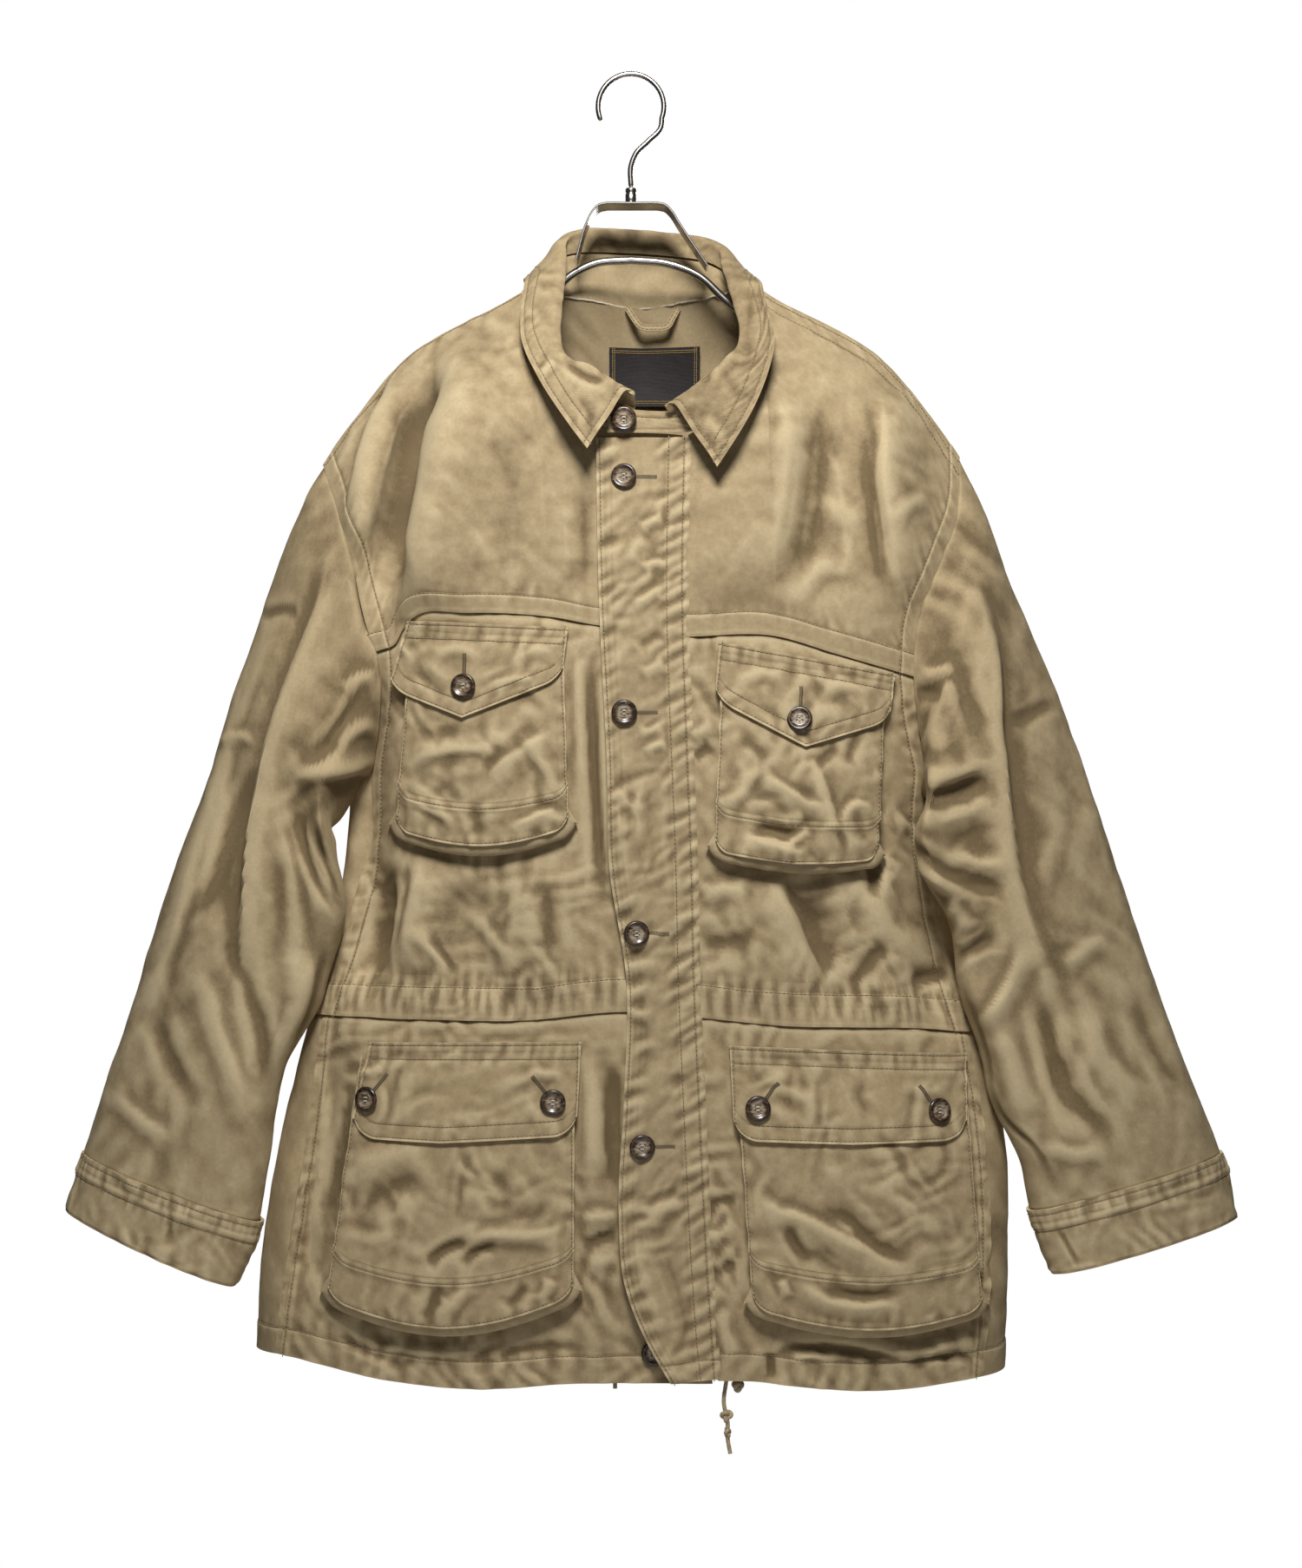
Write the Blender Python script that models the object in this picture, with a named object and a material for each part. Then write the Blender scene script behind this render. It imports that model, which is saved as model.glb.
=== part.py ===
import bpy
import numpy as np
from mathutils import Vector

for old in list(bpy.data.objects):
    bpy.data.objects.remove(old)

# A khaki field coat hung on a steel hanger. Metres, +Z up, the front faces -Y, and the origin is the
# inside top of the hook. Left and right are the viewer's, who looks along +Y.


def table(columns, *rows):
    # Columns of numbers by name, in the order of the first column.
    values = np.array(sorted(rows), float).T
    return dict(zip(columns.split(), values))


def records(columns, *rows):
    # One dictionary a row.
    return [dict(zip(columns.split(), row)) for row in rows]


CLOTH = 0.0014  # one layer of washed twill with its turnings
DOUBLE = 0.0018  # cuffs, collar, placket and flaps, which are two layers
SEAM = 0.0003  # what each piece keeps back from its seam line
SIDE_SEAM = 0.0012  # the same at the sides, where the seam bends most
SLEEVE_SEAM = 0.0020
LAP = 0.0034  # how far the placket stands off the front that it covers
LAP_FADE = 0.050  # width of covering front in which that dies away

# The body's rings, from shoulder to hem: its two edges as seen from the front, and its depth.
BODY = table(
    "z left right front back",
    (-0.120, -0.262, 0.290, 0.070, 0.060),
    (-0.300, -0.262, 0.290, 0.072, 0.058),
    (-0.420, -0.246, 0.272, 0.080, 0.062),
    (-0.560, -0.226, 0.244, 0.082, 0.066),
    (-0.650, -0.232, 0.250, 0.080, 0.066),
    (-0.750, -0.256, 0.280, 0.078, 0.064),
    (-0.850, -0.281, 0.300, 0.076, 0.064),
    (-0.950, -0.297, 0.303, 0.074, 0.063),
    (-1.060, -0.301, 0.299, 0.072, 0.062),
)
BODY_SQUARE = 2.5  # 2 would make each ring an ellipse, and more is squarer

# The shoulder's ridge, outwards from the neck's middle.
NECK_X = 0.010
RIDGE = table(
    "out z",
    (0.000, -0.118),
    (0.085, -0.166),
    (0.115, -0.184),
    (0.142, -0.197),
    (0.166, -0.210),
    (0.189, -0.225),
    (0.215, -0.253),
    (0.236, -0.281),
    (0.255, -0.309),
    (0.275, -0.345),
)
SHOULDER_DROP = 0.130  # depth below the ridge at which the cloth hangs straight
SHOULDER_CURVE = 1.7
RIDGE_ROUND = 0.005

# The placket's free edge, its seam, and how far its free edge stands out.
PLACKET = table(
    "z free seam lift",
    (-0.290, -0.027, 0.045, 0.000),
    (-0.433, -0.024, 0.043, 0.001),
    (-0.555, -0.018, 0.047, 0.003),
    (-0.635, -0.016, 0.050, 0.004),
    (-0.723, -0.003, 0.052, 0.001),
    (-0.817, -0.005, 0.056, 0.001),
    (-0.905, -0.009, 0.060, 0.003),
    (-0.959, -0.004, 0.063, 0.008),
    (-1.002, 0.013, 0.066, 0.012),
    (-1.036, 0.033, 0.068, 0.016),
)
PLACKET_TOP = -0.3005
PLACKET_FOOT = -1.034
UNDERLAP = 0.004  # how far short of the placket's seam the covered front ends

# Seam lines as seen from the front, x and z.
NECK_LEFT = ((-0.084, -0.171), (-0.081, -0.200), (-0.075, -0.235), (-0.060, -0.264), (-0.035, -0.287))
NECK_RIGHT = ((0.098, -0.168), (0.095, -0.200), (0.090, -0.235), (0.079, -0.266), (0.064, -0.287))
NECK_FRONT = -0.2985
NECK_BACK = ((-0.045, -0.174), (0.006, -0.179), (0.057, -0.174))
YOKE_LEFT = ((-0.026, -0.444), (-0.058, -0.438), (-0.126, -0.434), (-0.175, -0.437), (-0.2005, -0.452))
YOKE_RIGHT = ((0.111, -0.452), (0.158, -0.465), (0.2205, -0.482))
WAIST_LEFT = ((-0.010, -0.744), (-0.086, -0.751), (-0.153, -0.751), (-0.2415, -0.750))
WAIST_RIGHT = ((0.118, -0.755), (0.226, -0.759), (0.2640, -0.763))
HEM_LEFT = ((-0.047, -1.037), (-0.120, -1.042), (-0.194, -1.036), (-0.257, -1.024), (-0.278, -1.020))
HEM_RIGHT = ((0.091, -1.035), (0.138, -1.041), (0.195, -1.045), (0.237, -1.043), (0.2765, -1.039))
YOKE_FRONT_LEFT = -0.447  # where each seam meets the front edge
YOKE_FRONT_RIGHT = -0.453
WAIST_FRONT_LEFT = -0.745
WAIST_FRONT_RIGHT = -0.748
FOOT_LEFT = -1.037
FOOT_RIGHT = -1.034
TIP_LEFT_X = -0.246
TIP_RIGHT_X = 0.262
ARMHOLE_LEFT = ((-0.231, -0.350), (-0.216, -0.400), (-0.2005, -0.452), (-0.195, -0.490), (-0.197, -0.525))
ARMHOLE_RIGHT = ((0.259, -0.350), (0.241, -0.395), (0.224, -0.440), (0.2205, -0.482), (0.224, -0.520))
PIT_LEFT = (-0.204, -0.560)
PIT_RIGHT = (0.232, -0.561)
SIDE_LEFT = ((-0.204, -0.601), (-0.219, -0.668), (-0.2415, -0.750), (-0.253, -0.844), (-0.275, -0.994))
SIDE_RIGHT = ((0.230, -0.601), (0.240, -0.668), (0.2640, -0.763), (0.277, -0.844), (0.280, -0.994))
# The armholes' back halves, down to where they pass the body's edge.
ARMHOLE_BACK_LEFT = ((-0.226, -0.355), (-0.214, -0.415), (-0.216, -0.465))
ARMHOLE_BACK_RIGHT = ((0.254, -0.355), (0.241, -0.415), (0.241, -0.465))
WAIST_BACK = -0.752
HEM_BACK = -1.026
NECK_SHARE = 0.40  # share of a front's top edge that is neck, and the rest shoulder
SHOULDER_SHARE = 0.36  # share of the back's top edge that each shoulder takes
PIT_SHARE = 0.35  # share of a front's side edge that is armhole

# Main folds, each along a line on the front or back: its width to either side, and its height.
FRONT_FOLDS = records(
    "x0 z0 x1 z1 left right lift",
    (-0.112, -0.190, -0.172, -0.460, 0.018, 0.050, 0.011),
    (-0.150, -0.230, -0.203, -0.470, 0.016, 0.014, -0.014),
    (-0.180, -0.240, -0.226, -0.400, 0.014, 0.018, 0.008),
    (-0.203, -0.450, -0.208, -0.770, 0.014, 0.013, -0.020),
    (-0.229, -0.760, -0.259, -0.990, 0.012, 0.010, -0.012),
    (0.205, -0.240, 0.214, -0.450, 0.030, 0.025, 0.008),
    (0.226, -0.560, 0.240, -0.780, 0.018, 0.014, -0.010),
    (0.060, -0.320, 0.075, -0.440, 0.020, 0.030, 0.005),
    (-0.060, -0.620, -0.075, -0.745, 0.020, 0.020, 0.006),
    (-0.130, -0.640, -0.110, -0.750, 0.018, 0.018, -0.006),
    (0.140, -0.660, 0.170, -0.760, 0.020, 0.020, -0.006),
    (0.085, -0.600, 0.090, -0.750, 0.018, 0.018, 0.005),
    (-0.030, -0.800, -0.026, -1.050, 0.016, 0.016, 0.006),
    (-0.262, -0.850, -0.285, -1.050, 0.016, 0.016, 0.007),
    (0.288, -0.800, 0.284, -1.050, 0.018, 0.018, 0.006),
)
BACK_FOLDS = records(
    "x0 z0 x1 z1 left right lift",
    (-0.100, -0.250, -0.135, -0.700, 0.030, 0.030, 0.007),
    (0.110, -0.260, 0.150, -0.690, 0.030, 0.030, 0.007),
    (0.005, -0.450, 0.010, -0.780, 0.030, 0.030, -0.008),
    (-0.170, -0.400, -0.180, -0.740, 0.022, 0.022, -0.008),
    (0.180, -0.400, 0.200, -0.740, 0.022, 0.022, -0.008),
    (-0.080, -0.780, -0.100, -1.060, 0.030, 0.030, 0.008),
    (0.090, -0.780, 0.110, -1.060, 0.030, 0.030, 0.008),
    (0.000, -0.800, 0.005, -1.060, 0.026, 0.026, -0.007),
)
HOLE_SHARE = 0.62  # share of the back's height that its armholes take
HOLE_RISE = 0.042  # height above the armpit at which an armhole passes the body's edge
HOLE_STEPS = 10  # points on each half of an armhole, the same on both pieces
SEARCH_STEPS = 201  # points tried along a curve to find where it crosses the body's edge
FOLD_FADE = 0.25  # share of a fold's length in which each end dies away
FOLD_IN = 3  # how fast folds come in from the body's edges and its shoulders

# Sleeve sections: s is 0 at the armhole and 1 at the cuff's foot. Each has its outer and inner edge as
# seen from the front, and its depth before and behind the line between them.
SLEEVE_LEFT = table(
    "s outer_x outer_z inner_x inner_y inner_z front back",
    (0.00, -0.246, -0.300, -0.204, -0.020, -0.560, 0.040, 0.044),
    (0.08, -0.268, -0.358, -0.218, -0.036, -0.572, 0.044, 0.044),
    (0.19, -0.295, -0.428, -0.232, -0.050, -0.590, 0.042, 0.040),
    (0.30, -0.320, -0.498, -0.232, -0.055, -0.619, 0.040, 0.038),
    (0.41, -0.341, -0.568, -0.232, -0.054, -0.652, 0.040, 0.040),
    (0.52, -0.368, -0.638, -0.237, -0.049, -0.680, 0.041, 0.042),
    (0.64, -0.390, -0.708, -0.247, -0.043, -0.713, 0.042, 0.046),
    (0.73, -0.407, -0.764, -0.264, -0.038, -0.767, 0.042, 0.044),
    (0.81, -0.423, -0.810, -0.280, -0.034, -0.820, 0.040, 0.042),
    (0.89, -0.442, -0.868, -0.294, -0.032, -0.918, 0.036, 0.038),
    (1.00, -0.456, -0.912, -0.314, -0.032, -0.968, 0.034, 0.036),
)
SLEEVE_RIGHT = table(
    "s outer_x outer_z inner_x inner_y inner_z front back",
    (0.00, 0.262, -0.300, 0.232, -0.024, -0.561, 0.040, 0.044),
    (0.08, 0.294, -0.365, 0.233, -0.046, -0.573, 0.044, 0.042),
    (0.19, 0.316, -0.428, 0.231, -0.066, -0.590, 0.040, 0.038),
    (0.30, 0.344, -0.498, 0.229, -0.071, -0.619, 0.038, 0.036),
    (0.41, 0.368, -0.568, 0.238, -0.068, -0.653, 0.038, 0.038),
    (0.52, 0.392, -0.638, 0.253, -0.060, -0.686, 0.040, 0.042),
    (0.64, 0.415, -0.708, 0.272, -0.050, -0.728, 0.042, 0.046),
    (0.73, 0.440, -0.778, 0.292, -0.044, -0.783, 0.042, 0.044),
    (0.81, 0.461, -0.831, 0.304, -0.040, -0.840, 0.040, 0.042),
    (0.89, 0.476, -0.868, 0.316, -0.038, -0.908, 0.036, 0.038),
    (1.00, 0.489, -0.918, 0.333, -0.038, -0.957, 0.034, 0.036),
)
SLEEVE_OUTER_Y = 0.004
SLEEVE_SQUARE = 2.2
CAP = 0.30  # share of the sleeve over which the armhole's form turns into the sleeve's
# The sleeve stands this far off the body under the arm, before its own form takes over.
PIT_CLEAR = 0.009
PIT_FIRST = 0.45
PIT_OVER = 0.05
PIT_TURN = 1.25
PIT_WIDE = 0.30
CUFF_AT = 0.89
CUFF_OUT = 0.0008
# Sleeve folds: places are s and the turn round the sleeve, 0 at its outer edge, 0.5 in front, 1 at its
# inner edge and 1.5 behind.
SLEEVE_FOLDS_LEFT = records(
    "s0 turn0 s1 turn1 wide lift",
    (0.02, 0.36, 0.80, 0.42, 0.13, 0.008),
    (0.30, 0.16, 0.85, 0.14, 0.10, 0.006),
    (0.16, 0.62, 0.80, 0.66, 0.10, -0.010),
    (0.05, 0.72, 0.50, 0.86, 0.08, 0.010),
    (0.10, 1.40, 0.80, 1.45, 0.12, 0.008),
    (0.20, 1.65, 0.80, 1.60, 0.10, -0.007),
    (0.60, 0.80, 0.90, 0.80, 0.10, 0.007),
)
SLEEVE_FOLDS_RIGHT = records(
    "s0 turn0 s1 turn1 wide lift",
    (0.02, 0.34, 0.70, 0.52, 0.13, 0.008),
    (0.35, 0.18, 0.88, 0.16, 0.10, 0.006),
    (0.20, 0.62, 0.85, 0.70, 0.10, -0.010),
    (0.05, 0.74, 0.50, 0.88, 0.08, 0.009),
    (0.10, 1.40, 0.80, 1.45, 0.12, 0.008),
    (0.20, 1.65, 0.80, 1.60, 0.10, -0.007),
    (0.60, 0.82, 0.90, 0.82, 0.10, 0.007),
)

# Collar sections from the covered front end, round the back, to the covering one: the stand's top, the
# leaf's roll and the leaf's free edge. The stand's foot follows the neck's seam.
COLLAR = table(
    "turn top_x top_y top_z roll_x roll_y roll_z edge_x edge_y edge_z",
    (0.00, 0.004, -0.0735, -0.276, 0.003, -0.084, -0.268, -0.033, -0.099, -0.312),
    (0.08, -0.020, -0.0715, -0.262, -0.026, -0.080, -0.250, -0.052, -0.093, -0.286),
    (0.18, -0.052, -0.0620, -0.243, -0.051, -0.066, -0.234, -0.075, -0.080, -0.248),
    (0.32, -0.064, -0.0220, -0.186, -0.053, -0.018, -0.172, -0.087, -0.036, -0.198),
    (0.37, -0.063, -0.0020, -0.165, -0.052, 0.002, -0.148, -0.085, -0.006, -0.1655),
    (0.42, -0.060, 0.0180, -0.144, -0.049, 0.022, -0.124, -0.081, 0.032, -0.166),
    (0.50, 0.012, 0.0385, -0.138, 0.012, 0.040, -0.118, 0.012, 0.066, -0.192),
    (0.58, 0.072, 0.0180, -0.152, 0.068, 0.022, -0.132, 0.098, 0.031, -0.168),
    (0.63, 0.079, -0.0020, -0.171, 0.073, 0.002, -0.152, 0.104, -0.005, -0.1665),
    (0.68, 0.084, -0.0220, -0.190, 0.077, -0.018, -0.172, 0.109, -0.034, -0.194),
    (0.82, 0.082, -0.0640, -0.240, 0.083, -0.064, -0.229, 0.110, -0.074, -0.240),
    (0.92, 0.054, -0.0760, -0.268, 0.050, -0.080, -0.261, 0.092, -0.090, -0.286),
    (1.00, 0.030, -0.0800, -0.282, 0.027, -0.085, -0.278, 0.067, -0.097, -0.326),
)
STAND_TAB = table(
    "turn top_x top_y top_z foot_x foot_y foot_z",
    (1.00, 0.030, -0.0785, -0.2805, 0.034, -0.0775, -0.2970),
    (1.10, -0.018, -0.0785, -0.2780, -0.018, -0.0785, -0.2970),
)
COLLAR_FOOT_GAP = 0.0030
NECK_TURN_LEFT = 0.37  # where the shoulders lie on the way round the collar
NECK_TURN_RIGHT = 0.63
NECK_END_LEFT = -0.004
NECK_END_RIGHT = 0.040
COLLAR_INSIDE = (0.012, -0.020, -0.240)
# The leaf's sections, from inside over the roll to its edge: shares of the way from the roll to the
# stand's top or to the edge, then moves outwards and up.
LEAF = records(
    "to_top to_edge out up",
    (0.88, 0.00, 0.000, 0.0000),
    (0.40, 0.00, 0.000, 0.0000),
    (0.00, 0.00, 0.000, 0.0010),
    (0.00, 0.00, 0.005, 0.0025),
    (0.00, 0.00, 0.010, -0.0005),
    (0.00, 0.45, 0.004, 0.0012),
    (0.00, 0.75, 0.002, 0.0012),
    (0.00, 1.00, 0.000, 0.0000),
)

POCKETS = records(
    "name left_top left_foot right_top right_foot top_left top_right"
    " seam_left seam_right foot_left foot_right sag deep",
    ("chest_left", -0.171, -0.183, -0.052, -0.048, -0.454, -0.458,
     -0.577, -0.577, -0.606, -0.604, 0.013, 0.012),
    ("chest_right", 0.071, 0.066, 0.200, 0.193, -0.474, -0.496,
     -0.590, -0.604, -0.622, -0.629, 0.006, 0.016),
    ("hip_left", -0.212, -0.236, -0.043, -0.044, -0.784, -0.782,
     -0.939, -0.941, -0.972, -0.966, 0.022, 0.018),
    ("hip_right", 0.081, 0.095, 0.263, 0.276, -0.786, -0.794,
     -0.939, -0.950, -0.976, -0.983, 0.014, 0.018),
)
FLAPS = records(
    "name left_top right_top left_foot right_foot top_left top_right"
    " foot_left foot_right tip tip_at corner",
    ("chest_left", -0.174, -0.048, -0.187, -0.052, -0.443, -0.449, -0.496, -0.488, 0.026, 0.42, 0.005),
    ("chest_right", 0.069, 0.207, 0.066, 0.203, -0.460, -0.484, -0.505, -0.521, 0.028, 0.51, 0.005),
    ("hip_left", -0.204, -0.038, -0.217, -0.041, -0.772, -0.770, -0.846, -0.842, 0.004, 0.40, 0.014),
    ("hip_right", 0.077, 0.265, 0.080, 0.264, -0.773, -0.782, -0.846, -0.849, 0.002, 0.50, 0.014),
)
BAG_LIFT = 0.0022  # a bag's top edge above its panel
BAG_RIM = 0.6  # share of a bag's depth that its gusset gives, the rest being the bag's own swell
BAG_LOW = 0.75  # where the swell ends and how early it starts
BAG_HIGH = 0.8
FLAP_LIFT = 0.0029  # a flap above its bag
CORNER_FROM = 0.75  # share of a flap's half width at which its cut corner starts
FLAP_ACROSS = (0, 0.06, 0.15, 0.28, 0.42, 0.51, 0.65, 0.78, 0.88, 0.95, 1)
GUSSET_FROM = 0.30  # share of a bag's height at which its gusset starts
GUSSET_TUCK = 0.004
GUSSET_RIM = 0.0015
GUSSET_GAP = 0.0014

BUTTON_RADIUS = 0.0100
BUTTON_PROFILE = records(
    "radius height",
    (0.55, 0.0016),
    (0.78, 0.0028),
    (1.00, 0.0020),
    (0.96, 0.0006),
    (0.60, 0.0000),
)
BUTTON_SIDES = 10
BUTTON_REACH = 0.008  # how far out its seat is felt for
BUTTONS = records(
    "name x z seat",
    ("button_collar", -0.005, -0.287, "stand"),
    ("button_front_1", -0.005, -0.331, "placket"),
    ("button_front_2", -0.005, -0.514, "placket"),
    ("button_front_3", 0.005, -0.685, "placket"),
    ("button_front_4", 0.009, -0.852, "placket"),
    ("button_front_5", 0.018, -1.013, "front"),
    ("button_chest_left", -0.129, -0.494, "flap"),
    ("button_chest_right", 0.132, -0.520, "flap"),
    ("button_hip_1", -0.206, -0.816, "flap"),
    ("button_hip_2", -0.060, -0.817, "flap"),
    ("button_hip_3", 0.098, -0.822, "flap"),
    ("button_hip_4", 0.241, -0.825, "flap"),
)
BUTTON_GAP = 0.0006

WIRE = 0.0021  # radius of the hook's wire
HOOK_TURN = 0.0265
HOOK_END = 205  # degrees round the hook's arc, from its right side up and over
HOOK_START = -20
HOOK_STEM = ((0.024, -0.041), (0.014, -0.052), (0.004, -0.062), (0.000, -0.072), (0.000, -0.0895))
FERRULE_RADIUS = 0.0045
FERRULE_TOP = -0.0900
FERRULE_FOOT = -0.1030
BRACKET_LEFT = ((-0.019, -0.1036), (-0.026, -0.1052), (-0.031, -0.110), (-0.036, -0.1195), (-0.045, -0.150))
BRACKET_RIGHT = ((0.021, -0.1036), (0.028, -0.1052), (0.033, -0.110), (0.039, -0.1195), (0.062, -0.154))
BRACKET_DEEP = 0.027
BRACKET_THICK = 0.0018
BAR_RADIUS = 0.0032
BAR_LEFT = ((0.000, -0.148), (-0.030, -0.151), (-0.048, -0.160), (-0.066, -0.177),
            (-0.085, -0.192), (-0.113, -0.207), (-0.184, -0.247))
BAR_RIGHT = ((0.000, -0.148), (0.030, -0.151), (0.055, -0.161), (0.076, -0.180),
             (0.090, -0.191), (0.113, -0.203), (0.184, -0.245))

LABEL_LEFT = -0.018
LABEL_RIGHT = 0.056
LABEL_TOP = -0.212
LABEL_FOOT = -0.259
LABEL_THICK = 0.0008
LABEL_GAP = 0.0066
LOOP_PATH = ((-0.003, -0.1815), (0.001, -0.190), (0.008, -0.196), (0.019, -0.198),
             (0.030, -0.196), (0.036, -0.190), (0.038, -0.1815))
LOOP_Y = 0.0292
LOOP_WIDE = 0.005
LOOP_THICK = 0.0014

CORD_RADIUS = 0.0016
CORD_LEFT = ((-0.012, -0.0620, -1.005), (-0.012, -0.0625, -1.022), (-0.012, -0.0640, -1.0425))
CORD_RIGHT = ((0.077, -0.0640, -1.011), (0.075, -0.0645, -1.036), (0.073, -0.0650, -1.053),
              (0.076, -0.0650, -1.069), (0.076, -0.0650, -1.081), (0.078, -0.0655, -1.093))
CORD_KNOTS = records("z reach swell", (-1.064, 0.0042, 2.3), (-1.0765, 0.0028, 2.5))
CORD_SIDES = 8
CORD_STEP = 0.0028
KNOT_AT = (0.084, -0.0640, -1.0405)
KNOT_RADIUS = 0.0050
KNOT_CUT = 75  # degrees up and down at which its ends are cut flat

KHAKI = (0.300, 0.236, 0.150)
KHAKI_DARK = (0.220, 0.168, 0.100)
HORN = (0.060, 0.036, 0.020)
STEEL = (0.420, 0.405, 0.385)
BLACK_WEAVE = (0.020, 0.015, 0.012)
CORD_COLOUR = (0.380, 0.310, 0.210)


def read(place, value, at):
    # The value at a place between a table's rows, on a smooth curve.
    slope = np.gradient(value, place)
    at = np.clip(at, place[0], place[-1])
    i = np.clip(np.searchsorted(place, at, side="right") - 1, 0, len(place) - 2)
    step = place[i + 1] - place[i]
    t = (at - place[i]) / step
    start = (1 + 2 * t) * (1 - t) ** 2 * value[i] + t * (1 - t) ** 2 * step * slope[i]
    return start + t**2 * (3 - 2 * t) * value[i + 1] + t**2 * (t - 1) * step * slope[i + 1]


def curve(points, t):
    # Points on a smooth curve, t from 0 to 1 along it.
    points = np.array(points, float)
    steps = np.linalg.norm(np.diff(points, axis=0), axis=1)
    place = np.concatenate([[0], np.cumsum(steps)]) / steps.sum()
    return np.stack([read(place, column, t) for column in points.T], axis=-1)


def ease(t):
    t = np.clip(t, 0, 1)
    return t * t * (3 - 2 * t)


def mix(a, b, t):
    return a + (b - a) * t


def body_at(z):
    left, right = read(BODY["z"], BODY["left"], z), read(BODY["z"], BODY["right"], z)
    front, back = read(BODY["z"], BODY["front"], z), read(BODY["z"], BODY["back"], z)
    return (left + right) / 2, (right - left) / 2, front, back


def ridge(x):
    return read(RIDGE["out"], RIDGE["z"], np.abs(x - NECK_X))


def hang(x, z):
    # 0 on the shoulder's ridge and 1 where the cloth hangs straight.
    below = np.maximum(ridge(x) - z, 0)
    below = np.sqrt(below * (below + 2 * RIDGE_ROUND))
    return 1 - (1 - np.clip(below / SHOULDER_DROP, 0, 1)) ** SHOULDER_CURVE


def folded(folds, x, z):
    total = np.zeros(np.broadcast(x, z).shape)
    for fold in folds:
        run = np.array((fold["x1"] - fold["x0"], fold["z1"] - fold["z0"]))
        length = np.linalg.norm(run)
        t = ((x - fold["x0"]) * run[0] + (z - fold["z0"]) * run[1]) / length**2
        aside = ((z - fold["z0"]) * run[0] - (x - fold["x0"]) * run[1]) / length
        wide = np.where(aside < 0, fold["left"], fold["right"])
        ends = ease(t / FOLD_FADE) * ease((1 - t) / FOLD_FADE)
        total += fold["lift"] * ends * np.exp(-((aside / wide) ** 2))
    return total


def placket_seam(z):
    return read(PLACKET["z"], PLACKET["seam"], z)


def front_y(x, z):
    middle, half, deep, _ = body_at(z)
    share = (1 - np.clip(np.abs(x - middle) / half, 0, 1) ** BODY_SQUARE) ** (1 / BODY_SQUARE)
    over = np.where(x > placket_seam(z), LAP * (1 - ease((x - placket_seam(z)) / LAP_FADE)), 0)
    loose = np.minimum(1, FOLD_IN * share) * np.minimum(1, FOLD_IN * hang(x, z))
    return -deep * share * hang(x, z) - (folded(FRONT_FOLDS, x, z) + over) * loose


def back_y(x, z):
    middle, half, _, deep = body_at(z)
    share = (1 - np.clip(np.abs(x - middle) / half, 0, 1) ** BODY_SQUARE) ** (1 / BODY_SQUARE)
    loose = np.minimum(1, FOLD_IN * share) * np.minimum(1, FOLD_IN * hang(x, z))
    return deep * share * hang(x, z) + folded(BACK_FOLDS, x, z) * loose


def on_front(xz, lift=0.0):
    x, z = xz[..., 0], xz[..., 1]
    return np.stack([x, front_y(x, z) - lift, z], axis=-1)


def turn_of(x, z, side):
    # The way round the body: 0 at the left edge, over the back, to 1 at the right edge.
    middle, half, _, _ = body_at(z)
    across = np.clip((x - middle) / half, -1, 1)
    turn = np.arccos(-np.sign(across) * np.abs(across) ** (BODY_SQUARE / 2)) / np.pi
    if side > 0:
        return turn
    return -turn if across < 0 else 2 - turn


def on_body(turn_z):
    turn, z = turn_z[..., 0], turn_z[..., 1]
    middle, half, _, _ = body_at(z)
    across = -np.cos(np.pi * turn)
    x = middle + half * np.sign(across) * np.abs(across) ** (2 / BODY_SQUARE)
    behind = (turn > 0) & (turn < 1)
    return np.stack([x, np.where(behind, back_y(x, z), front_y(x, z)), z], axis=-1)


def patch(top, foot, start, end, across, down):
    # A sheet of points between four curves that meet at their ends.
    u, v = np.meshgrid(across, down)
    u, v = u[..., None], v[..., None]
    upper, lower = top(across)[None], foot(across)[None]
    first, last = start(down)[:, None], end(down)[:, None]
    corners = (1 - v) * mix(upper[:, :1], upper[:, -1:], u) + v * mix(lower[:, :1], lower[:, -1:], u)
    return mix(upper, lower, v) + mix(first, last, u) - corners


def line(points):
    return lambda t: curve(points, t)


def joined(first, second, share):
    # One curve with a corner in it, at this share of its length.
    def at(t):
        before = first(np.clip(t / share, 0, 1))
        after = second(np.clip((t - share) / (1 - share), 0, 1))
        return np.where((t < share)[:, None], before, after)

    return at


def two_lines(first, second, share):
    return joined(line(first), line(second), share)


def keep_back(points, around, gap):
    # Draws a sheet's edges in from its seams.
    moved = points.copy()
    sides = [(0, 1, 0), (-1, -2, 0)]
    if not around:
        sides += [(0, 1, 1), (-1, -2, 1)]
    for edge, inner, axis in sides:
        rim = np.take(moved, edge, axis)
        along = unit(np.gradient(np.take(points, edge, axis), axis=0))
        step = np.take(points, inner, axis) - np.take(points, edge, axis)
        step -= along * (step * along).sum(axis=-1, keepdims=True)
        index = (edge, slice(None)) if axis == 0 else (slice(None), edge)
        moved[index] = rim + gap * unit(step)
    return moved


def unit(v):
    return v / np.linalg.norm(v, axis=-1, keepdims=True)


def normals(points, faces, inside):
    # The mean of the faces that meet at each point, by their angles there.
    spots = points.reshape(-1, 3)
    found = np.zeros_like(spots)
    for k in range(3):
        at, after, before = (spots[faces[:, (k + i) % 3]] for i in range(3))
        first, last = unit(after - at), unit(before - at)
        angle = np.arccos(np.clip((first * last).sum(axis=-1), -1, 1))
        np.add.at(found, faces[:, k], angle[:, None] * unit(np.cross(first, last)))
    found = unit(found).reshape(points.shape)
    outwards = ((points - np.array(inside)) * found).sum()
    return found if outwards > 0 else -found


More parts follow.
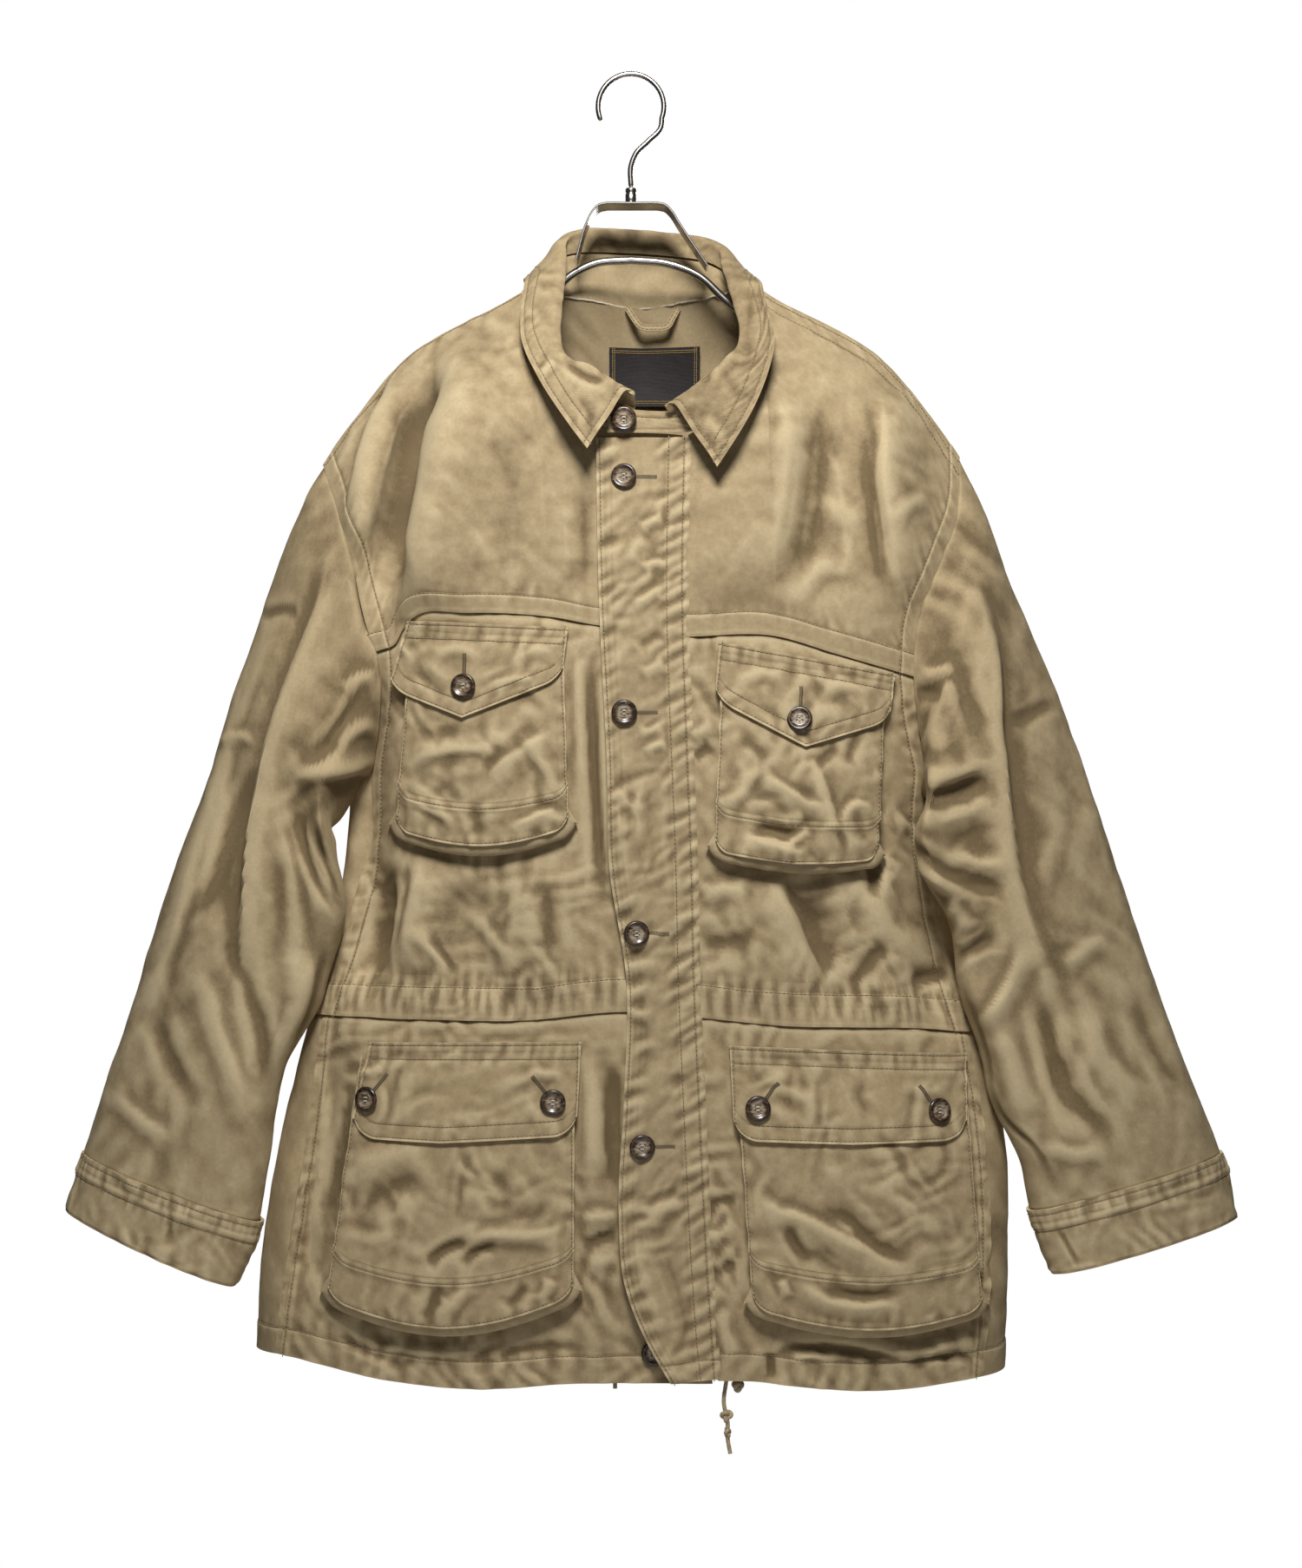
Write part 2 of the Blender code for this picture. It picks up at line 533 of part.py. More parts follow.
def material(name, colour, rough, metal):
    made = bpy.data.materials.new(name)
    made.use_nodes = True
    shader = made.node_tree.nodes["Principled BSDF"]
    shader.inputs["Base Color"].default_value = (*colour, 1)
    shader.inputs["Roughness"].default_value = rough
    shader.inputs["Metallic"].default_value = metal
    return made


def add_mesh(name, points, faces, colour, rough, metal):
    mesh = bpy.data.meshes.new(name)
    mesh.from_pydata([tuple(point) for point in points], [], faces)
    mesh.validate()
    mesh.materials.append(material(name, colour, rough, metal))
    mesh.shade_smooth()
    made = bpy.data.objects.new(name, mesh)
    bpy.context.scene.collection.objects.link(made)
    return made


def halves(sheet, points):
    # Two triangles for each four corners of a sheet, across the shorter diagonal.
    corners = np.stack([sheet[:-1, :-1], sheet[1:, :-1], sheet[1:, 1:], sheet[:-1, 1:]]).reshape(4, -1)
    a, b, c, d = corners
    across = np.linalg.norm(points[a] - points[c], axis=1) < np.linalg.norm(points[b] - points[d], axis=1)
    first = np.where(across, (a, b, c), (a, b, d))
    second = np.where(across, (a, c, d), (b, c, d))
    return np.concatenate([first, second], axis=1).T


def wall(name, skin, thick, inside, around=False, up=None, gap=SEAM, colour=KHAKI, rough=0.9, metal=0.0):
    # A wall whose outer face is the sheet of points. Where up is true its top edge thickens straight down.
    skin = keep_back(skin, around, gap)
    rows, columns = skin.shape[:2]
    outer = np.arange(rows * columns).reshape(rows, columns)
    if around:
        outer = np.concatenate([outer, outer[:, :1]], axis=1)
    inner = outer + rows * columns
    face = halves(outer, skin.reshape(-1, 3))
    out = normals(skin, face, inside)
    if up is not None:
        out[0, up] = (0, 0, 1)
    points = np.concatenate([skin.reshape(-1, 3), (skin - out * thick).reshape(-1, 3)])
    faces = [*face, *(face[:, ::-1] + rows * columns)]
    edges = [(outer[0], inner[0]), (outer[-1, ::-1], inner[-1, ::-1])]
    if not around:
        edges += [(outer[::-1, 0], inner[::-1, 0]), (outer[:, -1], inner[:, -1])]
    for a, b in edges:
        faces += list(zip(b[:-1], a[:-1], a[1:], b[1:]))
    drawn = np.cross(np.gradient(skin, axis=0), np.gradient(skin, axis=1))
    if (drawn * out).sum() < 0:
        faces = [face[::-1] for face in faces]
    return add_mesh(name, points, [tuple(map(int, face)) for face in faces], colour, rough, metal)


def spread(count, crowd=1.0):
    return np.linspace(0, 1, count) ** crowd


BODY_INSIDE = (0.0, 0.0, -0.6)
BEHIND = (0.0, 0.5, -0.2)


def front_edge(z_top, z_foot, shift):
    def at(t):
        z = mix(z_top, z_foot, t)
        return np.stack([placket_seam(z) + shift, z], axis=-1)

    return at


def seam_end(z, shift):
    return (float(placket_seam(z)) + shift, z)


def tip(x):
    return (x, float(ridge(x)))


def make_fronts(side, shift, neck, yoke, waist, hem, tip_x, armhole, pit, seam):
    yoke_z = YOKE_FRONT_LEFT if side == "left" else YOKE_FRONT_RIGHT
    waist_z = WAIST_FRONT_LEFT if side == "left" else WAIST_FRONT_RIGHT
    foot_z = FOOT_LEFT if side == "left" else FOOT_RIGHT
    neck_line = (seam_end(NECK_FRONT, shift), *neck[::-1])
    shoulder_x = np.linspace(neck[0][0], tip_x, 8)
    shoulder = tuple(zip(shoulder_x, ridge(shoulder_x)))
    yoke_line = (seam_end(yoke_z, shift), *yoke)
    waist_line = (seam_end(waist_z, shift), *waist)
    hem_line = (seam_end(foot_z, shift), *hem)
    at_yoke = [i for i, point in enumerate(armhole) if point == yoke[-1]][0]
    at_waist = [i for i, point in enumerate(seam) if point == waist[-1]][0]
    upper_arm = (tip(tip_x), *armhole[: at_yoke + 1])
    lower_arm = two_lines((*armhole[at_yoke:], pit), (pit, *seam[: at_waist + 1]), PIT_SHARE)
    lower_side = (*seam[at_waist:], hem[-1])
    across = np.concatenate([np.linspace(0, NECK_SHARE, 6), np.linspace(NECK_SHARE, 1, 9)[1:]])
    grid = patch(
        two_lines(neck_line, shoulder, NECK_SHARE), line(yoke_line),
        front_edge(NECK_FRONT, yoke_z, shift), line(upper_arm), across, spread(12, 1.5),
    )
    on_shoulder = across >= NECK_SHARE
    wall(f"yoke_{side}", on_front(grid), CLOTH, BODY_INSIDE, up=on_shoulder)
    grid = patch(
        line(yoke_line), line(waist_line), front_edge(yoke_z, waist_z, shift), lower_arm,
        spread(14), spread(13),
    )
    wall(f"front_{side}", on_front(grid), CLOTH, BODY_INSIDE)
    grid = patch(
        line(waist_line), line(hem_line), front_edge(waist_z, foot_z, shift), line(lower_side),
        spread(14), spread(11),
    )
    wall(f"skirt_{side}", on_front(grid), CLOTH, BODY_INSIDE)


def turned(x, z, side):
    return (float(turn_of(x, z, side)), z)


def turned_side(points):
    # The fronts' side seam, as the back sees it.
    return [turned(x, z, -1) for x, z in curve(points, spread(25))]


def back_armhole(points, tip_x, pit):
    hole = [turned(*tip(tip_x), 1)]
    hole += [turned(x, z, 1) for x, z in points]
    middle = body_at(pit[1])[0]
    edge = 0.0 if tip_x < middle else 1.0
    hole.append((edge, pit[1] + HOLE_RISE))
    return (*hole, turned(*pit, -1))


def stretch(points, low, high):
    # Part of a curve, from one share of its length to another.
    return lambda t: curve(points, mix(low, high, t))


def share_at(points, turn):
    # How far along a curve it crosses this turn.
    place = spread(SEARCH_STEPS)
    found = curve(points, place)[:, 0]
    return float(np.interp(0, found - turn, place))


def hole_edge(hole):
    # How far down its armhole the back passes the body's edge.
    steps = np.linalg.norm(np.diff(hole, axis=0), axis=1)
    return float(1 - steps[-1] / steps.sum())


def make_side(name, hole, seam, waist, turn, waist_end):
    # The strip under the arm, from the front's side seam to the body's edge.
    edge, corner = hole_edge(hole), share_at(waist, turn)
    foot = curve(waist, np.array([corner]))[0]
    grid = patch(
        stretch(hole, 1, edge), stretch(waist, waist_end, corner), line(seam), line((hole[-2], tuple(foot))),
        spread(4), spread(7),
    )
    wall(name, on_body(grid), CLOTH, BODY_INSIDE, gap=SIDE_SEAM)


def make_backs():
    left_hole = back_armhole(ARMHOLE_BACK_LEFT, TIP_LEFT_X, PIT_LEFT)
    right_hole = back_armhole(ARMHOLE_BACK_RIGHT, TIP_RIGHT_X, PIT_RIGHT)
    left_shoulder = [turned(*tip(x), 1) for x in np.linspace(TIP_LEFT_X, NECK_LEFT[0][0], 7)]
    right_shoulder = [turned(*tip(x), 1) for x in np.linspace(NECK_RIGHT[0][0], TIP_RIGHT_X, 7)]
    neck = [turned(x, z, 1) for x, z in (NECK_LEFT[0], *NECK_BACK, NECK_RIGHT[0])]
    neck_from, neck_to = SHOULDER_SHARE, 1 - SHOULDER_SHARE

    def top(t):
        first = two_lines(left_shoulder, neck, neck_from / neck_to)(np.clip(t / neck_to, 0, 1))
        last = curve(right_shoulder, np.clip((t - neck_to) / SHOULDER_SHARE, 0, 1))
        return np.where((t < neck_to)[:, None], first, last)

    at_waist = 2
    left_side = turned_side((PIT_LEFT, *SIDE_LEFT[: at_waist + 1]))
    right_side = turned_side((PIT_RIGHT, *SIDE_RIGHT[: at_waist + 1]))
    waist = (left_side[-1], (0.5, WAIST_BACK), right_side[-1])
    hem = (turned(*HEM_LEFT[-1], -1), (0.5, HEM_BACK), turned(*HEM_RIGHT[-1], -1))
    across = np.concatenate([
        np.linspace(0, neck_from, 7),
        np.linspace(neck_from, neck_to, 6)[1:],
        np.linspace(neck_to, 1, 7)[1:],
    ])
    first, last = share_at(waist, 0), share_at(waist, 1)
    foot = stretch(waist, first, last)
    left_corner, right_corner = foot(np.array([0.0, 1.0]))
    left_arm = stretch(left_hole, 0, hole_edge(left_hole))
    right_arm = stretch(right_hole, 0, hole_edge(right_hole))
    left_edge = joined(left_arm, line((left_hole[-2], left_corner)), HOLE_SHARE)
    right_edge = joined(right_arm, line((right_hole[-2], right_corner)), HOLE_SHARE)
    down = np.concatenate([HOLE_SHARE * spread(HOLE_STEPS + 1), np.linspace(HOLE_SHARE, 1, 7)[1:]])
    grid = patch(top, foot, left_edge, right_edge, across, down)
    on_shoulder = (across <= neck_from) | (across >= neck_to)
    wall("back", on_body(grid), CLOTH, BODY_INSIDE, up=on_shoulder, gap=SIDE_SEAM)
    make_side("side_left", left_hole, left_side, waist, 0, 0)
    make_side("side_right", right_hole, right_side, waist, 1, 1)
    left_low = turned_side((*SIDE_LEFT[at_waist:], HEM_LEFT[-1]))
    right_low = turned_side((*SIDE_RIGHT[at_waist:], HEM_RIGHT[-1]))
    grid = patch(line(waist), line(hem), line(left_low), line(right_low), spread(19), spread(11))
    wall("back_skirt", on_body(grid), CLOTH, BODY_INSIDE, gap=SIDE_SEAM)
    return left_hole, right_hole


def placket_lift(x, z):
    free = read(PLACKET["z"], PLACKET["free"], z)
    out = ease((placket_seam(z) - x) / (placket_seam(z) - free))
    return LAP + read(PLACKET["z"], PLACKET["lift"], z) * out


def make_placket():
    u, z = np.meshgrid(spread(5), np.linspace(PLACKET_TOP, PLACKET_FOOT, 26))
    x = mix(read(PLACKET["z"], PLACKET["free"], z), placket_seam(z), u)
    # Its points keep off the other side of the seam, where the covering front lies.
    x = np.minimum(x, placket_seam(z) - SEAM)
    wall("placket", on_front(np.stack([x, z], axis=-1), placket_lift(x, z)), DOUBLE, BODY_INSIDE)


def sleeve_ring(sections, folds, hole, s, turn):
    # Points round the sleeve at each s, with its cap blended out of the armhole.
    at = {name: read(sections["s"], value, s)[:, None] for name, value in sections.items() if name != "s"}
    outer = np.stack([at["outer_x"], np.full_like(at["outer_x"], SLEEVE_OUTER_Y), at["outer_z"]], axis=-1)
    inner = np.stack([at["inner_x"], at["inner_y"], at["inner_z"]], axis=-1)
    cos, sin = np.cos(np.pi * turn)[None], np.sin(np.pi * turn)[None]
    along = np.sign(cos) * np.abs(cos) ** (2 / SLEEVE_SQUARE)
    out = np.abs(sin) ** (2 / SLEEVE_SQUARE)
    deep = np.where(sin >= 0, -at["front"], at["back"])
    rings = (outer + inner) / 2 + (outer - inner) / 2 * along[..., None]
    lift = np.zeros(np.broadcast(at["front"], cos).shape)
    for fold in folds:
        t = (s[:, None] - fold["s0"]) / (fold["s1"] - fold["s0"])
        aside = turn[None] - mix(fold["turn0"], fold["turn1"], np.clip(t, 0, 1))
        ends = ease(t / FOLD_FADE) * ease((1 - t) / FOLD_FADE)
        lift += fold["lift"] * ends * np.exp(-((aside / fold["wide"]) ** 2))
    rings[..., 1] += deep * out + np.sign(deep) * lift * np.minimum(1, 2 * out)
    centre = (outer + inner) / 2
    first = hole + (centre - centre[:1])
    share = ease(s / CAP)[:, None, None]
    clear = PIT_CLEAR * (mix(PIT_FIRST, 1, ease(s / PIT_OVER)) * (1 - ease(s / CAP)))[:, None]
    clear = clear * np.exp(-(((turn - PIT_TURN) / PIT_WIDE) ** 2))[None]
    first[..., 0] += clear * np.sign(first[..., 0])
    return mix(first, rings, share)


def armhole_ring(front_points, back_points, turn):
    front = on_front(curve(front_points, turn[turn <= 1]))
    back = on_body(curve(back_points, 2 - turn[turn > 1]))
    return np.concatenate([front, back])


def make_sleeve(side, sections, folds, front_points, back_points):
    turn = np.linspace(0, 2, 2 * HOLE_STEPS, endpoint=False)
    hole = armhole_ring(front_points, back_points, turn)[None]
    s = np.concatenate([np.linspace(0, CAP, 8), np.linspace(CAP, CUFF_AT, 11)[1:]])
    rings = sleeve_ring(sections, folds, hole, s, turn)
    middle = rings.mean(axis=(1,))[:, None]
    wall(f"sleeve_{side}", rings, CLOTH, middle, around=True, gap=SLEEVE_SEAM)
    s = np.linspace(CUFF_AT, 1, 4)
    rings = sleeve_ring(sections, folds, hole, s, turn)
    middle = rings.mean(axis=1)[:, None]
    wall(f"cuff_{side}", rings + CUFF_OUT * unit(rings - middle), DOUBLE, middle, around=True)


def collar_row(kind, turn):
    return np.stack([read(COLLAR["turn"], COLLAR[f"{kind}_{axis}"], turn) for axis in "xyz"], axis=-1)


def neck_foot(turn):
    # The stand's foot, just off the neck's seam, from the covered front end round to the covering one.
    first, last = NECK_TURN_LEFT, NECK_TURN_RIGHT
    left = curve((*NECK_LEFT, (NECK_END_LEFT, NECK_FRONT)), np.clip(1 - turn / first, 0, 1))
    right = curve((*NECK_RIGHT, (NECK_END_RIGHT, NECK_FRONT)), np.clip((turn - last) / (1 - last), 0, 1))
    x, z = curve((NECK_LEFT[0], *NECK_BACK, NECK_RIGHT[0]), np.clip((turn - first) / (last - first), 0, 1)).T
    behind = np.stack([x, back_y(x, z), z], axis=-1)
    front = np.where((turn < first)[:, None], on_front(left), on_front(right, LAP))
    return np.where(((turn >= first) & (turn < last))[:, None], behind, front)


def make_collar():
    turn = np.concatenate([
        np.linspace(0, NECK_TURN_LEFT, 9),
        np.linspace(NECK_TURN_LEFT, NECK_TURN_RIGHT, 8)[1:],
        np.linspace(NECK_TURN_RIGHT, 1, 9)[1:],
    ])
    top = collar_row("top", turn)
    foot = neck_foot(turn)
    foot += COLLAR_FOOT_GAP * unit(top - foot)
    tab_top = np.stack([STAND_TAB[f"top_{axis}"] for axis in "xyz"], axis=-1)
    tab_foot = np.stack([STAND_TAB[f"foot_{axis}"] for axis in "xyz"], axis=-1)
    top = np.concatenate([top[:-1], tab_top])
    foot = np.concatenate([foot[:-1], tab_foot])
    down = spread(4)[:, None, None]
    wall("collar_stand", mix(top[None], foot[None], down), DOUBLE, COLLAR_INSIDE)

    top = collar_row("top", turn)
    roll = collar_row("roll", turn)
    edge = collar_row("edge", turn)
    flat = unit((edge - roll) * (1, 1, 0))
    stations = []
    for row in LEAF:
        moved = flat * row["out"] + np.array((0, 0, row["up"]))
        stations.append(roll + (top - roll) * row["to_top"] + (edge - roll) * row["to_edge"] + moved)
    skin = np.stack(stations)
    inside = skin.mean(axis=(0, 1))
    wall("collar_leaf", skin, DOUBLE, inside)


def bag_point(pocket, u, v):
    left = mix(pocket["left_top"], pocket["left_foot"], v)
    right = mix(pocket["right_top"], pocket["right_foot"], v)
    x = mix(left, right, u)
    top = mix(pocket["top_left"], pocket["top_right"], u)
    foot = mix(pocket["foot_left"], pocket["foot_right"], u) - pocket["sag"] * np.sin(np.pi * u)
    return np.stack([x, mix(top, foot, v)], axis=-1)


def bag_lift(pocket, u, v):
    rim = BAG_RIM * v
    over = np.sqrt(np.maximum(np.sin(np.pi * u), 0)) * np.sin(np.pi * BAG_LOW * v**BAG_HIGH)
    return BAG_LIFT + pocket["deep"] * (rim + (1 - BAG_RIM) * over)


def make_pocket(pocket):
    seam = (pocket["seam_left"] - pocket["top_left"]) / (pocket["foot_left"] - pocket["top_left"])
    for kind, start, end, rows in (("bag", 0.0, seam, 7), ("band", seam, 1.0, 3)):
        u, v = np.meshgrid(spread(9), np.linspace(start, end, rows))
        points = on_front(bag_point(pocket, u, v), bag_lift(pocket, u, v))
        wall(f"{pocket['name']}_{kind}", points, CLOTH, BODY_INSIDE)
    down = np.linspace(GUSSET_FROM, 1, 6)
    over = np.linspace(0, 1, 9)[1:-1]
    u = np.concatenate([np.zeros_like(down), over, np.ones_like(down)])
    v = np.concatenate([down, np.ones_like(over), down[::-1]])
    middle = bag_point(pocket, np.array(0.5), np.array(0.6))
    rim = bag_point(pocket, u, v)
    inwards = unit(middle - rim)
    reach = bag_lift(pocket, u, v) - CLOTH - GUSSET_GAP
    rows = []
    for share, tuck in ((0.0, GUSSET_RIM), (0.5, GUSSET_TUCK), (1.0, GUSSET_RIM)):
        deep = mix(GUSSET_GAP, reach, share)
        rows.append(on_front(rim + inwards * tuck, deep))
    centre = on_front(middle, pocket["deep"] / 2)
    wall(f"{pocket['name']}_gusset", np.stack(rows), CLOTH / 2, centre, gap=0.0)


def flap_point(flap, u, v):
    left = mix(flap["left_top"], flap["left_foot"], v)
    right = mix(flap["right_top"], flap["right_foot"], v)
    x = mix(left, right, u)
    side = np.where(u < flap["tip_at"], u / flap["tip_at"], (1 - u) / (1 - flap["tip_at"]))
    corner = np.maximum(np.abs(2 * u - 1) - CORNER_FROM, 0) / (1 - CORNER_FROM)
    foot = mix(flap["foot_left"], flap["foot_right"], u) - flap["tip"] * side + flap["corner"] * corner**2
    return np.stack([x, mix(mix(flap["top_left"], flap["top_right"], u), foot, v)], axis=-1)


def flap_lift(flap, pocket, xz):
    x, z = xz[..., 0], xz[..., 1]
    u = np.clip((x - pocket["left_top"]) / (pocket["right_top"] - pocket["left_top"]), 0, 1)
    top = mix(pocket["top_left"], pocket["top_right"], u)
    foot = mix(pocket["foot_left"], pocket["foot_right"], u) - pocket["sag"] * np.sin(np.pi * u)
    v = np.clip((top - z) / (top - foot), 0, 1)
    return bag_lift(pocket, u, v) + FLAP_LIFT


def make_flap(flap, pocket):
    u, v = np.meshgrid(np.array(FLAP_ACROSS), spread(6))
    xz = flap_point(flap, u, v)
    wall(f"{flap['name']}_flap", on_front(xz, flap_lift(flap, pocket, xz)), DOUBLE, BODY_INSIDE)


def capped(name, rings, colour, rough):
    # A solid through closed rings of points, first to last, seen from outside.
    count, sides = rings.shape[:2]
    spot = np.arange(count * sides).reshape(count, sides)
    after = np.roll(spot, -1, axis=1)
    faces = list(zip(spot[:-1].flat, spot[1:].flat, after[1:].flat, after[:-1].flat))
    faces = [tuple(map(int, face)) for face in faces]
    faces += [tuple(map(int, spot[0])), tuple(map(int, spot[-1, ::-1]))]
    made = add_mesh(name, rings.reshape(-1, 3), faces, colour, rough, 0.0)
    if made.data.polygons[-2].normal.dot(Vector(rings[-1].mean(axis=0) - rings[0].mean(axis=0))) > 0:
        made.data.flip_normals()


def button(name, seat, facing):
    # A turned disc with a raised rim, its back on the seat.
    side = unit(np.cross(facing, (0, 0, 1)))
    up = np.cross(side, facing)
    angle = np.linspace(0, 2 * np.pi, BUTTON_SIDES, endpoint=False)[:, None]
    spokes = (np.cos(angle) * side + np.sin(angle) * up) * BUTTON_RADIUS
    rings = [seat + facing * row["height"] + spokes * row["radius"] for row in BUTTON_PROFILE]
    capped(name, np.stack(rings), HORN, 0.35)


def make_buttons():
    for row in BUTTONS:
        xz = np.array([[row["x"], row["z"]]])
        spots = xz + BUTTON_REACH * np.array([[0, 0], [1, 0], [-1, 0], [0, 1], [0, -1]])
        if row["seat"] == "placket":
            lift = placket_lift(spots[:, 0], spots[:, 1])
        elif row["seat"] == "flap":
            flap, pocket = nearest_flap(row["x"], row["z"])
            lift = flap_lift(flap, pocket, spots)
        else:
            lift = np.zeros(len(spots))
        points = on_front(spots, lift)
        facing = np.cross(points[1] - points[2], points[3] - points[4])
        facing *= -np.sign(facing[1])
        seat = points[0]
        rise = BUTTON_GAP + max(0.0, float((points[0, 1] - points[1:, 1]).max()))
        if row["seat"] == "stand":
            seat = np.array((row["x"], STAND_TAB["top_y"][0], row["z"]))
            facing = np.array((0.0, -1.0, 0.0))
        button(row["name"], seat + rise * unit(facing), unit(facing))


def nearest_flap(x, z):
    best = None
    for flap, pocket in zip(FLAPS, POCKETS):
        away = abs((flap["left_top"] + flap["right_top"]) / 2 - x) + abs(flap["top_left"] - z)
        if best is None or away < best[0]:
            best = (away, flap, pocket)
    return best[1], best[2]


def rod(name, points, radius, colour, rough, metal, resolution=2):
    shape = bpy.data.curves.new(name, "CURVE")
    shape.dimensions = "3D"
    shape.bevel_depth = radius
    shape.bevel_resolution = resolution
    shape.use_fill_caps = True
    spline = shape.splines.new("POLY")
    spline.points.add(len(points) - 1)
    for spot, point in zip(spline.points, points):
        spot.co = (*point, 1)
    spline.use_smooth = True
    shape.materials.append(material(name, colour, rough, metal))
    made = bpy.data.objects.new(name, shape)
    bpy.context.scene.collection.objects.link(made)


def make_hanger():
    middle = WIRE - HOOK_TURN
    angle = np.radians(np.linspace(HOOK_END, HOOK_START, 19))
    arc = [(HOOK_TURN * np.cos(a), 0, middle + HOOK_TURN * np.sin(a)) for a in angle]
    stem = curve((arc[-1], *((x, 0, z) for x, z in HOOK_STEM)), spread(11))
    rod("hanger_hook", [*arc, *stem[1:]], WIRE, STEEL, 0.3, 1.0)
    rod("hanger_ferrule", [(0, 0, FERRULE_TOP), (0, 0, FERRULE_FOOT)], FERRULE_RADIUS, STEEL, 0.3, 1.0)
    left = curve(BRACKET_LEFT, spread(9))[::-1]
    right = curve(BRACKET_RIGHT, spread(9))
    path = np.concatenate([left, right])
    strip = [np.insert(path, 1, y, axis=1) for y in (-BRACKET_DEEP / 2, BRACKET_DEEP / 2)]
    strip = np.stack(strip)
    wall("hanger_bracket", strip, BRACKET_THICK, BODY_INSIDE, gap=0.0, colour=STEEL, rough=0.3, metal=1.0)
    bar = np.concatenate([curve(BAR_LEFT, spread(13))[:0:-1], curve(BAR_RIGHT, spread(13))])
    bar = np.insert(bar, 1, 0, axis=1)
    rod("hanger_bar", bar, BAR_RADIUS, STEEL, 0.3, 1.0)


def make_neck_trim():
    x, z = np.meshgrid(np.linspace(LABEL_LEFT, LABEL_RIGHT, 6), np.linspace(LABEL_TOP, LABEL_FOOT, 4))
    label = np.stack([x, back_y(x, z) - CLOTH - LABEL_GAP - LABEL_THICK, z], axis=-1)
    wall("neck_label", label, LABEL_THICK, BEHIND, gap=0.0, colour=BLACK_WEAVE, rough=0.8)
    path = curve(LOOP_PATH, spread(15))
    along = unit(np.gradient(path, axis=0))
    aside = np.column_stack([-along[:, 1], along[:, 0]]) * LOOP_WIDE / 2
    strap = [np.insert(edge, 1, LOOP_Y, axis=1) for edge in (path - aside, path + aside)]
    wall("neck_loop", np.stack(strap), LOOP_THICK, BEHIND, gap=0.0)


def make_cords():
    count = int(np.linalg.norm(np.diff(CORD_LEFT, axis=0), axis=1).sum() / CORD_STEP)
    rod("hem_cord_left", curve(CORD_LEFT, spread(count)), CORD_RADIUS, CORD_COLOUR, 0.9, 0.0)
    count = int(np.linalg.norm(np.diff(CORD_RIGHT, axis=0), axis=1).sum() / CORD_STEP)
    path = curve(CORD_RIGHT, spread(count))
    angle = np.linspace(0, 2 * np.pi, CORD_SIDES, endpoint=False)
    around = np.column_stack([np.cos(angle), np.sin(angle), np.zeros(CORD_SIDES)])
    radius = np.full(count, CORD_RADIUS)
    for knot in CORD_KNOTS:
        away = (path[:, 2] - knot["z"]) / knot["reach"]
        radius += CORD_RADIUS * (knot["swell"] - 1) * np.exp(-(away**2))
    capped("hem_cord_right", path[:, None] + radius[:, None, None] * around, CORD_COLOUR, 0.9)
    rise = np.radians(np.linspace(KNOT_CUT, -KNOT_CUT, 6))[:, None, None]
    knot = np.cos(rise) * around + np.sin(rise) * np.array((0, 0, 1))
    capped("hem_knot", np.array(KNOT_AT) + KNOT_RADIUS * knot, CORD_COLOUR, 0.9)


make_fronts("left", -UNDERLAP, NECK_LEFT, YOKE_LEFT, WAIST_LEFT, HEM_LEFT, TIP_LEFT_X, ARMHOLE_LEFT,
            PIT_LEFT, SIDE_LEFT)
make_fronts("right", SEAM, NECK_RIGHT, YOKE_RIGHT, WAIST_RIGHT, HEM_RIGHT, TIP_RIGHT_X, ARMHOLE_RIGHT,
            PIT_RIGHT, SIDE_RIGHT)
left_hole, right_hole = make_backs()
make_placket()
make_sleeve("left", SLEEVE_LEFT, SLEEVE_FOLDS_LEFT,
            (tip(TIP_LEFT_X), *ARMHOLE_LEFT, PIT_LEFT), left_hole)
make_sleeve("right", SLEEVE_RIGHT, SLEEVE_FOLDS_RIGHT,
            (tip(TIP_RIGHT_X), *ARMHOLE_RIGHT, PIT_RIGHT), right_hole)
make_collar()
for pocket in POCKETS:
    make_pocket(pocket)
for flap, pocket in zip(FLAPS, POCKETS):
    make_flap(flap, pocket)
make_buttons()
make_hanger()
make_neck_trim()
make_cords()
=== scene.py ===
import math

import bpy
import numpy as np
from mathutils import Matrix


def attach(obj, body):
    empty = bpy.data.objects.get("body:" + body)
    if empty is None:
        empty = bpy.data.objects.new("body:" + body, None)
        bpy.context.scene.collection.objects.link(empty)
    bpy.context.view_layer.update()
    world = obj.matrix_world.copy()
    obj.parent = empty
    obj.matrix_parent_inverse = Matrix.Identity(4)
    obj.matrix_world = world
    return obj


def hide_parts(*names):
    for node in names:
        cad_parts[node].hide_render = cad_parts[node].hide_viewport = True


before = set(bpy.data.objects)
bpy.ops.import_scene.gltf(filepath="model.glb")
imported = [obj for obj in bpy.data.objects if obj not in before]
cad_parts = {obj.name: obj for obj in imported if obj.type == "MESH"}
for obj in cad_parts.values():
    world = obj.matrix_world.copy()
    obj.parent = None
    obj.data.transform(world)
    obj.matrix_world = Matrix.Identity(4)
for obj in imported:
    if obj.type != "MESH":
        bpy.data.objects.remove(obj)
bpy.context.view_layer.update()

print("frame loaded")

# Same frame as the solids: metres, +Z up, the coat's front faces -Y. Left and right are the viewer's.
photo = {"wide": 1500, "high": 1806, "eye": (0.0161, -2.16, -0.570), "perMetre": 0.68 / 2.1 / 1000}


def pixelOf(p):  # where the photo shows a point
    size = photo["perMetre"] * (p[..., 1] - photo["eye"][1])
    px = photo["wide"] / 2 + (p[..., 0] - photo["eye"][0]) / size
    return px, photo["high"] / 2 - (p[..., 2] - photo["eye"][2]) / size


def table(columns, *rows):  # columns of numbers by name
    return dict(zip(columns.split(), np.array(sorted(rows), float).T))


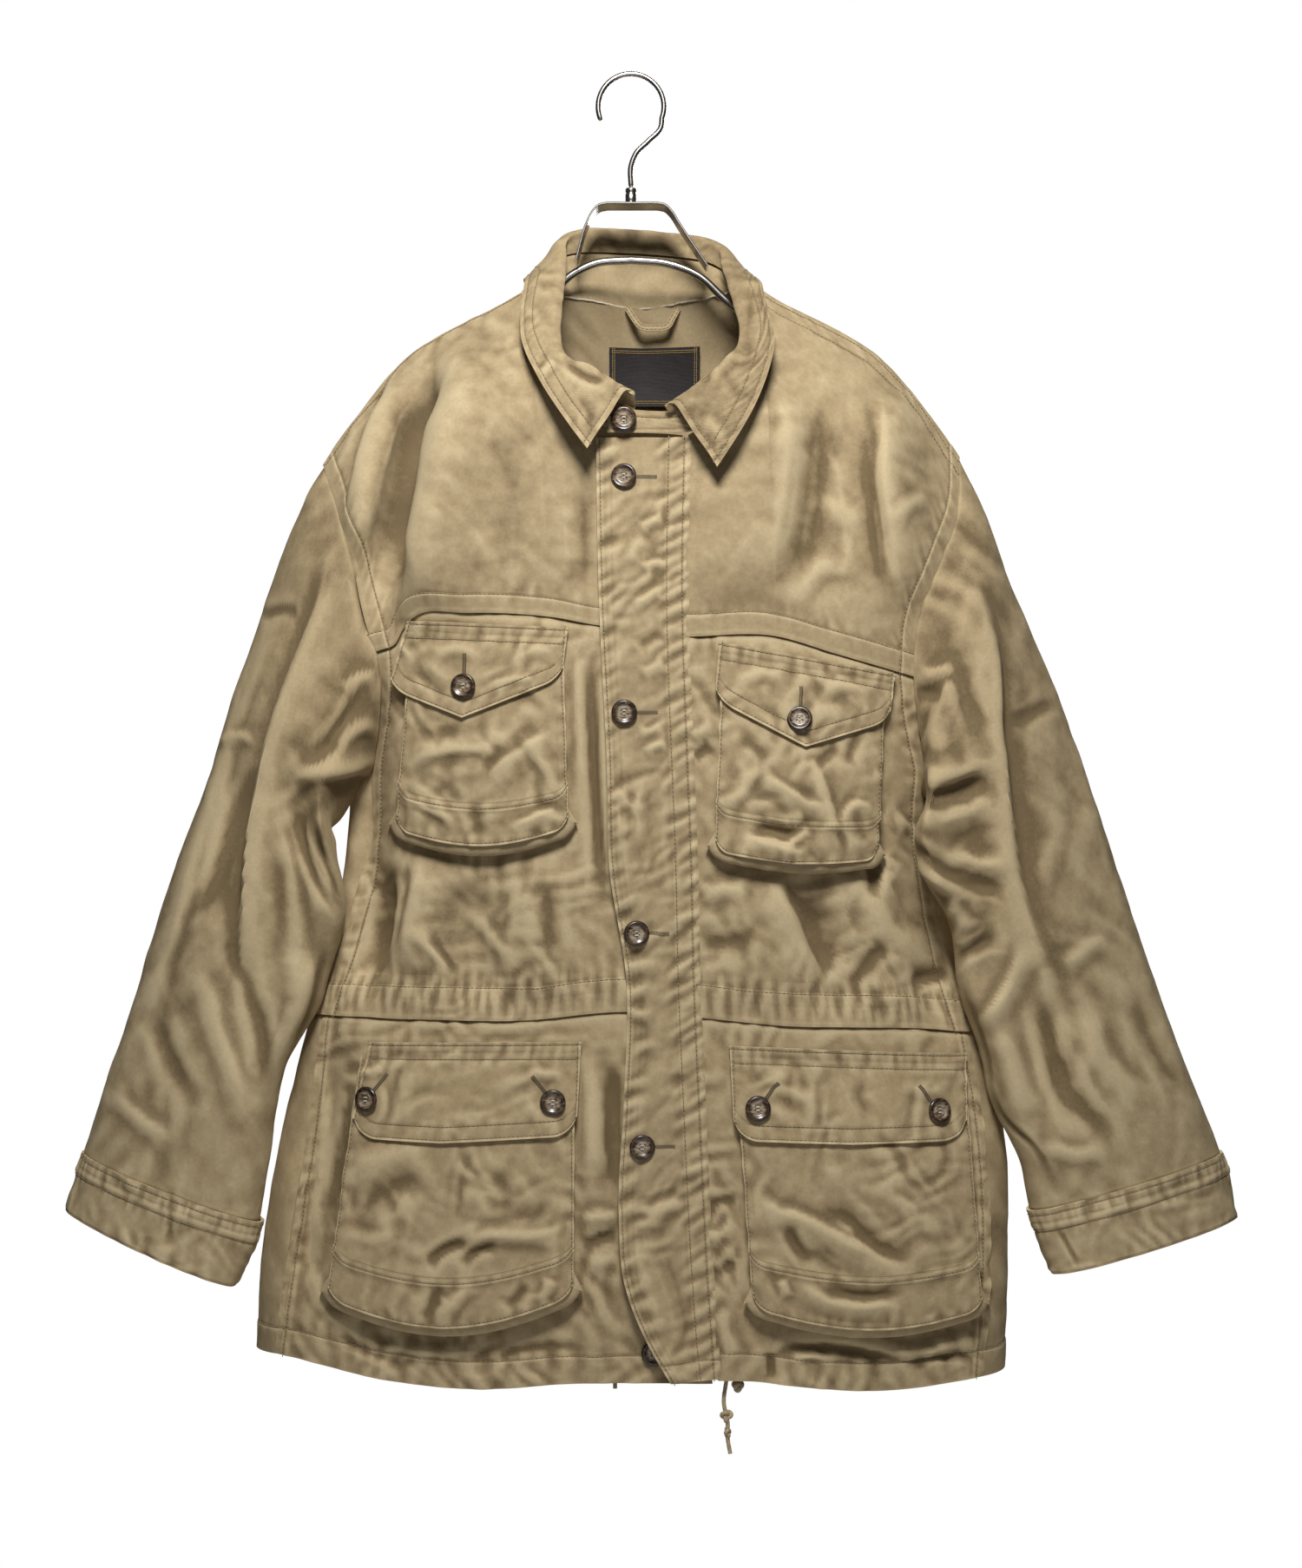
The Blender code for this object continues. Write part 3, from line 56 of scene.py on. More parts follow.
def records(columns, *rows):  # one dictionary a row
    return [dict(zip(columns.split(), row)) for row in rows]


def read(place, value, at):  # the value between a table's rows, on a smooth curve
    slope = np.gradient(value, place)
    at = np.clip(at, place[0], place[-1])
    i = np.clip(np.searchsorted(place, at, side="right") - 1, 0, len(place) - 2)
    step = place[i + 1] - place[i]
    t = (at - place[i]) / step
    start = (1 + 2 * t) * (1 - t) ** 2 * value[i] + t * (1 - t) ** 2 * step * slope[i]
    return start + t**2 * (3 - 2 * t) * value[i + 1] + t**2 * (t - 1) * step * slope[i + 1]


def lengthsOf(path):  # the lengths from point to point
    return np.linalg.norm(np.diff(path, axis=0), axis=1)


def curve(points, t):  # points on a smooth curve, t from 0 to 1
    points = np.array(points, float)
    lengths = lengthsOf(points)
    place = np.concatenate([[0], np.cumsum(lengths)]) / lengths.sum()
    return np.stack([read(place, column, t) for column in points.T], axis=-1)


def shares(count):
    return np.linspace(0, 1, count)


def circle(sides):  # angles all the way round
    return np.linspace(0, 2 * np.pi, sides, endpoint=False)


def ease(t):
    t = np.clip(t, 0, 1)
    return t * t * (3 - 2 * t)


def mix(a, b, t):
    return a + (b - a) * t


def unit(v):
    return v / np.maximum(np.linalg.norm(v, axis=-1, keepdims=True), 1e-12)


def hashed(i, j, k, seed):  # a fixed number from -1 to 1 for each lattice point
    n = (i * 374761393 + j * 668265263 + k * 1440662683 + seed * 1274126177) & 0xFFFFFFFF
    n = ((n ^ (n >> 13)) * 1274126177) & 0xFFFFFFFF
    n = ((n ^ (n >> 15)) * 2246822519) & 0xFFFFFFFF
    return (n ^ (n >> 16)) / 0x7FFFFFFF - 1


noiseRule = {"gain": 1.4, "seedStep": 19}


def noise(p, seed):  # smooth noise, about -1 to 1
    cell = np.floor(p).astype(np.int64)
    f = p - cell
    u = f * f * f * (f * (f * 6 - 15) + 10)
    total = np.zeros(p.shape[:-1])
    for dx in (0, 1):
        for dy in (0, 1):
            for dz in (0, 1):
                spot = [cell[..., a] + d for a, d in enumerate((dx, dy, dz))]
                away = f - np.array((dx, dy, dz))
                slope = sum(hashed(*spot, seed + noiseRule["seedStep"] * a) * away[..., a] for a in range(3))
                weight = np.ones(total.shape)
                for a, d in enumerate((dx, dy, dz)):
                    weight = weight * (u[..., a] if d else 1 - u[..., a])
                total += weight * slope
    return total * noiseRule["gain"]


# The coat's form, as the solids have it.
bodyRings = table(
    "z left right front back",
    (-0.120, -0.262, 0.290, 0.070, 0.060),
    (-0.300, -0.262, 0.290, 0.072, 0.058),
    (-0.420, -0.246, 0.272, 0.080, 0.062),
    (-0.560, -0.226, 0.244, 0.082, 0.066),
    (-0.650, -0.232, 0.250, 0.080, 0.066),
    (-0.750, -0.256, 0.280, 0.078, 0.064),
    (-0.850, -0.281, 0.300, 0.076, 0.064),
    (-0.950, -0.297, 0.303, 0.074, 0.063),
    (-1.060, -0.301, 0.299, 0.072, 0.062),
)
shoulder = {"middle": 0.010, "drop": 0.130, "bend": 1.7, "round": 0.005, "square": 2.5}
shoulderLine = table(
    "out z", (0.000, -0.118), (0.085, -0.166), (0.115, -0.184), (0.142, -0.197), (0.166, -0.210),
    (0.189, -0.225), (0.215, -0.253), (0.236, -0.281), (0.255, -0.309), (0.275, -0.345),
)
placketLine = table(
    "z free seam lift",
    (-0.290, -0.027, 0.045, 0.000),
    (-0.433, -0.024, 0.043, 0.001),
    (-0.555, -0.018, 0.047, 0.003),
    (-0.635, -0.016, 0.050, 0.004),
    (-0.723, -0.003, 0.052, 0.001),
    (-0.817, -0.005, 0.056, 0.001),
    (-0.905, -0.009, 0.060, 0.003),
    (-0.959, -0.004, 0.063, 0.008),
    (-1.002, 0.013, 0.066, 0.012),
    (-1.036, 0.033, 0.068, 0.016),
)
placketFit = {"top": -0.3005, "foot": -1.034, "lap": 0.0034, "lapFade": 0.050, "under": 0.004}
frontFolds = records(
    "x0 z0 x1 z1 left right lift",
    (-0.112, -0.190, -0.172, -0.460, 0.018, 0.050, 0.011),
    (-0.150, -0.230, -0.203, -0.470, 0.016, 0.014, -0.014),
    (-0.180, -0.240, -0.226, -0.400, 0.014, 0.018, 0.008),
    (-0.203, -0.450, -0.208, -0.770, 0.014, 0.013, -0.020),
    (-0.229, -0.760, -0.259, -0.990, 0.012, 0.010, -0.012),
    (0.205, -0.240, 0.214, -0.450, 0.030, 0.025, 0.008),
    (0.226, -0.560, 0.240, -0.780, 0.018, 0.014, -0.010),
    (0.060, -0.320, 0.075, -0.440, 0.020, 0.030, 0.005),
    (-0.060, -0.620, -0.075, -0.745, 0.020, 0.020, 0.006),
    (-0.130, -0.640, -0.110, -0.750, 0.018, 0.018, -0.006),
    (0.140, -0.660, 0.170, -0.760, 0.020, 0.020, -0.006),
    (0.085, -0.600, 0.090, -0.750, 0.018, 0.018, 0.005),
    (-0.030, -0.800, -0.026, -1.050, 0.016, 0.016, 0.006),
    (-0.262, -0.850, -0.285, -1.050, 0.016, 0.016, 0.007),
    (0.288, -0.800, 0.284, -1.050, 0.018, 0.018, 0.006),
)
backFolds = records(
    "x0 z0 x1 z1 left right lift",
    (-0.100, -0.250, -0.135, -0.700, 0.030, 0.030, 0.007),
    (0.110, -0.260, 0.150, -0.690, 0.030, 0.030, 0.007),
    (0.005, -0.450, 0.010, -0.780, 0.030, 0.030, -0.008),
    (-0.170, -0.400, -0.180, -0.740, 0.022, 0.022, -0.008),
    (0.180, -0.400, 0.200, -0.740, 0.022, 0.022, -0.008),
    (-0.080, -0.780, -0.100, -1.060, 0.030, 0.030, 0.008),
    (0.090, -0.780, 0.110, -1.060, 0.030, 0.030, 0.008),
    (0.000, -0.800, 0.005, -1.060, 0.026, 0.026, -0.007),
)
foldEnds = 0.25  # share of a fold's length in which each end dies away
foldIn = 3  # how fast folds come in from the body's edges


def bodyAt(z):
    left, right, front, back = (read(bodyRings["z"], bodyRings[key], z) for key in ("left", "right", "front", "back"))
    return (left + right) / 2, (right - left) / 2, front, back


def ridge(x):
    return read(shoulderLine["out"], shoulderLine["z"], np.abs(x - shoulder["middle"]))


def hang(x, z):  # 0 on the shoulder's ridge, 1 where the cloth hangs straight
    below = np.maximum(ridge(x) - z, 0)
    below = np.sqrt(below * (below + 2 * shoulder["round"]))
    return 1 - (1 - np.clip(below / shoulder["drop"], 0, 1)) ** shoulder["bend"]


def folded(folds, x, z):
    total = np.zeros(np.broadcast(x, z).shape)
    for fold in folds:
        run = np.array((fold["x1"] - fold["x0"], fold["z1"] - fold["z0"]))
        length = np.linalg.norm(run)
        t = ((x - fold["x0"]) * run[0] + (z - fold["z0"]) * run[1]) / length**2
        aside = ((z - fold["z0"]) * run[0] - (x - fold["x0"]) * run[1]) / length
        wide = np.where(aside < 0, fold["left"], fold["right"])
        ends = ease(t / foldEnds) * ease((1 - t) / foldEnds)
        total += fold["lift"] * ends * np.exp(-((aside / wide) ** 2))
    return total


def placketAt(key, z):  # its free edge, its seam or its lift at this height
    return read(placketLine["z"], placketLine[key], z)


def roundShare(x, z):
    middle, half, front, back = bodyAt(z)
    share = (1 - np.clip(np.abs(x - middle) / half, 0, 1) ** shoulder["square"]) ** (1 / shoulder["square"])
    loose = np.minimum(1, foldIn * share) * np.minimum(1, foldIn * hang(x, z))
    return share * hang(x, z), loose, front, back


def frontY(x, z):
    share, loose, deep, _ = roundShare(x, z)
    away = x - placketAt("seam", z)
    over = np.where(away > 0, placketFit["lap"] * (1 - ease(away / placketFit["lapFade"])), 0)
    return -deep * share - (folded(frontFolds, x, z) + over) * loose


def backY(x, z):
    share, loose, _, deep = roundShare(x, z)
    return deep * share + folded(backFolds, x, z) * loose


def onFront(xz, lift=0.0):
    x, z = xz[..., 0], xz[..., 1]
    return np.stack([x, frontY(x, z) - lift, z], axis=-1)


def turnOf(x, z, side):  # the way round the body: 0 at the left edge, over the back, to 1 at the right edge
    middle, half, _, _ = bodyAt(z)
    across = np.clip((x - middle) / half, -1, 1)
    turn = np.arccos(-np.sign(across) * np.abs(across) ** (shoulder["square"] / 2)) / np.pi
    if side > 0:
        return turn
    return -turn if across < 0 else 2 - turn


def onBody(turnZ):
    turn, z = turnZ[..., 0], turnZ[..., 1]
    middle, half, _, _ = bodyAt(z)
    across = -np.cos(np.pi * turn)
    x = middle + half * np.sign(across) * np.abs(across) ** (2 / shoulder["square"])
    return np.stack([x, np.where((turn > 0) & (turn < 1), backY(x, z), frontY(x, z)), z], axis=-1)


def patch(top, foot, start, end, across, down):  # a sheet between four curves that meet at their ends
    u, v = np.meshgrid(across, down)
    u, v = u[..., None], v[..., None]
    upper, lower, first, last = top(across)[None], foot(across)[None], start(down)[:, None], end(down)[:, None]
    corners = (1 - v) * mix(upper[:, :1], upper[:, -1:], u) + v * mix(lower[:, :1], lower[:, -1:], u)
    return mix(upper, lower, v) + mix(first, last, u) - corners


def line(points):
    return lambda t: curve(points, t)


def twoLines(first, second, share):  # one curve with a corner at this share
    def at(t):
        before = curve(first, np.clip(t / share, 0, 1))
        after = curve(second, np.clip((t - share) / (1 - share), 0, 1))
        return np.where((t < share)[:, None], before, after)

    return at


def refine(points, rows, columns):  # a finer sheet through a coarse one's points
    for axis, count in ((0, rows), (1, columns)):
        place = np.arange(points.shape[axis], dtype=float)
        at = np.linspace(0, place[-1], count)
        flat = np.moveaxis(points, axis, 0)
        done = np.stack([read(place, column, at) for column in flat.reshape(len(place), -1).T], axis=-1)
        points = np.moveaxis(done.reshape(count, *flat.shape[1:]), 0, axis)
    return points


def steps(length, coarse, fine=0.0009, first=0.0, last=0.0):  # shares along an edge, finer near its ends
    middle = np.linspace(first, length - last, max(2, int((length - first - last) / coarse) + 1))
    ends = [np.arange(0, first, fine), length - np.arange(0, last, fine)]
    return np.unique(np.round(np.concatenate([middle, *ends]) / length, 7))


# Materials
def linear(code):  # sRGB hex to linear
    values = [int(code[i:i + 2], 16) / 255 for i in (1, 3, 5)]
    return [v / 12.92 if v <= 0.04045 else ((v + 0.055) / 1.055) ** 2.4 for v in values] + [1.0]


def addNode(tree, kind, settings=None, **inputs):
    node = tree.nodes.new(kind)
    for name, value in (settings or {}).items():
        setattr(node, name, value)
    for name, value in inputs.items():
        socket = node.inputs[int(name[1:])] if name[1:].isdigit() else node.inputs[name.replace("_", " ")]
        if isinstance(value, bpy.types.NodeSocket):
            tree.links.new(value, socket)
        else:
            socket.default_value = value
    return node


def newMaterial(name, **surface):
    made = bpy.data.materials.new(name)
    made.use_nodes = True
    shader = made.node_tree.nodes["Principled BSDF"]
    for key, value in surface.items():
        shader.inputs[key.replace("_", " ")].default_value = value
    return made, made.node_tree, shader


def paint(tree, shader, fac, *stops):  # colours a surface by a value
    node = addNode(tree, "ShaderNodeValToRGB", None, Fac=fac)
    row = node.color_ramp.elements
    while len(row) < len(stops):
        row.new(0.5)
    for element, (at, code) in zip(row, stops):
        element.position, element.color = at, linear(code)
    tree.links.new(node.outputs["Color"], shader.inputs["Base Color"])


def emboss(tree, shader, height, strength, distance):
    bump = addNode(tree, "ShaderNodeBump", None, Strength=strength, Distance=distance, Height=height)
    tree.links.new(bump.outputs[0], shader.inputs["Normal"])


def spots(tree, vector, mm, detail, **more):  # a noise texture's spots are about 1 apart at scale 1
    node = addNode(tree, "ShaderNodeTexNoise", None, Vector=vector, Scale=1000 / mm, Detail=detail, **more)
    return node.outputs["Fac"]


def bands(tree, vector, mm, settings=None, **more):  # a wave texture's bands are 0.1 pi apart at scale 1
    node = addNode(tree, "ShaderNodeTexWave", settings, Vector=vector, Scale=math.pi / 10 / (mm / 1000), **more)
    return node.outputs["Fac"]


def reckon(tree, operation, *values):
    inputs = {f"i{k}": value for k, value in enumerate(values)}
    return addNode(tree, "ShaderNodeMath", {"operation": operation}, **inputs).outputs[0]


def attribute(tree, name):
    return addNode(tree, "ShaderNodeAttribute", {"attribute_name": name}).outputs["Fac"]


def clothMap(tree):
    return addNode(tree, "ShaderNodeUVMap", {"uv_map": "cloth"}).outputs["UV"]


def mapped(tree, vector, **change):
    return addNode(tree, "ShaderNodeMapping", None, Vector=vector, **change).outputs[0]


def objectPlace(tree):
    return addNode(tree, "ShaderNodeTexCoord").outputs["Object"]


twillRule = {"wale": 1.0, "slope": 58, "fade": 0.20, "slub": 0.30, "less": 0.25}


def makeTwill(name, dark, middle, light, rule):
    # Washed cotton twill, piece dyed: matt, a little napped, paler where seams rub; painted shade darkens the troughs
    # of its folds and painted highlight lightens their ridges.
    look = {"Roughness": 0.86, "Sheen_Weight": 0.18, "Sheen_Roughness": 0.55, "Sheen_Tint": linear(light)}
    made, tree, shader = newMaterial(name, **look)
    uv, where = clothMap(tree), objectPlace(tree)
    # The colour follows the per-point value of seam rub with painted shade and highlight, plus random fading.
    fadedAndShaded = reckon(tree, "MULTIPLY_ADD", spots(tree, where, mm=38, detail=4.0), rule["fade"], attribute(tree, "rubAndPaintedShade"))
    slubbed = reckon(tree, "MULTIPLY_ADD", spots(tree, where, mm=2.6, detail=3.0), rule["slub"], fadedAndShaded)
    shade = reckon(tree, "SUBTRACT", slubbed, rule["less"])
    paint(tree, shader, shade, (0.0, dark), (0.5, middle), (1.0, light))
    # The real wale is about 0.6 mm, too fine for the picture, so it is drawn a little coarser.
    turned = mapped(tree, uv, Rotation=(0, 0, math.radians(rule["slope"])))
    ribs = bands(tree, turned, rule["wale"], Distortion=0.6, Detail=1.0)
    nap = spots(tree, uv, mm=1.1, detail=2.0)
    emboss(tree, shader, reckon(tree, "ADD", ribs, nap), strength=0.30, distance=0.0004)
    return made


def makeThread(name, code, shade=0.8):
    # Spun polyester sewing thread: fine, round, a soft shine.
    made, tree, shader = newMaterial(name, Roughness=0.6, Sheen_Weight=0.2)
    low = "#" + "".join(f"{int(int(code[i:i + 2], 16) * shade):02x}" for i in (1, 3, 5))
    paint(tree, shader, spots(tree, objectPlace(tree), mm=1.5, detail=2.0), (0.3, low), (0.7, code))
    return made


def makeHorn(name, dishLight=0.28):
    # Turned and polished buffalo horn: a dark brown rim, a paler streaky dish and a clear gloss.
    made, tree, shader = newMaterial(name, Roughness=0.30, IOR=1.55, Coat_Weight=0.15, Coat_Roughness=0.2)
    drawn = mapped(tree, objectPlace(tree), Scale=(1.0, 1.0, 2.6))
    streak = spots(tree, drawn, mm=7, detail=4.0, Distortion=1.2)
    pale = reckon(tree, "MULTIPLY_ADD", attribute(tree, "dish"), dishLight, streak)
    paint(tree, shader, pale, (0.40, "#1c130d"), (0.56, "#402d1f"), (0.72, "#6f5e4a"), (0.88, "#9b8e7a"))
    return made


def makeSteel(name):
    # Drawn and plated mild steel wire and strip: soft grey, fine lines along the draw.
    made, tree, shader = newMaterial(name, Metallic=1.0, Roughness=0.26)
    lines = spots(tree, mapped(tree, objectPlace(tree), Scale=(1.0, 6.0, 1.0)), mm=3, detail=4.0)
    paint(tree, shader, lines, (0.3, "#aca7a0"), (0.7, "#c4bfb8"))
    emboss(tree, shader, lines, strength=0.04, distance=0.0001)
    return made


def makeDamask(name):
    # Damask-woven polyester label: near black, fine ribs.
    made, tree, shader = newMaterial(name, Roughness=0.75, Sheen_Weight=0.04)
    uv = clothMap(tree)
    paint(tree, shader, spots(tree, uv, mm=1.4, detail=2.0), (0.3, "#120d0c"), (0.7, "#211a18"))
    emboss(tree, shader, bands(tree, uv, 0.9, {"bands_direction": "Y"}), strength=0.3, distance=0.0003)
    return made


twill = makeTwill("washed_cotton_twill", "#6a583a", "#a08c69", "#c3b18c", twillRule)
twillThread = makeThread("spun_polyester_thread_khaki", "#93805c")
darkThread = makeThread("spun_polyester_thread_brown", "#6f5e42")
paleThread = makeThread("spun_polyester_thread_straw", "#cfc4a8")
goldThread = makeThread("rayon_thread_gold", "#a98a4a")
horn = makeHorn("polished_buffalo_horn")
steel = makeSteel("plated_drawn_steel")
damask = makeDamask("woven_damask_black")
cordCotton = makeThread("braided_cotton_cord", "#b5a27e")
print("materials made")


def putIn(name, data):  # a new object in the scene
    made = bpy.data.objects.new(name, data)
    bpy.context.scene.collection.objects.link(made)
    return made


def declare(made, slot, *nodes):  # hides the solids that a piece replaces and hangs it on the root body; slot is not used
    if nodes:
        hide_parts(*nodes)
    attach(made, "root")
    return made


# Sheets of cloth
def arcs(p):  # each point's way from the sheet's four edges
    down = np.linalg.norm(np.diff(p, axis=0), axis=-1)
    across = np.linalg.norm(np.diff(p, axis=1), axis=-1)
    top = np.concatenate([np.zeros((1, p.shape[1])), np.cumsum(down, axis=0)])
    start = np.concatenate([np.zeros((p.shape[0], 1)), np.cumsum(across, axis=1)], axis=1)
    return {"top": top, "foot": top[-1:] - top, "start": start, "end": start[:, -1:] - start}


lapRows = 4


def extend(p, edge, lap):  # carries a sheet on past an edge
    axis = 0 if edge in ("top", "foot") else 1
    p = np.moveaxis(p, axis, 0)
    if edge in ("foot", "end"):
        p = p[::-1]
    way = unit(p[0] - p[2])
    more = [p[0] + way * lap * k / lapRows for k in range(lapRows, 0, -1)]
    p = np.concatenate([np.stack(more), p])
    if edge in ("foot", "end"):
        p = p[::-1]
    return np.moveaxis(p, 0, axis)


def normalsOf(p, around, inside):
    if around:
        wrapped = np.concatenate([p[:, -1:], p, p[:, :1]], axis=1)
        across = (wrapped[:, 2:] - wrapped[:, :-2]) / 2
    else:
        across = np.gradient(p, axis=1)
    found = unit(np.cross(across, np.gradient(p, axis=0)))
    return found if ((p - np.array(inside)) * found).sum() > 0 else -found


foldShape = {"reach": 1.6, "fan": 0.8, "crest": 0.12, "foot": 0.25, "ends": 0.35}


# Folds drawn over the photo: x and y in turn along each path and the widths in its pixels, heights
# and leans in millimetres. A fold that wraps goes on round the sleeve, past what the photo shows.
def drawnFolds(*rows):
    return records("path left right lift lean wrap", *rows)


def creased(px, py, rows, seen):
    total, leanX, leanZ = np.zeros(px.shape), np.zeros(px.shape), np.zeros(px.shape)
    crest, foot = foldShape["crest"], foldShape["foot"]
    for row in rows:
        path = np.array(row["path"], float).reshape(-1, 2)
        reach = foldShape["reach"] * (1 + foldShape["fan"]) * max(row["left"], row["right"])
        if px.min() > path[:, 0].max() + reach or px.max() < path[:, 0].min() - reach:
            continue
        if py.min() > path[:, 1].max() + reach or py.max() < path[:, 1].min() - reach:
            continue
        path = curve(path, shares(3 * len(path)))
        lengths = lengthsOf(path)
        best = np.full(px.shape, np.inf)
        side, along, passed = np.zeros(px.shape), np.zeros(px.shape), 0.0
        for a, b, length in zip(path[:-1], path[1:], lengths):
            d = b - a
            t = np.clip(((px - a[0]) * d[0] + (py - a[1]) * d[1]) / length**2, 0, 1)
            dx, dy = px - a[0] - t * d[0], py - a[1] - t * d[1]
            away = np.hypot(dx, dy)
            near = away < best
            best = np.where(near, away, best)
            side = np.where(near, d[0] * dy - d[1] * dx, side)
            along = np.where(near, passed + t * length, along)
            passed += length
        share = along / passed
        ends = ease(share / foldShape["ends"]) * ease((1 - share) / foldShape["ends"])
        fan = 1 + foldShape["fan"] * (1 - ends)
        wide = foldShape["reach"] * np.where(side > 0, row["left"], row["right"]) * fan
        slope = np.maximum(1 - (np.hypot(best / wide, crest) - crest) / (math.hypot(1, crest) - crest), 0)
        shape = ends * slope**2 / (slope + foot) * (1 + foot) * (1 if row.get("wrap") else seen)
        total += row["lift"] * shape
        if row.get("lean"):
            way = (path[-1] - path[0]) / np.linalg.norm(path[-1] - path[0])
            leanX -= row["lean"] * shape * way[1]
            leanZ -= row["lean"] * shape * way[0]
    return total / 1000, leanX / 1000, leanZ / 1000


plainRumple = {
    "seed": 1, "ways": (15, 75, 130), "long": 0.036, "wide": 0.0095, "lift": 0.0011,
    "patch": 1.5, "cover": 0.4, "patchy": 1.1, "patchSeed": 10, "driftSeed": 30,
}


def rumpled(base, rule):  # soft small wrinkles of washed cloth, running one way here and another there
    total, x, z = np.zeros(base.shape[:2]), base[..., 0], base[..., 2]
    long, wide, seed = rule["long"], rule["wide"], rule["seed"]
    for k, way in enumerate(rule["ways"]):
        cos, sin = math.cos(math.radians(way)), math.sin(math.radians(way))
        drift = wide * noise(base / long, seed + rule["driftSeed"] + k)
        aside = (z * cos - x * sin + drift) / wide
        spot = np.stack([(x * cos + z * sin) / long, base[..., 1] / long, aside], axis=-1)
        patches = noise(base / (rule["patch"] * long), seed + rule["patchSeed"] + k)
        total += ease(rule["cover"] + rule["patchy"] * patches) * noise(spot, seed + k)
    return rule["lift"] * total


plainSeam = {
    "lap": 0.0, "rise": 0.0, "wide": 0.006, "soft": 0.0022, "stitch": (), "groove": 0.0004, "pucker": 0.0009,
    "wave": 0.0085, "slant": 0.0, "reach": 0.006, "rub": 0.0, "span": (0, 1),
}
seamShape = {
    "fade": 0.02, "grooveWide": 0.0010, "puckerDeep": 0.03, "patch": 0.05, "cover": 0.75, "patchy": 0.6,
    "rubWide": 0.0013, "patchSeed": 7, "seed": 40,
}


def edgeRelief(dist, edge, rule, seed):  # a seam's raised turnings, its stitch lines and their puckers
    d, level = dist[edge], edge in ("top", "foot")
    along = dist["start"] if level else dist["top"]
    on, fade, patch = 1.0, seamShape["fade"], seamShape["patch"]
    if rule["span"] != (0, 1):
        share = along / along.max(axis=1 if level else 0, keepdims=True)
        on = ease((share - rule["span"][0]) / fade + 1) * ease((rule["span"][1] - share) / fade + 1)
    total = rule["rise"] * ease((rule["wide"] - d) / rule["soft"])
    for inset in rule["stitch"]:
        away = d - inset
        total = total - rule["groove"] * np.exp(-((away / seamShape["grooveWide"]) ** 2))
        spot = [(along + d * rule["slant"]) / rule["wave"], d / seamShape["puckerDeep"], np.zeros_like(d)]
        patches = noise(np.stack([along / patch, d / patch, np.ones_like(d)], axis=-1), seed + seamShape["patchSeed"])
        often = seamShape["cover"] + seamShape["patchy"] * patches
        near = np.exp(-((away / rule["reach"]) ** 2))
        total = total + rule["pucker"] * often * noise(np.stack(spot, axis=-1), seed) * near
    return total * on


def softened(h, rounds, around):
    for _ in range(rounds):
        padded = np.pad(h, 1, mode="edge")
        if around:
            padded[1:-1, 0], padded[1:-1, -1] = h[:, -1], h[:, 0]
        h = (padded[:-2, 1:-1] + padded[2:, 1:-1] + padded[1:-1, :-2] + padded[1:-1, 2:] + h) / 5
    return h


wallRule = {"coarse": 3, "sunk": 3, "sharp": 55}


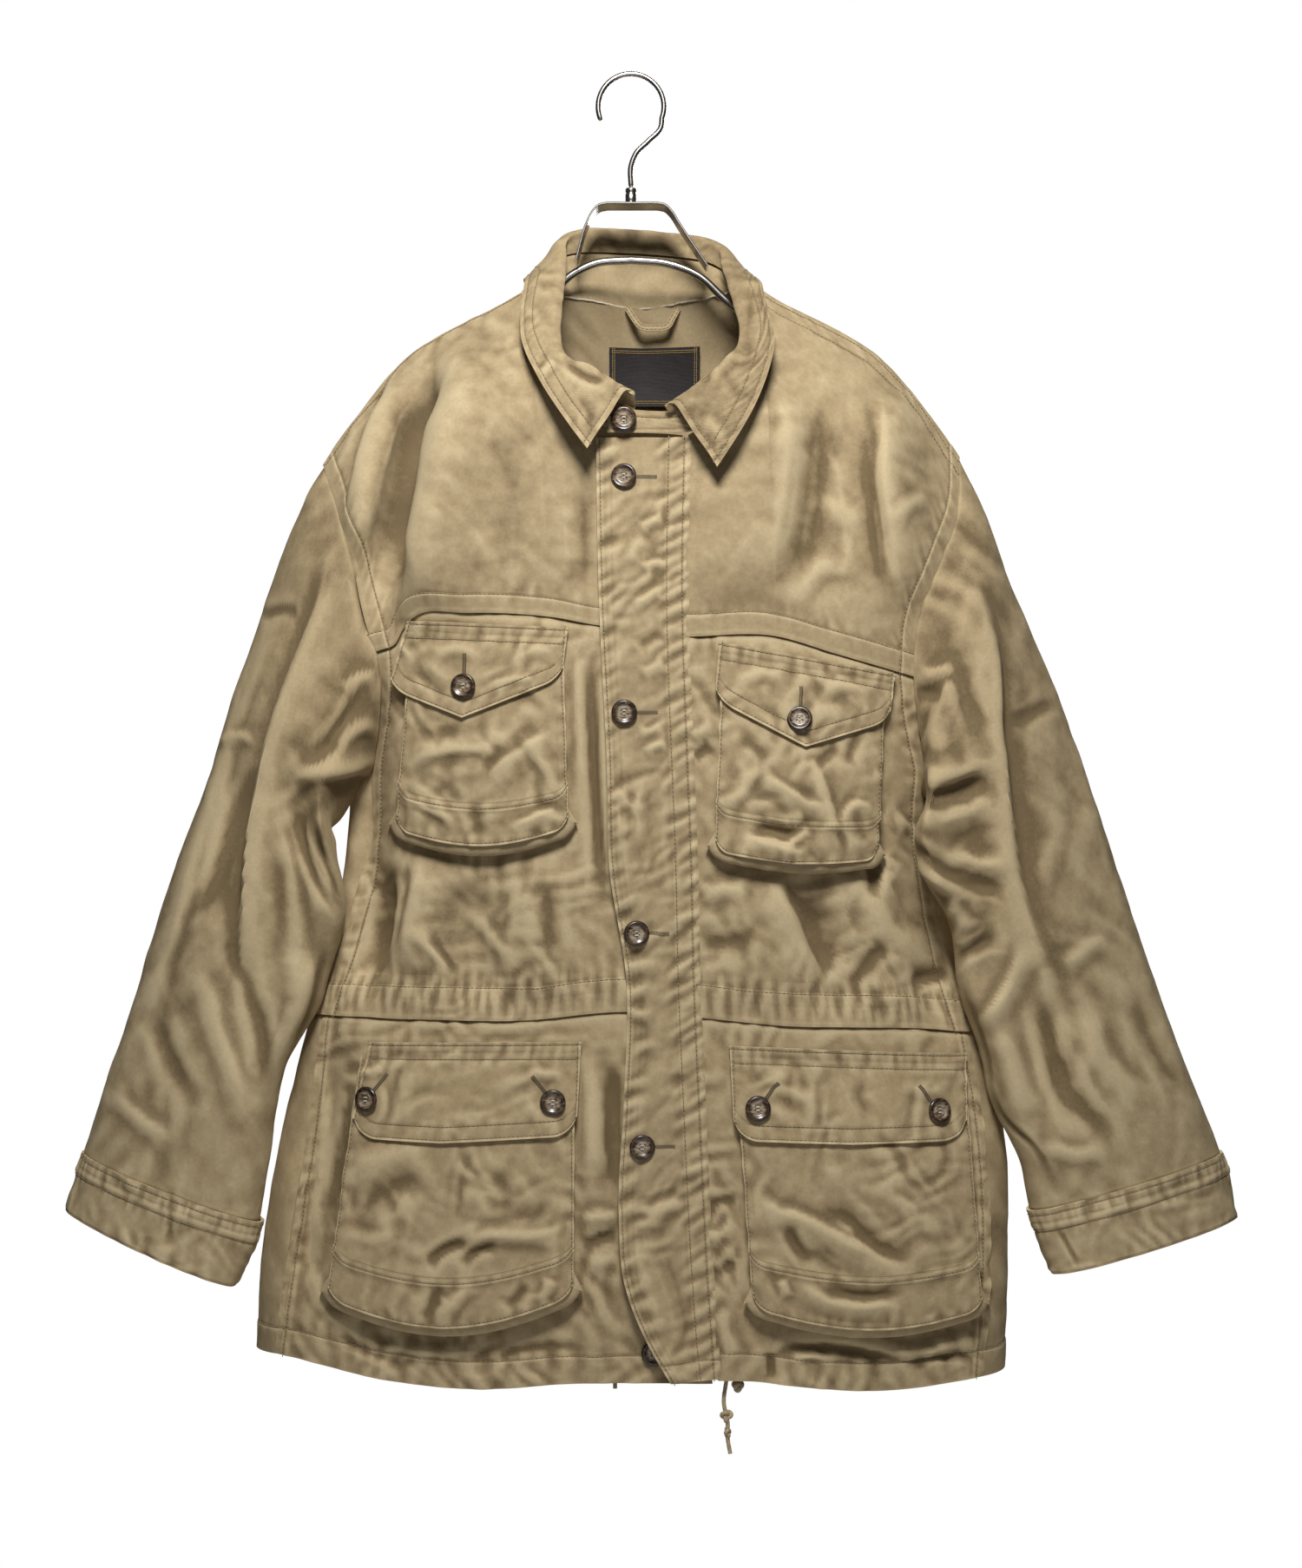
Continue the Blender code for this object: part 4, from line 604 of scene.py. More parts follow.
def shell(name, sheet, thick, material):  # a wall on the sheet, its inner face drawn coarser
    skin, out, deep, around = sheet["skin"], sheet["out"], sheet["deep"], sheet["around"]
    (rows, columns), coarse = skin.shape[:2], wallRule["coarse"]
    rowAt = np.unique(np.append(np.arange(0, rows, coarse), rows - 1))
    columnAt = np.arange(0, columns, coarse)
    if not around:
        columnAt = np.unique(np.append(columnAt, columns - 1))
    sunk = np.zeros((rows, columns))
    for i in range(-coarse, coarse + 1):  # under a fold's foot the inner face keeps clear of the outer one
        for j in range(-coarse, coarse + 1):
            row = np.clip(np.arange(rows) + i, 0, rows - 1)
            column = np.arange(columns) + j
            column = column % columns if around else np.clip(column, 0, columns - 1)
            sunk = np.maximum(sunk, ((skin - skin[row][:, column]) * deep).sum(axis=-1))
    sunk = thick + np.minimum(sunk, wallRule["sunk"] * thick)
    inner = (skin - deep * sunk[..., None])[rowAt][:, columnAt]
    outerId = np.arange(rows * columns).reshape(rows, columns)
    innerId = rows * columns + np.arange(inner.shape[0] * inner.shape[1]).reshape(inner.shape[:2])
    stops = list(columnAt)
    if around:
        outerId = np.concatenate([outerId, outerId[:, :1]], axis=1)
        innerId = np.concatenate([innerId, innerId[:, :1]], axis=1)
        stops.append(columns)
    faces = []
    for ids in (outerId, innerId[:, ::-1]):
        corners = np.stack([ids[:-1, :-1], ids[1:, :-1], ids[1:, 1:], ids[:-1, 1:]], axis=-1)
        faces += corners.reshape(-1, 4).tolist()
    rims = [(outerId[0], innerId[0], stops, False), (outerId[-1], innerId[-1], stops, True)]
    if not around:
        rims += [(outerId[:, k], innerId[:, k], list(rowAt), k == 0) for k in (0, -1)]
    for outer, low, at, flip in rims:
        for j in range(len(at) - 1):
            face = outer[at[j]:at[j + 1] + 1].tolist() + [int(low[j + 1]), int(low[j])]
            faces.append(face[::-1] if flip else face)
    drawn = np.cross(np.gradient(skin, axis=0), np.gradient(skin, axis=1))
    if (drawn * out).sum() < 0:
        faces = [face[::-1] for face in faces]
    points = np.concatenate([skin.reshape(-1, 3), inner.reshape(-1, 3)])
    mesh = bpy.data.meshes.new(name)
    mesh.from_pydata(points.tolist(), [], faces)
    uv = np.stack([sheet["dist"]["start"], sheet["dist"]["top"]], axis=-1)
    uv = np.concatenate([uv.reshape(-1, 2), uv[rowAt][:, columnAt].reshape(-1, 2)])
    # The per-point colour value of seam rub with painted shade and highlight goes on as an attribute.
    rubAndPaintedShade = np.concatenate([sheet["rubAndPaintedShade"].reshape(-1), sheet["rubAndPaintedShade"][rowAt][:, columnAt].reshape(-1)])
    loops = np.zeros(len(mesh.loops), np.int32)
    mesh.loops.foreach_get("vertex_index", loops)
    mesh.uv_layers.new(name="cloth").data.foreach_set("uv", uv[loops].astype(np.float32).reshape(-1))
    mesh.attributes.new("rubAndPaintedShade", "FLOAT", "POINT").data.foreach_set("value", rubAndPaintedShade.astype(np.float32))
    mesh.materials.append(material)
    mesh.shade_smooth()
    mesh.set_sharp_from_angle(angle=math.radians(wallRule["sharp"]))
    return putIn(name, mesh)


bodyInside = (0.0, 0.0, -0.6)
clothThick, doubleThick = 0.0014, 0.0018
grainSeed = 5
grainRows = records("wide lift", (0.016, 0.00030), (0.006, 0.00016))
seenShape = {"from": 0.05, "over": 0.4, "rounds": 12}
rubAndPaintedShadeMiddle = 0.5
# Painted shade and highlight from the relief, on a fine and a broad scale: darker in troughs, lighter on ridges.
reliefShadeRows = records("rounds height low high", (8, 0.0014, -0.24, 0.18), (60, 0.0065, -0.30, 0.14))
calmHeight = 0.0004
sheets = {}


def dress(name, base, look):
    around, inside = look.get("around", False), look.get("inside", bodyInside)
    edges = {edge: {**plainSeam, **rule} for edge, rule in look.get("edges", {}).items()}
    for edge, rule in edges.items():
        if rule["lap"]:
            base = extend(base, edge, rule["lap"])
    dist = arcs(base)
    for edge, rule in edges.items():
        dist[edge] = dist[edge] - rule["lap"]
    out = normalsOf(base, around, inside)
    px, py = pixelOf(base)
    seen = ease((-out[..., 1] - seenShape["from"]) / seenShape["over"])
    if around:
        seen = softened(seen, seenShape["rounds"], around)
    h, leanX, leanZ = creased(px, py, look.get("creases", ()), seen)
    if "rumple" in look:
        h = h + rumpled(base, {**plainRumple, **look["rumple"]})
    for k, grain in enumerate(grainRows):
        h = h + grain["lift"] * noise(base / grain["wide"], grainSeed + k)
    if "calm" in look:  # the cloth lies flat under what is sewn on it
        free = 1 - look["calm"](base)
        h = np.minimum(h, calmHeight) * (1 - free) + h * free
        leanX, leanZ = leanX * free, leanZ * free
    for i, (edge, rule) in enumerate(edges.items()):
        h = h + edgeRelief(dist, edge, rule, grainSeed + seamShape["seed"] + i)
    # Painted shade and highlight: the colour value drops in the troughs of the relief and rises on its ridges, partly
    # the fading of washed twill, mostly standing in for the shade of the folds. Seam edges then get paler where they
    # really rub.
    rubAndPaintedShade = rubAndPaintedShadeMiddle
    for row in reliefShadeRows:
        rubAndPaintedShade = rubAndPaintedShade + np.clip((h - softened(h, row["rounds"], around)) / row["height"], row["low"], row["high"])
    for edge, rule in edges.items():
        rubAndPaintedShade = rubAndPaintedShade + rule["rub"] * np.exp(-((dist[edge] / seamShape["rubWide"]) ** 2))
    lean = np.stack([leanX, np.zeros_like(leanX), leanZ], axis=-1)
    # A piece's paintedLight value is added on: painted light above nought, painted shade below.
    sheet = {
        "skin": base + out * h[..., None] + lean, "deep": out, "dist": dist, "around": around,
        "rubAndPaintedShade": np.clip(rubAndPaintedShade + look.get("paintedLight", 0.0), 0, 1),
    }
    sheet["out"] = normalsOf(sheet["skin"], around, inside)
    made = shell(f"{name}_cloth", sheet, look.get("thick", clothThick), look.get("material", twill))
    declare(made, look.get("slot", "twill"), *look.get("stands", [name]))
    sheets[name] = sheet


def lineAt(sheet, edge, inset, low=0.0, high=1.0, proud=0.00025):  # a line on a sheet, this far in from an edge
    dist, points = sheet["dist"][edge], sheet["skin"] + sheet["out"] * proud
    if edge in ("top", "foot"):
        dist, points = dist.T, points.transpose(1, 0, 2)
    if edge in ("foot", "end"):
        dist, points = dist[:, ::-1], points[:, ::-1]
    found = [[np.interp(inset, row, spot[:, a]) for a in range(3)] for row, spot in zip(dist, points)]
    found = np.array(found)
    if sheet["around"] and edge in ("top", "foot"):
        found = np.concatenate([found, found[:1]])
    return found[int(low * (len(found) - 1)):int(high * (len(found) - 1)) + 1]


def spotOn(sheet, x, z):  # the sheet's point nearest this place as seen from the front
    away = np.hypot(sheet["skin"][..., 0] - x, sheet["skin"][..., 2] - z) + 0.5 * (sheet["out"][..., 1] > 0)
    at = np.unravel_index(away.argmin(), away.shape)
    return sheet["skin"][at], sheet["out"][at]


# Camera and light
def lookAt(thing, target):
    way = np.array(thing.location) - np.array(target)
    thing.rotation_euler = (math.atan2(math.hypot(way[0], way[1]), way[2]), 0, math.atan2(way[0], -way[1]))


studio = {
    "lens": 74.12, "sensor": 36.0, "aim": (0.0, 0.0, -0.55), "world": 0.03,
    "floor": -1.72, "floorReach": 1.25, "floorSides": 64,
    "lamps": records(
        "name place size power", ("key", (0.0, -1.20, 0.72), 0.5, 40), ("fill", (0.2, -2.2, -1.1), 1.2, 4.6),
        ("rim", (0.3, 2.0, 0.5), 1.2, 40),
    ),
}
camera = putIn("camera", bpy.data.cameras.new("camera"))
camera.data.sensor_fit, camera.data.sensor_width, camera.data.lens = "HORIZONTAL", studio["sensor"], studio["lens"]
camera.location, camera.rotation_euler = photo["eye"], (math.pi / 2, 0, 0)
bpy.context.scene.camera = camera
bpy.context.scene.view_settings.view_transform = "Standard"
for lamp in studio["lamps"]:
    data = bpy.data.lights.new(lamp["name"], "AREA")
    data.shape, data.size, data.energy = "DISK", lamp["size"], lamp["power"]
    made = putIn(lamp["name"], data)
    made.location = lamp["place"]
    lookAt(made, studio["aim"])
world = bpy.data.worlds.new("studio")
bpy.context.scene.world = world
world.use_nodes = True
glow = world.node_tree.nodes["Background"]
glow.inputs["Color"].default_value = (1, 1, 1, 1)
seen = addNode(world.node_tree, "ShaderNodeLightPath").outputs["Is Camera Ray"]
level = addNode(world.node_tree, "ShaderNodeMapRange", None, Value=seen, To_Min=studio["world"], To_Max=1.0)
world.node_tree.links.new(level.outputs[0], glow.inputs["Strength"])
floorMesh = bpy.data.meshes.new("floor")
ring = [(studio["floorReach"] * math.cos(a), studio["floorReach"] * math.sin(a), studio["floor"])
        for a in circle(studio["floorSides"])]
floorMesh.from_pydata(ring, [], [list(range(studio["floorSides"]))])
floorMesh.materials.append(newMaterial("painted_floor", Base_Color=linear("#eeece8"), Roughness=0.8)[0])
floor = putIn("floor", floorMesh)
print("camera and light set")


# What lies over the fronts, where their own folds stay down
pockets = records(
    "name left_top left_foot right_top right_foot top_left top_right seam_left seam_right foot_left foot_right"
    " sag deep",
    ("chest_left", -0.171, -0.183, -0.052, -0.048, -0.454, -0.458, -0.577, -0.577, -0.606, -0.604, 0.013, 0.012),
    ("chest_right", 0.071, 0.066, 0.200, 0.193, -0.474, -0.496, -0.590, -0.604, -0.622, -0.629, 0.006, 0.016),
    ("hip_left", -0.212, -0.236, -0.043, -0.044, -0.784, -0.782, -0.939, -0.941, -0.972, -0.966, 0.022, 0.018),
    ("hip_right", 0.081, 0.095, 0.263, 0.276, -0.786, -0.794, -0.939, -0.950, -0.976, -0.983, 0.014, 0.018),
)
flaps = records(
    "name left_top right_top left_foot right_foot top_left top_right foot_left foot_right tip tip_at corner",
    ("chest_left", -0.174, -0.048, -0.187, -0.052, -0.443, -0.449, -0.496, -0.488, 0.026, 0.42, 0.011),
    ("chest_right", 0.069, 0.207, 0.066, 0.203, -0.460, -0.484, -0.505, -0.521, 0.028, 0.51, 0.011),
    ("hip_left", -0.204, -0.038, -0.217, -0.041, -0.772, -0.770, -0.846, -0.842, 0.004, 0.40, 0.020),
    ("hip_right", 0.077, 0.265, 0.080, 0.264, -0.773, -0.782, -0.846, -0.849, 0.002, 0.50, 0.020),
)
pocketFit = {
    "lift": 0.0022, "rim": 0.6, "low": 0.75, "high": 0.8, "flap": 0.0029, "corner": 0.22, "bagCorner": 0.012,
    "bagShare": 0.16, "cornerLimit": 0.97, "middle": (0.5, 0.6), "gussetFrom": 0.30, "gussetLow": 0.95,
    "gussetGap": 0.0002, "gussetOff": 0.0004,
}
# The bellows fold in at the sides and bulge out under the bag.
gussetRows = records(
    "share side low", (0.0, 0.0015, -0.003), (0.2, 0.003, -0.0065), (0.5, 0.004, -0.008), (0.85, 0.003, -0.006),
    (1.0, 0.0015, 0.0015),
)
coverFit = {
    "freeOut": 0.004, "freeSoft": 0.006, "seamSoft": 0.004, "sideOut": 0.008, "sideSoft": 0.010, "topOut": 0.004,
    "topSoft": 0.008, "footOut": 0.012, "footLow": 0.006, "footSoft": 0.010,
}


def underCover(p):  # 1 under a pocket, a flap or the placket, else 0
    x, z, fit = p[..., 0], p[..., 2], coverFit
    on = ease((x - placketAt("free", z) + fit["freeOut"]) / fit["freeSoft"])
    on = on * ease((placketAt("seam", z) - x) / fit["seamSoft"])
    for pocket, flap in zip(pockets, flaps):
        left = min(pocket["left_top"], pocket["left_foot"], flap["left_foot"])
        right = max(pocket["right_top"], pocket["right_foot"], flap["right_top"])
        top = max(flap["top_left"], flap["top_right"])
        foot = min(pocket["foot_left"], pocket["foot_right"]) - fit["footOut"]
        across = ease((x - left + fit["sideOut"]) / fit["sideSoft"])
        across = across * ease((right + fit["sideOut"] - x) / fit["sideSoft"])
        down = ease((top + fit["topOut"] - z) / fit["topSoft"])
        on = np.maximum(on, across * down * ease((z - foot + fit["footLow"]) / fit["footSoft"]))
    return on


bodyCreases = drawnFolds(
    # left yoke
    ((540, 372, 523, 440, 508, 505, 499, 560, 489, 612, 478, 660, 470, 705, 462, 745), 12, 60, 12, 3),
    ((508, 420, 486, 490, 470, 560, 459, 630, 450, 700), 34, 14, -19),
    ((470, 405, 448, 445, 430, 490, 415, 545, 403, 590, 396, 622), 5, 12, 5, 2.5),
    ((452, 425, 430, 470, 412, 520, 398, 570), 9, 6, -5),
    ((600, 440, 628, 530, 644, 620, 647, 690), 30, 16, 3),
    ((668, 540, 673, 620, 672, 700), 14, 12, -3.4),
    ((535, 600, 566, 640, 600, 680), 14, 18, 1.4),
    # right yoke
    ((898, 420, 903, 490, 898, 560, 886, 630, 868, 705), 60, 22, 8, -2),
    ((944, 430, 952, 520, 944, 600, 926, 700), 22, 40, -9),
    ((1012, 430, 1021, 500, 1019, 550, 1026, 600, 1036, 667, 1040, 705), 8, 30, 6, 1.5),
    ((996, 470, 1000, 560, 1008, 640, 1018, 705), 20, 9, -6),
    ((905, 708, 936, 662, 972, 634), 12, 18, 2.4),
    ((1022, 610, 1050, 580, 1078, 572), 8, 10, 1.8),
    ((940, 560, 972, 590, 1004, 600), 12, 14, 1.8),
    # left middle
    ((493, 978, 478, 1046, 464, 1127), 9, 30, 8, 3),
    ((452, 985, 441, 1060, 430, 1140), 12, 10, -9),
    ((479, 1073, 500, 1095, 519, 1122), 5, 7, 2.8),
    ((493, 1076, 513, 1103, 530, 1126), 5, 5, -2.8),
    ((535, 1040, 566, 1080, 598, 1122), 6, 8, 2),
    ((622, 995, 632, 1060, 628, 1124), 14, 14, -2.8),
    ((580, 995, 600, 1050, 598, 1110), 20, 20, 2.4),
    ((663, 730, 668, 830, 670, 900, 673, 950), 6, 8, 3.4),
    ((680, 750, 684, 850, 688, 930, 692, 1000, 698, 1065), 8, 6, -6),
    # right middle
    ((876, 1000, 909, 1060, 930, 1114, 948, 1142), 40, 9, 6, -2),
    ((906, 1012, 932, 1060, 948, 1100, 968, 1132), 10, 28, -7),
    ((944, 1024, 990, 1026, 1022, 1075, 1084, 1119), 18, 20, 5),
    ((966, 1150, 1000, 1112, 1034, 1074), 9, 10, -3.4),
    ((1046, 1131, 1070, 1126, 1096, 1118), 9, 13, -5),
    ((806, 1038, 834, 1026, 866, 1030), 9, 11, 2.8),
    ((806, 1096, 836, 1086, 872, 1090), 11, 11, -3.2),
    ((1018, 936, 1034, 946, 1046, 962), 6, 7, 3.4),
    ((1012, 955, 1006, 1000, 1004, 1045), 10, 10, -4.4),
    ((1030, 985, 1022, 1010, 1018, 1036), 6, 7, 3.2),
    ((798, 853, 810, 843, 824, 834), 6, 7, 2.2),
    ((798, 875, 810, 866, 822, 858), 6, 6, -2.2),
    # left skirt
    ((398, 1205, 380, 1300, 366, 1400, 356, 1490), 10, 14, 4, 2),
    ((408, 1225, 392, 1320, 374, 1420), 8, 7, -5),
    ((705, 1210, 710, 1300, 712, 1390), 14, 9, -6),
    ((664, 1408, 690, 1397, 714, 1405), 16, 5, 5, 2),
    ((668, 1438, 690, 1428, 714, 1418), 8, 7, -3.2),
    ((672, 1462, 700, 1452, 720, 1448), 7, 8, 2.6),
    ((684, 1215, 680, 1290, 684, 1370), 12, 12, 3),
    ((352, 1440, 372, 1500, 420, 1545), 10, 12, 2.6),
    ((440, 1552, 500, 1560, 560, 1556), 7, 8, 2.4),
    ((560, 1568, 620, 1552, 690, 1556), 8, 8, -2.2),
    ((380, 1535, 420, 1556, 470, 1576), 6, 7, -2.4),
    # right skirt
    ((812, 1392, 832, 1384, 852, 1386), 7, 7, -3.6),
    ((814, 1434, 832, 1422, 852, 1410), 7, 8, 3.2),
    ((818, 1478, 834, 1462, 850, 1450), 7, 8, -3),
    ((886, 1546, 946, 1538, 1010, 1548, 1046, 1559, 1100, 1548, 1158, 1535), 7, 8, 4, 1),
    ((892, 1556, 950, 1552, 1030, 1568), 6, 6, -3.4),
    ((905, 1567, 935, 1562, 966, 1571), 5, 6, 2.8),
    ((1040, 1572, 1085, 1562, 1140, 1566), 6, 6, -2.8),
    ((888, 1556, 889, 1572, 890, 1590), 5, 5, -3.6),
    ((826, 1500, 836, 1540, 850, 1575), 8, 10, 2.6),
    ((1140, 1220, 1146, 1300, 1150, 1400), 8, 9, -3.4),
    ((1126, 1300, 1142, 1292, 1158, 1296), 6, 7, 2.4),
    ((1138, 1470, 1150, 1490, 1160, 1480), 7, 8, 2.8),
)


# Fronts, each a yoke, a middle panel and a skirt
frontCut = {
    "left": {
        "shift": -placketFit["under"], "tip": -0.246, "pit": (-0.204, -0.560), "yokeZ": -0.447, "waistZ": -0.745,
        "footZ": -1.037, "yokeStitch": (0.0118,), "shoulderStitch": (0.004,),
        "neck": ((-0.084, -0.171), (-0.081, -0.200), (-0.075, -0.235), (-0.060, -0.264), (-0.035, -0.287)),
        "yoke": ((-0.026, -0.444), (-0.058, -0.438), (-0.126, -0.434), (-0.166, -0.4355), (-0.178, -0.446),
                 (-0.186, -0.4585), (-0.1985, -0.4625)),
        "waist": ((-0.010, -0.744), (-0.086, -0.751), (-0.153, -0.751), (-0.2415, -0.750)),
        "hem": ((-0.047, -1.037), (-0.120, -1.042), (-0.194, -1.036), (-0.257, -1.024), (-0.278, -1.020)),
        "armhole": ((-0.231, -0.350), (-0.216, -0.400), (-0.206, -0.442), (-0.1985, -0.4625), (-0.195, -0.490),
                    (-0.197, -0.525)),
        "side": ((-0.204, -0.601), (-0.219, -0.668), (-0.2415, -0.750), (-0.253, -0.844), (-0.275, -0.994)),
        "behind": ((-0.226, -0.355), (-0.214, -0.415), (-0.216, -0.465)),
    },
    "right": {
        "shift": 0.0003, "tip": 0.262, "pit": (0.232, -0.561), "yokeZ": -0.453, "waistZ": -0.748, "footZ": -1.034,
        "yokeStitch": (0.0145,), "shoulderStitch": (0.008, 0.021),
        "neck": ((0.098, -0.168), (0.095, -0.200), (0.090, -0.235), (0.079, -0.266), (0.064, -0.287)),
        "yoke": ((0.111, -0.452), (0.158, -0.465), (0.2205, -0.482)),
        "waist": ((0.118, -0.755), (0.226, -0.759), (0.2640, -0.763)),
        "hem": ((0.091, -1.035), (0.138, -1.041), (0.195, -1.045), (0.237, -1.043), (0.2765, -1.039)),
        "armhole": ((0.259, -0.350), (0.241, -0.395), (0.224, -0.440), (0.2205, -0.482), (0.224, -0.520)),
        "side": ((0.230, -0.601), (0.240, -0.668), (0.2640, -0.763), (0.277, -0.844), (0.280, -0.994)),
        "behind": ((0.254, -0.355), (0.241, -0.415), (0.241, -0.465)),
    },
}
frontShape = {
    "neckZ": -0.2985, "neckShare": 0.40, "pitShare": 0.35, "grain": 0.0026, "neckRun": 0.20, "shoulderRun": 0.24,
    "yokeRun": 0.26, "middleRun": 0.30, "skirtRun": 0.29, "wide": {"left": 0.30, "right": 0.22}, "shoulderPoints": 8,
}
stitchIn = {"armhole": 0.0105, "waist": 0.0225, "hem": 0.0215, "side": 0.004}
armholeSeam = {
    "lap": 0.003, "rise": 0.0009, "wide": 0.011, "stitch": (stitchIn["armhole"],), "reach": 0.009, "rub": 0.08,
}
waistSeam = {
    "lap": 0.003, "rise": 0.0010, "wide": 0.024, "stitch": (0.013, stitchIn["waist"]), "groove": 0.0001,
    "pucker": 0.0020, "wave": 0.0065, "reach": 0.012,
}
tuckedEdge = {"lap": 0.006, "rise": -0.0016, "wide": 0.007, "soft": 0.006}
hemEdge = {"wide": 0.0225, "stitch": (stitchIn["hem"],)}


def seamEnd(z, shift):
    return (float(placketAt("seam", z)) + shift, z)


def tipOf(x):
    return (x, float(ridge(x)))


def frontEdge(top, foot, shift):
    def at(t):
        z = mix(top, foot, t)
        return np.stack([placketAt("seam", z) + shift, z], axis=-1)

    return at


def makeFront(side, cut):
    shift, grain, wide = cut["shift"], frontShape["grain"], frontShape["wide"][side]
    neckZ, neckShare = frontShape["neckZ"], frontShape["neckShare"]
    neckLine = (seamEnd(neckZ, shift), *cut["neck"][::-1])
    shoulderX = np.linspace(cut["neck"][0][0], cut["tip"], frontShape["shoulderPoints"])
    shoulderEdge = tuple(zip(shoulderX, ridge(shoulderX)))
    yokeLine, waistLine, hemLine = ((seamEnd(cut[f"{key}Z"], shift), *cut[name])
                                    for key, name in (("yoke", "yoke"), ("waist", "waist"), ("foot", "hem")))
    atYoke, atWaist = cut["armhole"].index(cut["yoke"][-1]), cut["side"].index(cut["waist"][-1])

    def lay(piece, sheet, rumple, edges):
        dress(f"{piece}_{side}", onFront(sheet), {
            "creases": bodyCreases, "calm": underCover, "rumple": rumple, "edges": edges,
        })

    shoulderAt = steps(frontShape["shoulderRun"], grain, last=0.018)[1:]
    across = [neckShare * steps(frontShape["neckRun"], grain), neckShare + (1 - neckShare) * shoulderAt]
    yoke = patch(
        twoLines(neckLine, shoulderEdge, neckShare), line(yokeLine), frontEdge(neckZ, cut["yokeZ"], shift),
        line((tipOf(cut["tip"]), *cut["armhole"][:atYoke + 1])),
        np.concatenate(across), steps(frontShape["yokeRun"], grain, first=0.012, last=0.017),
    )
    yokeFoot = {"lap": 0.003, "rise": 0.0009, "wide": cut["yokeStitch"][-1] + 0.001, "stitch": cut["yokeStitch"],
                "pucker": 0.0010, "reach": 0.009, "rub": 0.15}
    lay("yoke", yoke, {"seed": 11, "long": 0.048, "wide": 0.014, "lift": 0.0007}, {
        "foot": yokeFoot, "end": armholeSeam,
        "top": {"span": (neckShare, 1), "stitch": cut["shoulderStitch"], "pucker": 0.0006},
    })
    lowerArm, upperSide = (*cut["armhole"][atYoke:], cut["pit"]), (cut["pit"], *cut["side"][:atWaist + 1])
    middle = patch(
        line(yokeLine), line(waistLine), frontEdge(cut["yokeZ"], cut["waistZ"], shift),
        twoLines(lowerArm, upperSide, frontShape["pitShare"]),
        steps(wide, grain, last=0.014), steps(frontShape["middleRun"], grain, first=0.004, last=0.030),
    )
    lay("front", middle, {"seed": 12}, {"top": tuckedEdge, "end": armholeSeam, "foot": {**waistSeam, "rub": 0.12}})
    skirt = patch(
        line(waistLine), line(hemLine), frontEdge(cut["waistZ"], cut["footZ"], shift),
        line((*cut["side"][atWaist:], cut["hem"][-1])),
        steps(wide, grain, last=0.006), steps(frontShape["skirtRun"], grain, first=0.004, last=0.026),
    )
    lay("skirt", skirt, {"seed": 13, "lift": 0.0018}, {
        "top": tuckedEdge,
        "end": {"lap": 0.003, "rise": 0.0006, "wide": 0.009, "stitch": (stitchIn["side"],), "reach": 0.010},
        "foot": {**hemEdge, "rise": 0.0006, "pucker": 0.0016, "wave": 0.011, "reach": 0.016, "rub": 0.08},
    })


for side, cut in frontCut.items():
    makeFront(side, cut)
print("fronts dressed")


# The back and its skirt
backCut = {
    "waist": -0.752, "hem": -1.026, "shoulderShare": 0.36, "holeShare": 0.62, "holeRise": 0.042, "atWaist": 2,
    "grain": 0.0046, "shoulderRun": 0.22, "neckRun": 0.18, "upperRun": 0.58, "lowRun": 0.28, "hemRun": 0.70,
    "shoulderPoints": 7, "sidePoints": 25, "neck": ((-0.045, -0.174), (0.006, -0.179), (0.057, -0.174)),
}


def turned(x, z, side):
    return (float(turnOf(x, z, side)), z)


def turnedSide(points):
    return [turned(x, z, -1) for x, z in curve(points, shares(backCut["sidePoints"]))]


def backArmhole(cut):
    edge = 0.0 if cut["tip"] < 0 else 1.0
    hole = [turned(*tipOf(cut["tip"]), 1), *(turned(x, z, 1) for x, z in cut["behind"])]
    return (*hole, (edge, cut["pit"][1] + backCut["holeRise"]), turned(*cut["pit"], -1))


